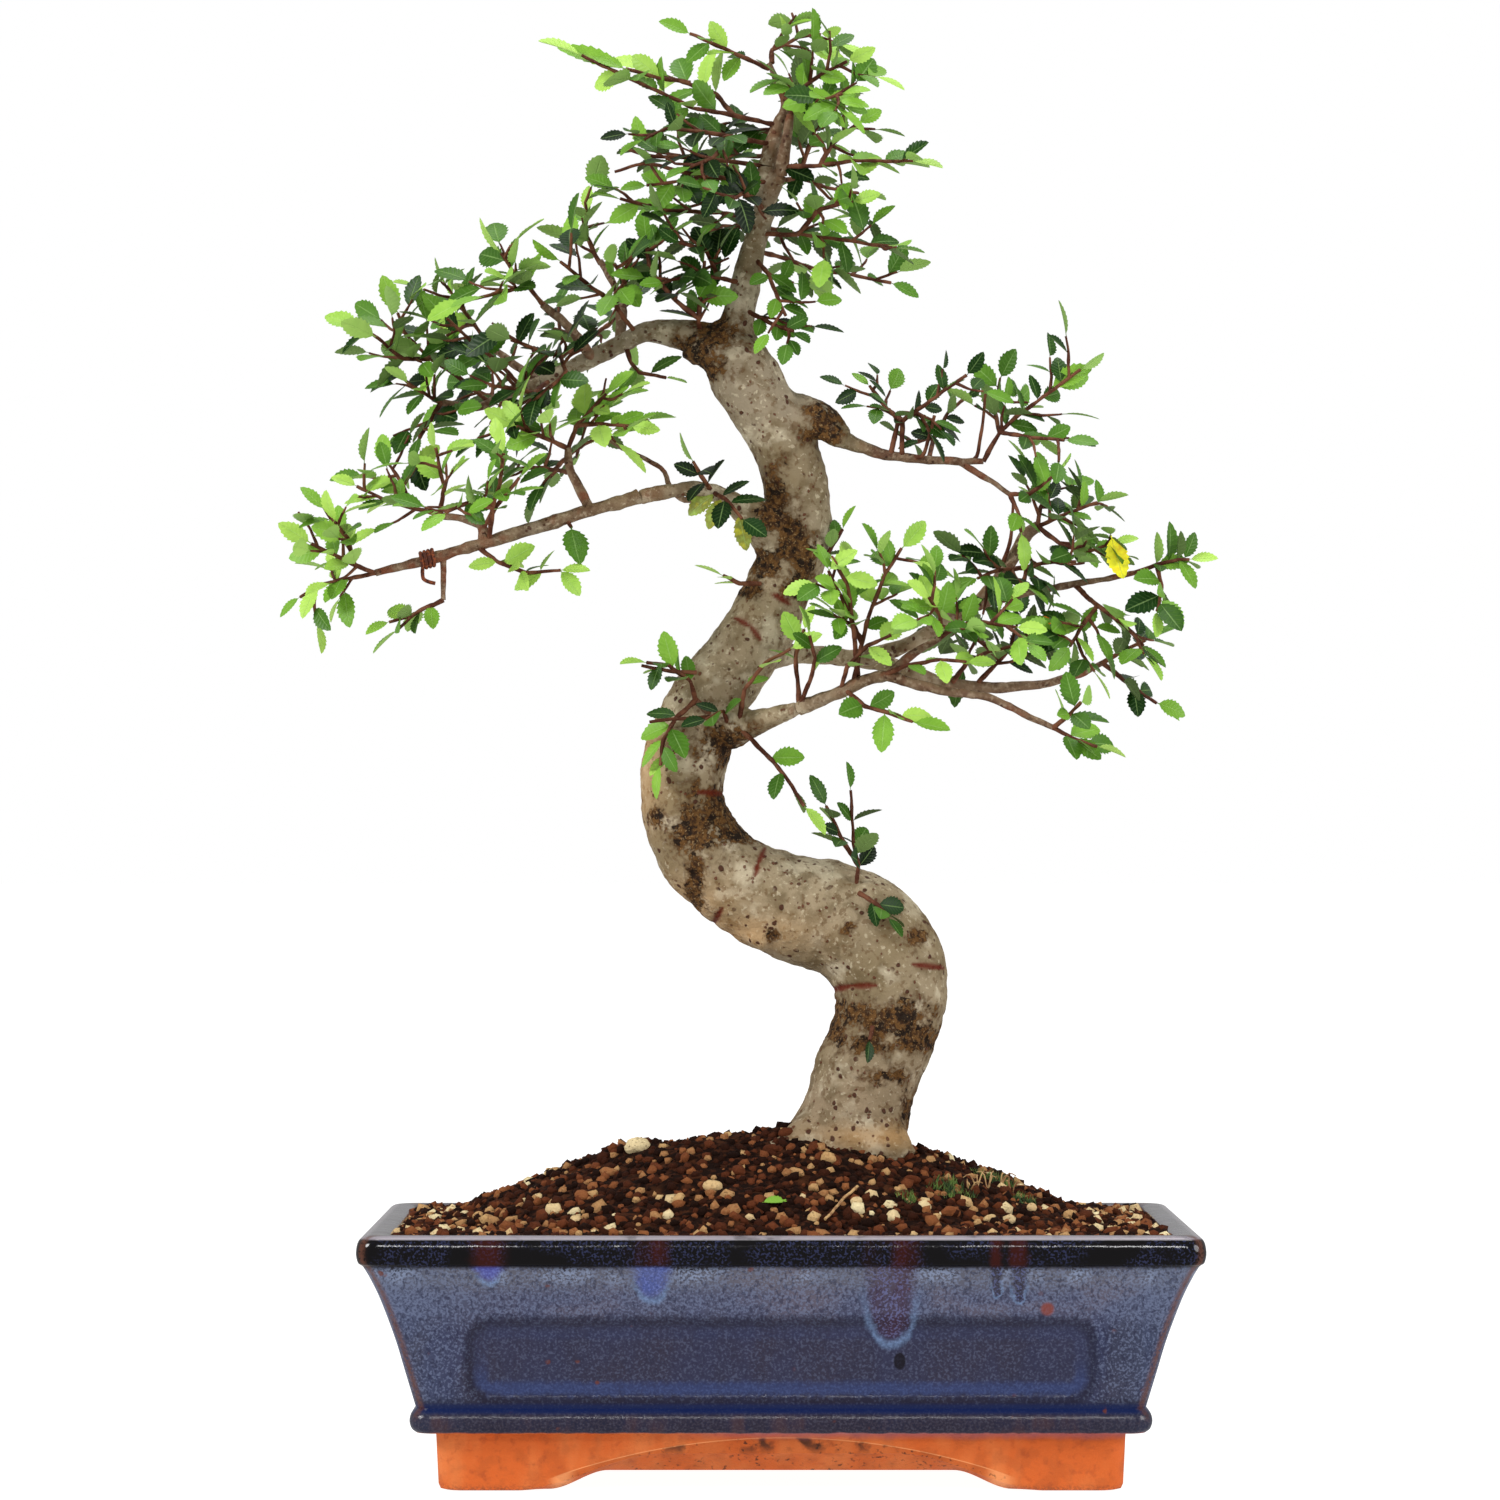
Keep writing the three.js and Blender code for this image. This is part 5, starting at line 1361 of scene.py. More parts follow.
def single_leaves(twigs):
    """The leaves that stand out by their colour, each on the nearest twig, whatever else is there."""
    draw = seeded_draw(SINGLE_SEED)
    points = np.array([
        start + (end - start) * share
        for stations in twigs
        for (start, _), (end, _) in zip(stations, stations[1:])
        for share in (0, 0.25, 0.5, 0.75, 1)
    ])
    leaves = []
    for x, z, right, up, length, tone in SINGLE_LEAVES:
        along = unit(np.array([right, (draw() - SINGLE_FORWARD) * SINGLE_SWAY, up]))
        hint = np.array([(draw() - 0.5) * SINGLE_FACING[0], *SINGLE_FACING[1:]])
        leaves.append(((nearest_twig(points, x, z), along, square_to(along, hint), length), tone))
    return leaves


def fallen_leaves(ground):
    """The green leaf that lies on the soil."""
    place = on_ground(ground, *FALLEN_LEAF) + np.array([-FALLEN_LENGTH / 2, 0.0, FALLEN_LIFT])
    normal = unit(np.array(FALLEN_FACING))
    along = square_to(normal, np.array(FALLEN_DIRECTION))
    return [((place, along, normal, FALLEN_LENGTH), FALLEN_TONE)]


def build_leaves(finishes, ground):
    forms = {title: leaf_form(title.lower(), *shape) for title, shape in LEAF_FORMS.items()}
    growth = leafy_growth()
    everything = []

    def grow(name, routes, leaves, *nodes):
        everything.extend(routes)
        base = spray_base(name, routes, leaves, LEAF_SHARES.get(name.partition("_")[2], 1.0))
        made = growth.run(
            base, name, Twig_Sides=TWIG_SIDES, Twig_Step=TWIG_STEP, Twig_Knots=TWIG_KNOTS,
            Twig_Wander=TWIG_WANDER, Leaf_Finish=finishes["leaf"], Twig_Finish=finishes["twig"], **forms,
        )
        ride(made, "leaves", *nodes)

    crowd = Crowd()
    claim_wood(crowd)
    grown = leaves_of_solids(crowd)
    for owner, (name, spray) in enumerate(SPRAYS.items()):
        routes, leaves = fill_spray(crowd, name, spray, owner)
        routes += [twig_stations(route) for route in spray.shoots]
        grow("leaves_" + name, routes, grown[name] + leaves, "spray_" + name)
    for owner, (name, sprout) in enumerate(SPROUTS.items(), len(SPRAYS)):
        routes = [twig_stations(route) for route in sprout.shoots]
        grow("sprout_" + name, routes, sprout_leaves(crowd, sprout, owner, routes))
    grow("single_leaves", [], single_leaves(everything))
    grow("fallen_leaf", [], fallen_leaves(ground))
    for form in forms.values():
        bpy.data.objects.remove(form)


# Wood: the trunk with the roots of its branches, and the branches beyond them

THICK_RADIUS = 2.6
TRUNK_SIDES = 40
BRANCH_SIDES = 12
WOOD_STEP = 0.002
VOXEL = 0.00088
MELT_FACTOR = 0.6
MELT_ROUNDS = 8
# The wood's radius at which the bark is wholly young, and from which it is wholly old
YOUNG_RADII = (1.7, 3.4)
# Lumps and roots that swell the wood: x, z, depth and radius of each place
LUMPS = [
    [[-12, 413, -4, 7], [-19, 410, -7, 5.6]],
    [[-17, 417, -3, 5], [-22, 408, -5, 4]],
    [[14, 387, -3, 7.5], [25, 385, -6, 5.6], [31, 381, -7, 4.2], [36, 379, -8, 3.2]],
    [[22, 391, -8, 3.6], [27, 389, -7, 2.8]],
    [[8, 347, -4, 8], [-2, 353, -9, 5.6]],
    [[-6, 274, -12, 8.5], [-1, 274, -18, 5.6]],
    [[4, 197, -6, 6], [7, 192.5, -8, 3.4]],
    [[27, 128, -2, 10], [14, 112, -6, 7]],
    [[44, 130, -8, 10], [56, 113, -14, 6.5]],
    [[40, 128, 10, 10], [50, 110, 20, 7]],
    [[30, 128, 8, 10], [18, 110, 16, 7]],
    [[25, 126, -7, 8.5], [14, 119, -16, 5], [7, 117, -21, 3.4]],
]
# Flaking bark seen from the front: x, z, half width and half height
FLAKES = [
    (9, 356, 5, 12), (14, 344, 5, 9), (20, 334, 4, 8), (6, 333, 6, 7), (0, 324, 6, 4), (17, 326, 5, 6),
    (-18, 409, 9, 9), (-12, 417, 8, 6), (27, 384, 7, 8), (-9, 266, 9, 7), (-12, 242, 11, 9),
    (-20, 236, 9, 10), (-4, 234, 10, 4), (-20, 215, 3, 12), (-34, 240, 3.4, 4), (38, 167, 10, 5),
    (52, 165, 14, 6), (62, 160, 7, 6), (31, 170, 6, 4), (44, 157, 10, 3.4), (50, 145, 7, 3),
    (62, 196, 4, 4), (30, 161, 3, 5), (58, 132, 3, 6), (8, 196, 2, 2), (36, 200, 3, 2),
]
# And from behind, where the photo shows nothing
BACK_FLAKES = [
    (-26, 240, 6, 10), (-12, 226, 12, 6), (-18, 250, 9, 4), (9, 356, 5, 10), (15, 340, 6, 9),
    (4, 328, 8, 4), (28, 202, 15, 4), (44, 192, 10, 5), (34, 168, 14, 4), (54, 160, 12, 6),
    (42, 148, 8, 4), (-12, 274, 10, 5), (-22, 264, 4, 7), (60, 180, 4, 9), (-16, 410, 8, 7),
    (26, 386, 7, 6),
]
# Scars of old wire, from one x, z to another
SCARS = [
    (5.5, 228.5, 3, 223), (3, 223, 1.8, 218.6), (-10.3, 206.4, -14, 200), (59.7, 186, 71, 184.6),
    (28.8, 176, 37, 178), (37, 178, 46, 178.4), (-19, 249, -10, 248.6), (-5.5, 313, 0, 310), (0, 310, 4, 305),
    (20, 173, 27, 175), (8, 322, 15, 318),
]
SCAR_HALF_WIDTH = 0.95
TAN_SPOTS = [(-40, 262, 7, 20), (-28, 206, 17, 9), (-6, 197, 22, 6), (48, 123, 18, 3.4)]


def spots(places, seen, where):
    """How near each place lies to the middle of an ellipse, for those turned the way that seen says."""
    cover = np.zeros(len(places))
    for x, z, half_x, half_z in where:
        apart = ((places[:, 0] - x) / half_x) ** 2 + ((places[:, 2] - z) / half_z) ** 2
        cover = np.maximum(cover, np.exp(-apart * 0.7))
    return cover * seen


def radius_near(places, routes):
    """The radius of the wood's nearest station to each place."""
    nearest = np.full(len(places), 1e9)
    radii = np.zeros(len(places))
    for stations in routes:
        for (start, first), (end, second) in zip(stations, stations[1:]):
            for share in (0, 0.34, 0.67, 1):
                apart = np.linalg.norm(places - (start + (end - start) * share), axis=1)
                closer = apart < nearest
                nearest[closer] = apart[closer]
                radii[closer] = first + (second - first) * share
    return radii


def scar_cover(places, seen):
    cover = np.zeros(len(places))
    flat = places[:, [0, 2]]
    for x0, z0, x1, z1 in SCARS:
        start, line = np.array([x0, z0]), np.array([x1 - x0, z1 - z0])
        share = np.clip((flat - start) @ line / (line @ line), 0, 1)
        apart = np.linalg.norm(flat - start - share[:, None] * line, axis=1)
        half = SCAR_HALF_WIDTH * (0.6 + 0.6 * np.sin(np.pi * share))
        cover = np.maximum(cover, np.clip(1.5 - apart / half, 0, 1))
    return cover * seen


def relief_growth():
    """Swellings, grain, flakes and scars, raised along the surface's own direction."""
    growth = Growth("bark_relief", {"Swell": "Float", "Grain": "Float", "Flakes": "Float", "Scars": "Float"})
    swell = (growth.noise(15, 2) - 0.5) * growth["Swell"]
    grain = (growth.noise(4, 4) - 0.5) * growth["Grain"]
    flake = growth.named("flake") * (growth.noise(3, 4) - 0.55) * growth["Flakes"]
    growth.end(growth.raised(swell + grain + flake + growth.named("scar") * growth["Scars"]))
    return growth


def thick_end(stations):
    """The number of stations at a branch's root that are thick enough to melt into the trunk."""
    count = 0
    for _, radius in stations:
        if radius < THICK_RADIUS:
            break
        count += 1
    return count


def give_youth(piece, radii):
    low, high = YOUNG_RADII
    give(piece.data, "young", smoothstep((high - radii) / (high - low)))


def melted(trunk):
    """The wood as one skin, smoothed where the branches leave the trunk."""
    remesh = trunk.modifiers.new("melt", "REMESH")
    remesh.mode = "VOXEL"
    remesh.voxel_size = VOXEL
    remesh.use_smooth_shade = True
    smooth = trunk.modifiers.new("smooth", "SMOOTH")
    smooth.factor = MELT_FACTOR
    smooth.iterations = MELT_ROUNDS
    return settled(trunk, "trunk")


def give_marks(mesh, places):
    """Where flakes, scars and tan spots lie, by the side that the bark is turned to."""
    normals = normals_of(mesh)
    front = np.clip(-normals[:, 1] * 2 + 0.9, 0, 1)
    back = np.clip(normals[:, 1] * 2 + 0.2, 0, 1)
    flake = np.maximum(spots(places, front, FLAKES), spots(places, back, BACK_FLAKES))
    give(mesh, "flake", flake)
    give(mesh, "scar", scar_cover(places, front))
    give(mesh, "tan", spots(places, np.ones(len(places)), TAN_SPOTS))


def build_trunk(finish, growth, branches):
    """The trunk with the thick ends of its branches, melted into one piece."""
    roots = [stations[:thick_end(stations)] for stations in branches if thick_end(stations) > 1]
    wood = [stations_of(TRUNK), *roots]
    routes = wood + [stations_of(route) for route in LUMPS]
    trunk = melted(grow_wood(
        growth, "trunk", routes, Sides=TRUNK_SIDES, Step=WOOD_STEP, Wander=0.0, Knots=0.12, Finish=finish
    ))
    places = points_of(trunk.data)
    give_marks(trunk.data, places)
    give_youth(trunk, radius_near(places, wood))
    trunk = relief_growth().run(trunk, "trunk", Swell=0.0018, Grain=0.0012, Flakes=0.0026, Scars=-0.0004)
    dress(trunk, finish)
    ride(trunk, "wood", "trunk_and_branches")


def build_wood(finishes, growth):
    bark, young_bark = finishes["bark"], finishes["twig"]
    branches = [stations_of(route) for route in BRANCHES.values()]
    build_trunk(bark, growth, branches)
    beyond = [stations[max(thick_end(stations) - 1, 0):] for stations in branches]
    limbs = grow_wood(
        growth, "branches", beyond, Sides=BRANCH_SIDES, Step=WOOD_STEP, Wander=0.0016, Knots=0.7, Finish=bark
    )
    give_youth(limbs, radius_near(points_of(limbs.data), beyond))
    ride(limbs, "wood", "trunk_and_branches")
    stubs = [twig_stations(route) for route in BARE_TWIGS]
    twigs = grow_wood(
        growth, "bare_twigs", stubs, Sides=6, Step=WOOD_STEP, Wander=0.001, Knots=0.5, Finish=young_bark
    )
    ride(twigs, "wood")


# The rusty coil of training wire: in the same place as in the part's source and with the same hooked
# tail, but of thicker wire, in more and closer turns

TIE_MIDDLE = (-119, 335, -35)
TIE_AXIS = (-21, -6, -2)
TIE_WIRE_RADIUS = 0.72
TIE_COIL_RADIUS = 2.9
TIE_TURNS = 3.5
TIE_PITCH = 1.45
TIE_STEPS_A_TURN = 20
TIE_TAIL = [(0, -5.2), (0.4, -7.2), (2.2, -8.2), (4.6, -8.8)]
TIE_TAIL_FORWARD = 0.6


def build_tie(finishes, growth):
    middle = seen_at(*TIE_MIDDLE)
    along = unit(np.array([TIE_AXIS[0], TIE_AXIS[2], TIE_AXIS[1]], float))
    front = unit(np.array([0.0, -1.0, 0.0]) + along * along[1])
    down = np.cross(front, along)
    steps = round(TIE_TURNS * TIE_STEPS_A_TURN)
    stations = []
    for step in range(steps + 1):
        turn = step / TIE_STEPS_A_TURN * 2 * math.pi
        slide = (step / steps - 0.5) * TIE_TURNS * TIE_PITCH
        place = middle + along * slide
        place = place - down * TIE_COIL_RADIUS * math.cos(turn) + front * TIE_COIL_RADIUS * math.sin(turn)
        stations.append((place, TIE_WIRE_RADIUS))
    last = stations[-1][0]
    for right, drop in TIE_TAIL:
        place = np.array([last[0] + right, last[1] - TIE_TAIL_FORWARD, middle[2] + drop])
        stations.append((place, TIE_WIRE_RADIUS))
    tie = grow_wood(
        growth, "rusty_tie", [stations], Sides=10, Step=0.0005, Wander=0.0003, Knots=0.3,
        Finish=finishes["rust"],
    )
    ride(tie, "wire", "wire_tie")


# The pot

CORNER_STEPS = 10
LONG_STEPS = 150
SHORT_STEPS = 100
LONG_ARCH_HALF_SPAN = 81
SHORT_ARCH_HALF_SPAN = 44
ARCH_OUTER_HEIGHT = 12.8
ARCH_INNER_HEIGHT = 6.7
PANEL_LOW = 32.5
PANEL_HIGH = 62
PANEL_LONG_HALF = 111
PANEL_SHORT_HALF = 70
PANEL_CORNER = 9
PANEL_DEPTH = 1.7
PANEL_EDGE = 4
DRAIN_SIDES = 32
SHARP_ANGLE = math.radians(40)


def level_ring(height, inset):
    """A level of the pot: points anticlockwise round a rounded rectangle, from its back right corner."""
    half_x, half_y = RIM_LENGTH / 2 - inset, RIM_DEPTH / 2 - inset
    corners = []
    for quarter in range(4):
        sign_x = -1 if quarter in (1, 2) else 1
        sign_y = 1 if quarter < 2 else -1
        arc = []
        for step in range(CORNER_STEPS + 1):
            angle = (quarter + step / CORNER_STEPS) * math.pi / 2
            x = sign_x * (half_x - CORNER_RADIUS) + CORNER_RADIUS * math.cos(angle)
            y = sign_y * (half_y - CORNER_RADIUS) + CORNER_RADIUS * math.sin(angle)
            arc.append((x, y))
        corners.append(arc)
    ring = []
    for quarter, arc in enumerate(corners):
        ring += arc
        start, end = np.array(arc[-1]), np.array(corners[(quarter + 1) % 4][0])
        steps = LONG_STEPS if quarter % 2 == 0 else SHORT_STEPS
        ring += [tuple(start + (end - start) * step / steps) for step in range(1, steps)]
    return np.array([(POT_X + x, y, height) for x, y in ring])


def arch_lift(ring, outer):
    """How far the foot ring's lower edge rises between the feet."""
    x, y = np.abs(ring[:, 0] - POT_X), np.abs(ring[:, 1])
    half_x, half_y = x.max() - CORNER_RADIUS, y.max() - CORNER_RADIUS
    reach = np.where(y > half_y + CORNER_RADIUS - 0.01, x / LONG_ARCH_HALF_SPAN, 9.0)
    reach = np.where(x > half_x + CORNER_RADIUS - 0.01, y / SHORT_ARCH_HALF_SPAN, reach)
    if outer:
        return ARCH_OUTER_HEIGHT * smoothstep((1.16 - reach) / 0.64)
    return ARCH_INNER_HEIGHT * smoothstep((1.02 - reach) / 0.26)


def panel_inset(ring):
    """How far the sunken panel of each side lies behind the wall."""
    x, y, z = np.abs(ring[:, 0] - POT_X), np.abs(ring[:, 1]), ring[:, 2]
    on_long = y > y.max() - 0.01
    along = np.where(on_long, x, y)
    half = np.where(on_long, PANEL_LONG_HALF, PANEL_SHORT_HALF)
    middle, half_height = (PANEL_LOW + PANEL_HIGH) / 2, (PANEL_HIGH - PANEL_LOW) / 2
    out_x = np.maximum(along - (half - PANEL_CORNER), 0)
    out_z = np.maximum(np.abs(z - middle) - (half_height - PANEL_CORNER), 0)
    inside = PANEL_CORNER - np.hypot(out_x, out_z)
    return PANEL_DEPTH * smoothstep(inside / PANEL_EDGE)


def curved(profile, steps):
    """More levels on a smooth line through the given ones."""
    knots = np.array([profile[0], *profile, profile[-1]], float)
    made = []
    for index in range(1, len(knots) - 2):
        before, start, end, after = knots[index - 1:index + 3]
        for step in range(steps):
            t = step / steps
            made.append(0.5 * (
                2 * start + (end - before) * t + (2 * before - 5 * start + 4 * end - after) * t * t
                + (3 * start - before - 3 * end + after) * t ** 3
            ))
    return [tuple(level) for level in made] + [tuple(profile[-1])]


def lofted(name, rings):
    """Closes rings of points into one body, with a fan at each end."""
    count = len(rings[0])
    points = [tuple(point) for ring in rings for point in ring]
    faces = []
    for ring in range(len(rings) - 1):
        near, far = ring * count, (ring + 1) * count
        for side in range(count):
            after = (side + 1) % count
            faces.append((near + side, near + after, far + after, far + side))
    for first, ring, turned in ((0, rings[0], True), ((len(rings) - 1) * count, rings[-1], False)):
        hub = len(points)
        points.append(tuple(np.mean(ring, axis=0)))
        for side in range(count):
            pair = (first + side, first + (side + 1) % count)
            faces.append((hub, pair[1], pair[0]) if turned else (hub, pair[0], pair[1]))
    return mesh_of(name, points, faces)


FOOT_INNER_INSET = FOOT_INSET + FOOT_THICKNESS
# The arched lower levels of the foot ring: height over the arch, inset, and whether it is the outer arch
FOOT_LEVELS = [
    (0, FOOT_INNER_INSET, False), (0, FOOT_INSET + 9, False), (0, FOOT_INSET + 3.2, True),
    (0.5, FOOT_INSET + 1.6, True), (2.2, FOOT_INSET + 0.9, True),
]
OUTER_WALL_INSET = 21
BEAD_PROFILE = [(FOOT_HEIGHT, 20.5), (22.5, 18.8), (25.2, 18), (28, 18.6), (30, 20.2)]
WALL_PROFILE = [(30.6, 20), (43, 16.5), (55, 13.1), (69, 8.2), (77, 4.6), (81, 2.4)]
RIM_PROFILE = [
    (81.6, 1.7), (82.6, 0.6), (86, 0), (90.2, 0.9), (RIM_TOP, 3.8), (RIM_TOP, 9), (90.5, 11.5), (84, 13),
]
INNER_PROFILE = [(84, 13), (69, 18), (43, 25.5), (32, 28), (FLOOR_TOP, 33)]
# Drips from the rim: x, lower end, half width and tint
DRIPS = [
    (-92, 75, 6, (70, 74, 150)), (-35, 69, 7, (62, 78, 146)), (50, 53, 9, (60, 38, 50)),
    (87, 70, 2.6, (34, 26, 36)), (95, 68, 3, (34, 26, 36)),
]


class Glaze(Paint):
    """Blue glaze with pale speckles, painted highlights and painted shade, dark under the rim and on it, over
    a bare orange foot.
    """

    def __init__(self):
        super().__init__("pot_glaze")
        self.x, self.y, self.z = self.axes()
        self.to_side = self.y.absolute()
        self.to_end = (self.x - POT_X).absolute()
        self.front = self.y.step(-84, -88)
        self.rim = self.z.step(80.5, 82)
        self.fine = self.noise(0.9, 3)
        self.middling = self.noise(2.6, 4)
        self.broad = self.noise(34, 3)
        self.streak = self.noise(13, 4, stretch=(1, 1, 0.2))

    def wall(self):
        z, fine = self.z, self.fine
        pits = self.noise(1.3, 2, stretch=(1, 1, 0.5)).step(0.46, 0.38)
        cloud = self.noise(20, 3, stretch=(0.5, 1, 1)).step(0.5, 0.68)
        # outer and upper mark paler glaze towards the pot's ends and in a band above the panels: painted
        # highlights where the glossy wall catches reflections.
        outer = self.to_end.step(96, 144)
        upper = z.step(56, 68)
        return self.layers(
            rgb(46, 45, 62),
            (self.broad.step(0.35, 0.65) * 0.5, rgb(58, 50, 60)),
            (self.streak.step(0.4, 0.6) * 0.4, rgb(48, 56, 90)),
            (upper * 0.7, rgb(74, 77, 98)),
            # A grey band under the rim: a painted highlight.
            (z.step(69, 78) * 0.7, rgb(90, 90, 98)),
            (cloud * upper * 0.45, rgb(98, 88, 94)),
            (outer * 0.35, rgb(76, 88, 112)),
            ((fine + upper * 0.05 + outer * 0.04).step(0.5, 0.64) * 0.45, rgb(106, 116, 144)),
            (pits * 0.5, rgb(34, 34, 54)),
            (z.step(35, 31) * 0.6, rgb(26, 26, 42)),
        )

    def inside_panel(self):
        """How far inside the edge of its sunken panel each place lies, in millimetres."""
        on_long = self.to_side.step(82, 86)
        short_reach = self.to_side + PANEL_LONG_HALF - PANEL_SHORT_HALF
        reach = self.to_end * on_long + short_reach * (1 - on_long)
        out_x = (reach - (PANEL_LONG_HALF - PANEL_CORNER)).most(0)
        middle, half = (PANEL_LOW + PANEL_HIGH) / 2, (PANEL_HIGH - PANEL_LOW) / 2
        out_z = ((self.z - middle).absolute() - (half - PANEL_CORNER)).most(0)
        return PANEL_CORNER - out_x.length_with(out_z) + (self.middling - 0.5) * 3

    def with_panels(self, colour):
        """Dark panels edged by a darker line of painted shade, with blue pooled along their edges, and the
        bead below them.
        """
        z, fine, inside = self.z, self.fine, self.inside_panel()
        panel = inside.step(0, 3)
        # A darker line round each panel's sunken edge: painted shade.
        line = inside.step(-3, 0.5) * inside.step(4.5, 1.5)
        pool = inside.step(1, 4) * inside.step(8.4, 5.5) * (z.step(50, 36) * 0.8 + 0.2)
        return self.layers(
            colour,
            (panel * 0.5, rgb(38, 35, 48)),
            (line * 0.6, rgb(26, 24, 40)),
            (pool * (fine * 0.8 + 0.1), rgb(46, 64, 112)),
            (panel * (fine * 1.2 - 0.2) * 0.3, rgb(76, 80, 108)),
            (z.step(32.5, 30.5) * z.step(27.4, 29) * 0.8, rgb(16, 32, 74)),
            (z.step(29, 27) * fine.step(0.35, 0.6) * 0.5, rgb(56, 48, 56)),
            (z.step(29, 26) * self.streak.step(0.5, 0.65) * 0.3, rgb(84, 54, 42)),
        )

    def with_band(self, colour):
        """The dark band below the rim, and under it a pale speckled band painted as a highlight."""
        z, streak = self.z, self.streak
        dark = (z + (streak - 0.5) * 6).step(79.5, 82)
        # Pale speckles under the dark band: a painted highlight.
        pale_band_highlight = z.step(82, 79.5) * z.step(73, 78) * streak.step(0.45, 0.62)
        return self.layers(
            colour, (dark * 0.92, rgb(24, 17, 22)),
            (pale_band_highlight * self.fine.step(0.42, 0.56) * 0.6, rgb(126, 138, 164)),
        )

    def with_drips(self, colour, on_rim):
        """Drips down the front wall, each with a pale outline and a brown run on the rim above it."""
        z, fine, streak, front = self.z, self.fine, self.streak, self.front
        for place, bottom, half_width, tint in DRIPS:
            drift = (self.middling - 0.5) * 4 + (streak - 0.5) * 6
            narrow = z.step(bottom, 84) * 0.5 + 0.75
            across = (self.x - place + drift).absolute() / (narrow * half_width)
            far = across.length_with((bottom + half_width - z).most(0) / half_width)
            inside = far.step(1.15, 0.4) * z.step(85, 81) * front
            outline = far.step(0.7, 1.0) * far.step(1.3, 1.0) * z.step(80, bottom) * front
            run = across.step(1.2, 0.2) * front * streak.step(0.35, 0.6)
            colour = self.layers(
                colour, (inside * (streak * 1.6 + fine * 0.8 - 0.55), rgb(*tint)),
                (inside * fine.step(0.5, 0.62) * 0.35, rgb(108, 118, 172)),
                (outline * (fine * 0.9), rgb(110, 136, 174)),
            )
            on_rim = self.layers(on_rim, (run * 0.6, rgb(62, 20, 10)))
        return colour, on_rim

    def speckled_rim(self):
        flecks = self.fine.step(0.5, 0.62) * self.noise(24, 2).step(0.42, 0.54)
        return self.mix(flecks * 0.45, rgb(11, 8, 11), rgb(56, 62, 96))

    def mark(self, x, z, stretch=1.0):
        """How far each place is from one on the front."""
        across, up = self.x - x, self.z - z
        return (across * across * stretch + up * up).math("SQRT")

    def with_marks(self, colour, on_rim):
        """Rust specks, two blemishes, the rim with a pale line painted along its lip as a highlight, and the
        worn corners.
        """
        z, fine = self.z, self.fine
        rust = self.cells(10, place=self.bent(4, 1)).step(0.13, 0.06) * self.noise(18, 1).step(0.52, 0.6)
        edge = (self.to_side - RIM_DEPTH / 2).most(self.to_end - RIM_LENGTH / 2).step(-5.5, -3.5)
        # A pale line along the rim's upper outer edge: a painted highlight.
        lip_highlight = z.step(90.5, 91.3) * self.streak.step(0.2, 0.46) * (edge * 0.6 + 0.3)
        return self.layers(
            colour,
            (rust * 0.8, rgb(96, 52, 38)),
            (self.mark(53, 47, 2.2).step(3.6, 2.6) * self.front * 0.85, rgb(20, 16, 22)),
            (self.mark(105, 66).step(3, 1.6) * self.front * 0.8, rgb(118, 58, 46)),
            (self.rim, on_rim),
            (lip_highlight * 0.95, rgb(150, 142, 150)),
            (self.attribute("corner") * z.step(24, 30) * fine.step(0.3, 0.5) * 0.8, rgb(88, 56, 44)),
        )

    def clay(self, line):
        """The bare foot, with painted shade and soot in the recess between its feet, a pale line painted
        along the recess's edge as a highlight, and pinkish at its upper edge.
        """
        x, z, fine = self.x, self.z, self.fine
        arch = (x - 12) / 62
        recess = (19.4 - arch * arch * 8 - z).step(0, 0.8) * self.to_end.step(86, 70) * self.y.step(0, -1)
        smudge = self.noise(7, 5).step(0.46, 0.62) * (recess * z.step(12, 17) * 0.75 + 0.15)
        specks = self.noise(1.6, 4).step(0.56, 0.68) * self.noise(12, 3).step(0.42, 0.6) * recess
        return self.layers(
            rgb(198, 92, 36),
            (self.noise(14, 3, stretch=(1, 1, 0.4)).step(0.42, 0.66) * 0.5, rgb(214, 126, 70)),
            (self.noise(3, 4).step(0.55, 0.75) * 0.4, rgb(146, 60, 28)),
            # Painted shade in the recess, then a pale line painted along its edge as a highlight.
            (recess * 0.4, rgb(160, 76, 30)),
            (recess.step(0, 0.4) * recess.step(1, 0.6), rgb(222, 138, 84)),
            (smudge, rgb(64, 38, 24)),
            (specks * 0.8, rgb(46, 30, 22)),
            (line.step(17.6, 20.8) * x.step(-40, 10) * 0.65, rgb(164, 98, 108)),
            (z.step(3, 0.4) * fine.step(0.4, 0.6) * 0.5, rgb(110, 64, 40)),
        )


def glaze_paint():
    paint = Glaze()
    colour = paint.with_band(paint.with_panels(paint.wall()))
    colour = paint.with_marks(*paint.with_drips(colour, paint.speckled_rim()))
    line = paint.z + (paint.noise(7, 3) - 0.5) * 1.6
    bare = line.step(21.6, 20.6)
    calm = 1 - paint.rim * 0.7
    roughness = bare * 0.6 + paint.fine * calm * 0.14 + 0.07
    relief = paint.fine * 0.1 * (1 - bare) * calm + paint.noise(0.8, 3) * bare * 0.3 + paint.broad * 0.8
    colour = paint.mix(bare, colour, paint.clay(line))
    return paint.finish(colour, roughness, relief, Specular_IOR_Level=0.3)


def foot_rings():
    """The foot ring's levels, down its inner side and up its outer one."""
    rings = [level_ring(FLOOR_UNDERSIDE, FOOT_INNER_INSET + 1)]
    for above, inset, outer in FOOT_LEVELS:
        ring = level_ring(0, inset)
        ring[:, 2] = arch_lift(ring, outer) + above
        rings.append(ring)
    return rings + [level_ring(FOOT_HEIGHT - 2, FOOT_INSET + 0.1), level_ring(FOOT_HEIGHT, FOOT_INSET)]


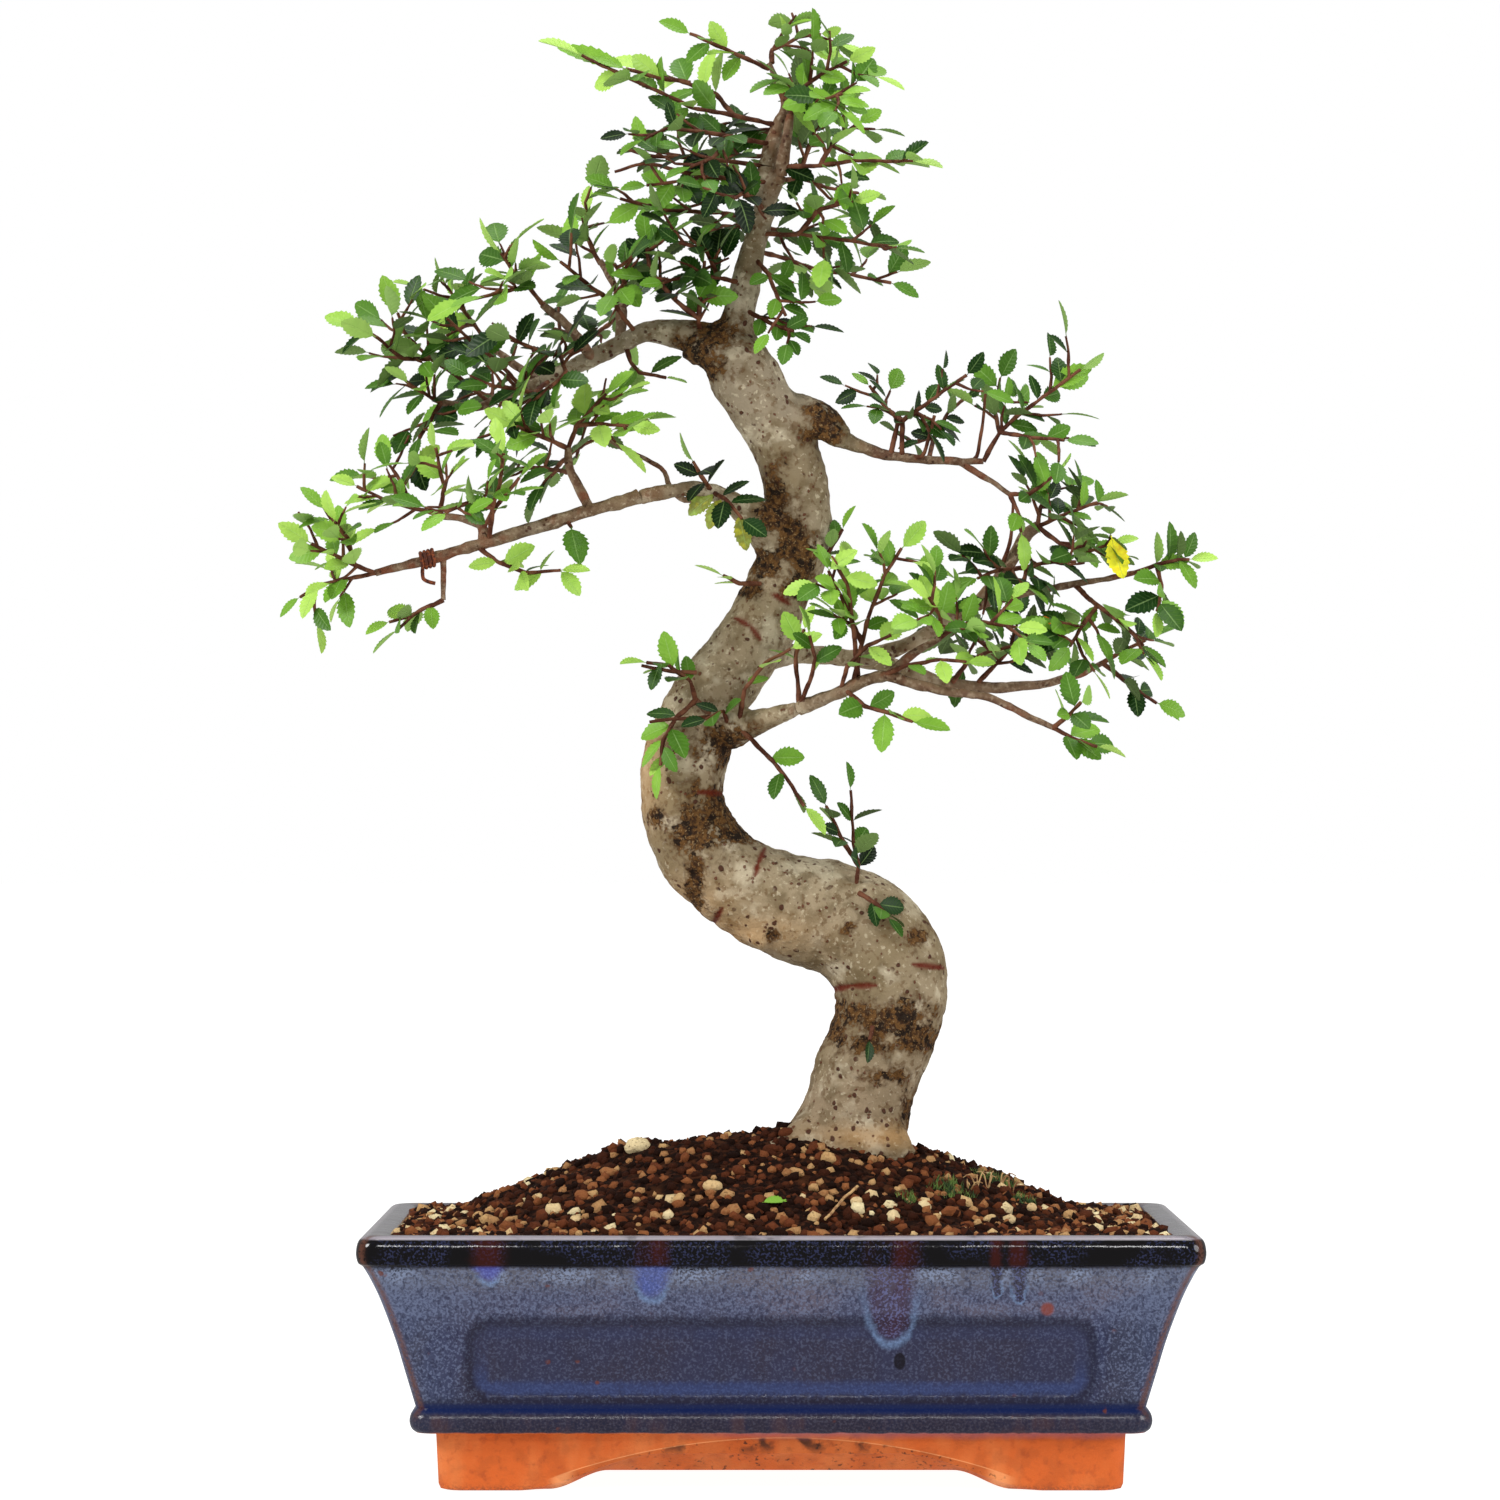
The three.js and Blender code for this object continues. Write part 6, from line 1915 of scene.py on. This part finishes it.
def with_sunk_panels(ring):
    """A level of the wall, pushed in where the four panels are."""
    right, back = ring[:, 0] - POT_X, ring[:, 1]
    pulled = panel_inset(ring)
    sunk = ring.copy()
    sunk[:, 0] -= np.sign(right) * pulled * (np.abs(right) > np.abs(right).max() - 0.01)
    sunk[:, 1] -= np.sign(back) * pulled * (np.abs(back) > np.abs(back).max() - 0.01)
    return sunk


def drained(pot):
    """The pot with its drainage holes cut through the floor."""
    cutters = []
    turns = [2 * math.pi * step / DRAIN_SIDES for step in range(DRAIN_SIDES)]
    for side in (-1, 1):
        middle = POT_X + side * DRAIN_OFFSET
        circle = [(middle + DRAIN_RADIUS * math.cos(turn), DRAIN_RADIUS * math.sin(turn)) for turn in turns]
        levels = [np.array([(x, y, z) for x, y in circle]) for z in (FLOOR_UNDERSIDE - 5, FLOOR_TOP + 5)]
        cutters.append(placed(lofted("drain_cutter", levels), "drain_cutter"))
        hole = pot.modifiers.new("drain", "BOOLEAN")
        hole.operation = "DIFFERENCE"
        hole.object = cutters[-1]
        hole.solver = "EXACT"
    pot = settled(pot, "glazed_pot")
    for cutter in cutters:
        bpy.data.objects.remove(cutter)
    return pot


def corner_wear(places):
    """How near each place lies to an upright corner of the pot, where the glaze is worn."""
    half_x, half_y = np.abs(places[:, 0] - POT_X), np.abs(places[:, 1])
    apart = np.abs(half_x - half_y - (RIM_LENGTH - RIM_DEPTH) / 2)
    return smoothstep((3.5 - apart) / 3.0) * (half_x > 80)


def build_pot(finishes):
    rings = foot_rings()
    profile = curved(BEAD_PROFILE, 3) + curved(WALL_PROFILE, 8) + curved(RIM_PROFILE, 4)
    for height, inset in profile + curved(INNER_PROFILE, 3)[1:]:
        ring = level_ring(height, inset)
        on_panels = PANEL_LOW - 1 < height < PANEL_HIGH + 1 and inset < OUTER_WALL_INSET
        rings.append(with_sunk_panels(ring) if on_panels else ring)
    pot = drained(placed(lofted("pot", rings), "glazed_pot"))
    give(pot.data, "corner", corner_wear(points_of(pot.data)))
    pot.data.materials.clear()
    pot.data.materials.append(finishes["glaze"])
    pot.data.set_sharp_from_angle(angle=SHARP_ANGLE)
    ride(pot, "pot", "pot")


def screen_paint():
    paint = Paint("screen_plastic")
    grain = paint.noise(1.5, 3)
    return paint.finish(paint.mix(grain, rgb(34, 38, 34), rgb(58, 62, 56)), 0.6, grain * 0.1)


# The soil, its grit and what lies on it

MOUND_X = 8
MOUND_HALF_LENGTH = 130
MOUND_HALF_DEPTH = 92
MOUND_HEIGHT = 31
MOUND_POWER = 1.3
SOIL_EDGE = 91
SOIL_LEVELS = [(FLOOR_TOP, 33), (32, 28), (43, 25.5), (69, 18), (84, 13), (89.5, 12)]
SOIL_RINGS = 46
SOIL_TOP_FROM = 88
# The heights between which the stones thin out
STONY_BELOW = (98, 112)
# A height over the whole soil, in metres, from which its surface is looked for
OVER_SOIL = 0.3
# Heaps of grit on the mound: x, y, height and half width
HEAPS = [
    (-45, -4, 4, 12), (12, -6, 4, 13), (64, -4, 3, 12), (-22, -20, 2.5, 16), (84, 20, 2, 14),
    (-60, 10, 2, 18),
]

# Pebbles: x, z in the middle plane, radius and tone, from dark crumb to pale pumice
PEBBLES = [
    (-41.7, 116.5, 5.4, 0.93), (-13.6, 102.4, 3.7, 0.8), (-26.2, 97.6, 3.6, 0.74), (-72.3, 94, 3.4, 0.86),
    (-87.8, 90.3, 3, 0.66), (52.7, 91, 3.6, 0.9), (88.5, 90.6, 3, 0.8), (28.8, 112.8, 3.6, 0.72),
    (17, 107.6, 3.2, 0.68), (23.6, 102, 3, 0.7), (-52, 108, 3, 0.6), (-100, 92, 2.6, 0.7),
    (-62, 99, 3.2, 0.55), (-35, 91.5, 3, 0.64), (4, 97, 3.4, 0.42), (39, 97, 3, 0.86),
    (66, 99, 2.8, 0.62), (74, 93, 3.2, 0.5), (104, 95, 2.6, 0.82), (118, 92.5, 2.8, 0.7),
    (132, 93, 2.4, 0.55), (-78, 97, 2.6, 0.5), (-4, 108, 3.2, 0.36), (8, 116, 3.4, 0.3),
    (14, 122, 3.6, 0.34), (-24, 113, 3, 0.46), (60, 105, 3, 0.34), (94, 101, 2.6, 0.3),
]
PEBBLE_SEED = 41
PEBBLE_PROUD_SHARE = 0.35
PEBBLE_SIZE = 0.82
# The least size of a pebble along its three axes, and how much longer each axis may be
PEBBLE_AXES = ((1.05, 0.35), (0.75, 0.2), (0.65, 0.25))
FULL_TURN = 6.28
HALF_TURN = 3.14

# The seed and the unevenness of each form of stone in the grit, and the two layers of grit
STONE_FORMS = {"Round_Stone": (11, 0.3), "Sharp_Stone": (12, 0.55), "Long_Stone": (13, 0.8)}
GRIT_LAYERS = {
    "grit_crumbs": {
        "Spacing": 0.0023, "Density": 160000.0, "Everywhere": 1.0, "Smallest": 0.0007, "Largest": 0.0025,
        "Sink": 0.0002, "Palest": 0.72, "Darkness": 1.9, "Seed": 3,
    },
    "grit_stones": {
        "Spacing": 0.0044, "Density": 36000.0, "Everywhere": 0.14, "Smallest": 0.0011, "Largest": 0.0034,
        "Sink": 0.0004, "Palest": 1.0, "Darkness": 1.3, "Seed": 21,
    },
}

# A straw on the soil and places of root hairs in x and z of the middle plane
STRAW = [(27.7, 89.6), (31, 93.4), (35.6, 98.4), (39.8, 101.8)]
STRAW_LIFT = np.array([0.0, 0.0, 2.2])
STRAW_RADIUS = 0.55
ROOT_HAIRS = [(80, 109), (84, 112), (88, 111.5), (92, 112), (96, 109.5)]
HAIR_SEED = 77
HAIRS_A_PLACE = 3
HAIR_DROP = 8
HAIR_SINK = np.array([0, 0, 1.5])
HAIR_BEND = np.array([0, 0, 2.5])
HAIR_RADII = (0.3, 0.25, 0.15)

# Moss: x, z in the middle plane and reach, and behind the trunk x, y and reach
MOSS = [(71.9, 102.5, 7), (77, 101, 6), (88.5, 106.2, 6), (93, 104.6, 5), (58, 98.5, 4)]
BACK_MOSS = [(-40, 60, 8), (70, 56, 9), (-84, 40, 6), (100, -30, 5)]
MOSS_SEED = 63
MOSS_TURN = 6.283
BLADES_A_MM = 14
BLADE_POINTS = [(-0.09, 0, -0.2), (0.09, 0, -0.2), (0, 0.1, -0.2), (0.02, 0.02, 1.0)]
BLADE_FACES = [(0, 2, 1), (0, 1, 3), (1, 2, 3), (2, 0, 3)]
BLADE_LEAN = 0.7


def ground_height(x, y):
    spread = ((x - MOUND_X) / MOUND_HALF_LENGTH) ** 2 + (y / MOUND_HALF_DEPTH) ** 2
    height = SOIL_EDGE + MOUND_HEIGHT * max(0.0, 1 - spread) ** MOUND_POWER
    for heap_x, heap_y, heap, half in HEAPS:
        height += heap * math.exp(-((x - heap_x) ** 2 + (y - heap_y) ** 2) / half ** 2)
    return height


def crumb_form(name, seed, spread):
    """An uneven stone of twenty faces, one unit in radius."""
    draw = seeded_draw(seed)
    maker = bmesh.new()
    bmesh.ops.create_icosphere(maker, subdivisions=1, radius=1.0)
    for vertex in maker.verts:
        vertex.co *= 1 - spread / 2 + spread * draw()
    mesh = bpy.data.meshes.new(name)
    maker.to_mesh(mesh)
    maker.free()
    mesh.shade_smooth()
    return placed(mesh, name)


def grit_growth():
    """Stones scattered over the marked top of the base, turned and sized at random."""
    growth = Growth("grit_on_soil", {
        "Spacing": "Float", "Density": "Float", "Everywhere": "Float", "Smallest": "Float",
        "Largest": "Float", "Sink": "Float", "Palest": "Float", "Darkness": "Float",
        "Round Stone": "Object", "Sharp Stone": "Object", "Long Stone": "Object", "Seed": "Int",
        "Finish": "Material",
    })
    seed = growth["Seed"]
    density = growth.named("low").most(growth["Everywhere"])
    points = growth.geo(
        "DistributePointsOnFaces", growth["Geometry"], growth.named("top"), growth["Spacing"],
        growth["Density"], None, density, seed, distribute_method="POISSON",
    )
    points = growth.moved(points, growth.node("ShaderNodeCombineXYZ", None, {2: growth["Sink"] * -1}))
    shade = growth.random(0.0, 1.0, seed + 1).math("POWER", growth["Darkness"]) * growth["Palest"]
    points = growth.geo(
        "StoreNamedAttribute", points, None, "tone", shade, data_type="FLOAT", domain="POINT"
    )
    turns = {axis: growth.random(0.0, FULL_TURN, seed + 2 + axis) for axis in range(3)}
    stones = growth.on_points(
        points, growth.forms("Round Stone", "Sharp Stone", "Long Stone"),
        growth.node("FunctionNodeRandomValue", {"data_type": "INT"}, {4: 0, 5: 2, 8: seed + 5}, 2),
        growth.node("ShaderNodeCombineXYZ", None, turns),
        growth.random(growth["Smallest"], growth["Largest"], seed + 6),
    )
    growth.end(growth.dressed(stones))
    return growth


def tuft_growth():
    """Thin blades standing on the base's points."""
    growth = Growth("tufts", {
        "Blade": "Object", "Shortest": "Float", "Longest": "Float", "Seed": "Int", "Finish": "Material",
    })
    seed = growth["Seed"]
    blade = growth.geo("ObjectInfo", growth["Blade"], output=4)
    turn = growth.node("FunctionNodeRandomValue", {"data_type": "FLOAT_VECTOR"}, {
        0: (-BLADE_LEAN, -BLADE_LEAN, 0.0), 1: (BLADE_LEAN, BLADE_LEAN, FULL_TURN), 8: seed,
    })
    size = growth.random(growth["Shortest"], growth["Longest"], seed + 1)
    points = growth.geo("MeshToPoints", growth["Geometry"])
    growth.end(growth.dressed(growth.on_points(points, blade, None, turn, size)))
    return growth


def soil_relief_growth():
    """Clods and crumbs on the soil's marked top."""
    growth = Growth("soil_relief", {"Clods": "Float", "Crumbs": "Float"})
    clods = (growth.noise(22, 3) - 0.5) * growth["Clods"]
    crumbs = (growth.noise(3.5, 4) - 0.5) * growth["Crumbs"]
    rise = growth.node("ShaderNodeCombineXYZ", None, {2: (clods + crumbs) * growth.named("top")})
    growth.end(growth.moved(growth["Geometry"], rise))
    return growth


def soil_paint():
    paint = Paint("potting_soil")
    grain = paint.noise(3, 5)
    colour = paint.layers(
        rgb(28, 15, 9),
        (grain.step(0.45, 0.62), rgb(60, 34, 21)),
        (paint.noise(12, 3).step(0.55, 0.7) * 0.5, rgb(70, 42, 25)),
    )
    return paint.finish(colour, 0.92, grain * 0.8, Specular_IOR_Level=0.1)


def grit_paint():
    """Crumbs and stones: their tone runs from dark bark over reddish clay to pale pumice."""
    paint = Paint("grit")
    tone = paint.attribute("tone")
    grain = paint.noise(0.9, 3)
    colour = paint.ramp(tone + (grain - 0.5) * 0.12, [
        (0.0, rgb(28, 15, 9)), (0.22, rgb(58, 31, 20)), (0.42, rgb(98, 54, 34)), (0.58, rgb(134, 84, 52)),
        (0.75, rgb(188, 152, 104)), (1.0, rgb(224, 208, 164)),
    ])
    pits = paint.noise(0.7, 3).step(0.6, 0.72) * tone.step(0.5, 0.7)
    colour = paint.mix(pits * 0.5, colour, rgb(120, 88, 58))
    return paint.finish(colour, 0.9, grain * 0.5 - pits * 0.4, Specular_IOR_Level=0.1)


def patchy_paint(name, size, detail, tones, roughness, relief):
    """Two tones in soft patches."""
    paint = Paint(name)
    patchy = paint.noise(size, detail)
    return paint.finish(paint.mix(patchy.step(0.4, 0.6), *tones), roughness, patchy * relief)


def moss_paint():
    return patchy_paint("moss", 4, 2, (rgb(42, 66, 28), rgb(96, 122, 54)), 0.8, 0.1)


def straw_paint():
    return patchy_paint("straw", 3, 3, (rgb(186, 150, 100), rgb(140, 100, 64)), 0.7, 0.2)


def soil_top_ring(share):
    """A ring on the mound, at that share of the way out to the pot's wall."""
    ring = level_ring(SOIL_EDGE, SOIL_LEVELS[-1][1] + GAP)
    ring[:, 0] = POT_X + (ring[:, 0] - POT_X) * share
    ring[:, 1] *= share
    ring[:, 2] = [ground_height(x, y) for x, y, _ in ring]
    return ring


def build_soil(finishes):
    rings = [level_ring(height, inset + GAP) for height, inset in SOIL_LEVELS]
    rings[0][:, 2] += GAP
    rings += [soil_top_ring(1 - index / (SOIL_RINGS + 0.5)) for index in range(1, SOIL_RINGS + 1)]
    mesh = lofted("soil", rings)
    heights = points_of(mesh)[:, 2]
    give(mesh, "top", (heights > SOIL_TOP_FROM).astype(float))
    give(mesh, "low", smoothstep((STONY_BELOW[1] - heights) / (STONY_BELOW[1] - STONY_BELOW[0])))
    soil = soil_relief_growth().run(placed(mesh, "soil"), "soil_body", Clods=0.008, Crumbs=0.003)
    dress(soil, finishes["soil"])
    ride(soil, "soil", "soil")
    return soil


def on_ground(ground, x, z):
    """Where the line of sight through x, z of the middle plane meets the soil, in millimetres."""
    sight = unit(np.array([x, 0.0, z]) - EYE)
    hit = ground.ray_cast(Vector(EYE * MM), Vector(sight))[0]
    return np.array(hit) / MM if hit else None


def below(ground, x, y):
    """The soil's surface at x, y, in millimetres."""
    hit = ground.ray_cast(Vector((x * MM, y * MM, OVER_SOIL)), Vector((0, 0, -1)))[0]
    return np.array(hit) / MM


def build_grit(finishes, soil):
    stones = {title: crumb_form(title.lower(), *shape) for title, shape in STONE_FORMS.items()}
    growth = grit_growth()
    for name, settings in GRIT_LAYERS.items():
        base = placed(soil.data.copy(), name)
        ride(growth.run(base, name, Finish=finishes["grit"], **settings, **stones), "soil")
    for stone in stones.values():
        bpy.data.objects.remove(stone)


def root_hairs(ground):
    """Fine roots that stand out of the soil, a few at each place."""
    draw = seeded_draw(HAIR_SEED)
    routes = []
    for x, z in ROOT_HAIRS:
        root = on_ground(ground, x, z - HAIR_DROP)
        if root is None:
            continue
        for _ in range(HAIRS_A_PLACE):
            tip = root + np.array([(draw() - 0.5) * 12, (draw() - 0.5) * 8, 3 + draw() * 4])
            middle = (root + tip) / 2 + HAIR_BEND
            routes.append(list(zip((root - HAIR_SINK, middle, tip), HAIR_RADII)))
    return routes


def build_straws(finishes, ground, growth):
    straw = [on_ground(ground, x, z) for x, z in STRAW]
    straw = [(place + STRAW_LIFT, STRAW_RADIUS) for place in straw if place is not None]
    straws = grow_wood(
        growth, "straws", [straw, *root_hairs(ground)], Sides=5, Step=0.0015, Wander=0.002, Knots=0.3,
        Finish=finishes["straw"],
    )
    ride(straws, "soil")


def build_pebbles(finishes, ground):
    """The larger stones, each at its own place."""
    draw = seeded_draw(PEBBLE_SEED)
    maker = bmesh.new()
    tones = []
    for x, z, radius, tone in PEBBLES:
        place = on_ground(ground, x, z)
        if place is None:
            continue
        first = len(maker.verts)
        centre = place + np.array([0, radius * 0.5, radius * PEBBLE_PROUD_SHARE])
        turn = Matrix.Rotation(draw() * FULL_TURN, 4, "Z") @ Matrix.Rotation(draw() * HALF_TURN, 4, "X")
        shape = Matrix.Diagonal((*(least + more * draw() for least, more in PEBBLE_AXES), 1.0))
        matrix = Matrix.Translation(Vector(centre * MM)) @ turn @ shape
        bmesh.ops.create_icosphere(maker, subdivisions=3, radius=PEBBLE_SIZE * radius * MM, matrix=matrix)
        maker.verts.ensure_lookup_table()
        tones += [tone] * (len(maker.verts) - first)
    mesh = bpy.data.meshes.new("pebbles")
    maker.to_mesh(mesh)
    maker.free()
    give(mesh, "tone", tones)
    growth = Growth("pebble_relief", {"Lumps": "Float"})
    growth.end(growth.raised((growth.noise(4, 2) - 0.5) * growth["Lumps"]))
    pebbles = growth.run(placed(mesh, "pebbles"), "pebbles", Lumps=0.003)
    dress(pebbles, finishes["grit"])
    ride(pebbles, "soil")


def build_moss(finishes, ground):
    draw = seeded_draw(MOSS_SEED)
    places = []
    seen = [(on_ground(ground, x, z), reach) for x, z, reach in MOSS]
    behind = [(below(ground, x, y), reach) for x, y, reach in BACK_MOSS]
    for middle, reach in seen + behind:
        if middle is None:
            continue
        for _ in range(round(reach * BLADES_A_MM)):
            angle, share = draw() * MOSS_TURN, math.sqrt(draw())
            x = middle[0] + reach * share * math.cos(angle)
            y = middle[1] + reach * share * math.sin(angle)
            places.append(below(ground, x, y))
    blade_mesh = bpy.data.meshes.new("moss_blade")
    blade_mesh.from_pydata(BLADE_POINTS, [], BLADE_FACES)
    blade = placed(blade_mesh, "moss_blade")
    moss = tuft_growth().run(
        placed(mesh_of("moss_places", places), "moss_places"), "moss", Blade=blade, Shortest=0.0022,
        Longest=0.0045, Seed=5, Finish=finishes["moss"],
    )
    bpy.data.objects.remove(blade)
    ride(moss, "soil")


# Floor, light and camera

WHITE = (1.0, 1.0, 1.0, 1.0)
FLOOR_REACH = 30
FLOOR_DROP = 0.0004
FLOOR_SHINE = 0.97
# How bright the white room is for the object, against 1 for the camera
ROOM_LIGHT = 0.38
# The lamps: name, place, aim, width and power
LAMPS = [
    ("key", (-2.3, -1.3, 1.7), (0, 0, 0.25), 1.0, 62), ("fill", (2.3, -1.2, 1.1), (0, 0, 0.25), 1.4, 38),
    ("gleam", (-0.45, -3.6, 1.7), (0, 0, 0.1), 0.35, 10), ("gleam", (0.45, -3.6, 1.7), (0, 0, 0.1), 0.35, 10),
    ("top", (0.2, 0.3, 2.4), (0, 0, 0.3), 1.8, 32),
]
LENS = 158.9
SENSOR_WIDTH = 36
TILT = math.radians(90.753)


def build_stage():
    """A wide floor a little below the feet, which shines white and so meets the room unseen."""
    mesh = bpy.data.meshes.new("floor")
    corners = [(-1, -1), (1, -1), (1, 1), (-1, 1)]
    points = [(x * FLOOR_REACH, y * FLOOR_REACH, -FLOOR_DROP) for x, y in corners]
    mesh.from_pydata(points, [], [(0, 1, 2, 3)])
    paint = Paint("pale_floor")
    mottle = paint.noise(400, 2)
    pale = paint.mix(mottle, rgb(134, 134, 133), rgb(138, 138, 137))
    mesh.materials.append(paint.finish(pale, 0.9, Emission_Color=WHITE, Emission_Strength=FLOOR_SHINE))
    floor = placed(mesh, "floor")
    floor.visible_glossy = False


def add_light(name, place, target, size, power):
    lamp = bpy.data.lights.new(name, "AREA")
    lamp.shape = "DISK"
    lamp.size = size
    lamp.energy = power
    light = bpy.data.objects.new(name, lamp)
    bpy.context.scene.collection.objects.link(light)
    light.location = place
    light.rotation_euler = (Vector(target) - Vector(place)).to_track_quat("-Z", "Y").to_euler()


def build_studio():
    world = bpy.data.worlds.new("studio")
    world.use_nodes = True
    graph = Graph(world.node_tree)
    seen = graph.node("ShaderNodeLightPath")
    strength = seen * (1 - ROOM_LIGHT) + ROOM_LIGHT
    sky = graph.node("ShaderNodeBackground", None, {0: WHITE, 1: strength})
    graph.node("ShaderNodeOutputWorld", None, {0: sky})
    scene = bpy.context.scene
    scene.world = world
    scene.view_settings.view_transform = "Standard"
    for lamp in LAMPS:
        add_light(*lamp)
    camera = bpy.data.cameras.new("camera")
    camera.lens = LENS
    camera.sensor_width = SENSOR_WIDTH
    eye = bpy.data.objects.new("camera", camera)
    eye.location = EYE * MM
    eye.rotation_euler = (TILT, 0, 0)
    scene.collection.objects.link(eye)
    scene.camera = eye


def build_part():
    paints = {
        "bark": bark_paint, "twig": twig_paint, "leaf": leaf_paint, "rust": rust_paint, "glaze": glaze_paint,
        "soil": soil_paint, "grit": grit_paint, "moss": moss_paint, "straw": straw_paint,
        "screen": screen_paint,
    }
    finishes = {name: paint() for name, paint in paints.items()}
    wood = wood_growth()
    build_wood(finishes, wood)
    build_tie(finishes, wood)
    build_pot(finishes)
    soil = build_soil(finishes)
    build_grit(finishes, soil)
    ground = BVHTree.FromObject(soil, bpy.context.evaluated_depsgraph_get())
    build_pebbles(finishes, ground)
    build_straws(finishes, ground, wood)
    build_moss(finishes, ground)
    build_leaves(finishes, ground)
    for node in ("drain_screen_left", "drain_screen_right"):
        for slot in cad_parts[node].material_slots:
            slot.material = finishes["screen"]


build_studio()
build_stage()
build_part()
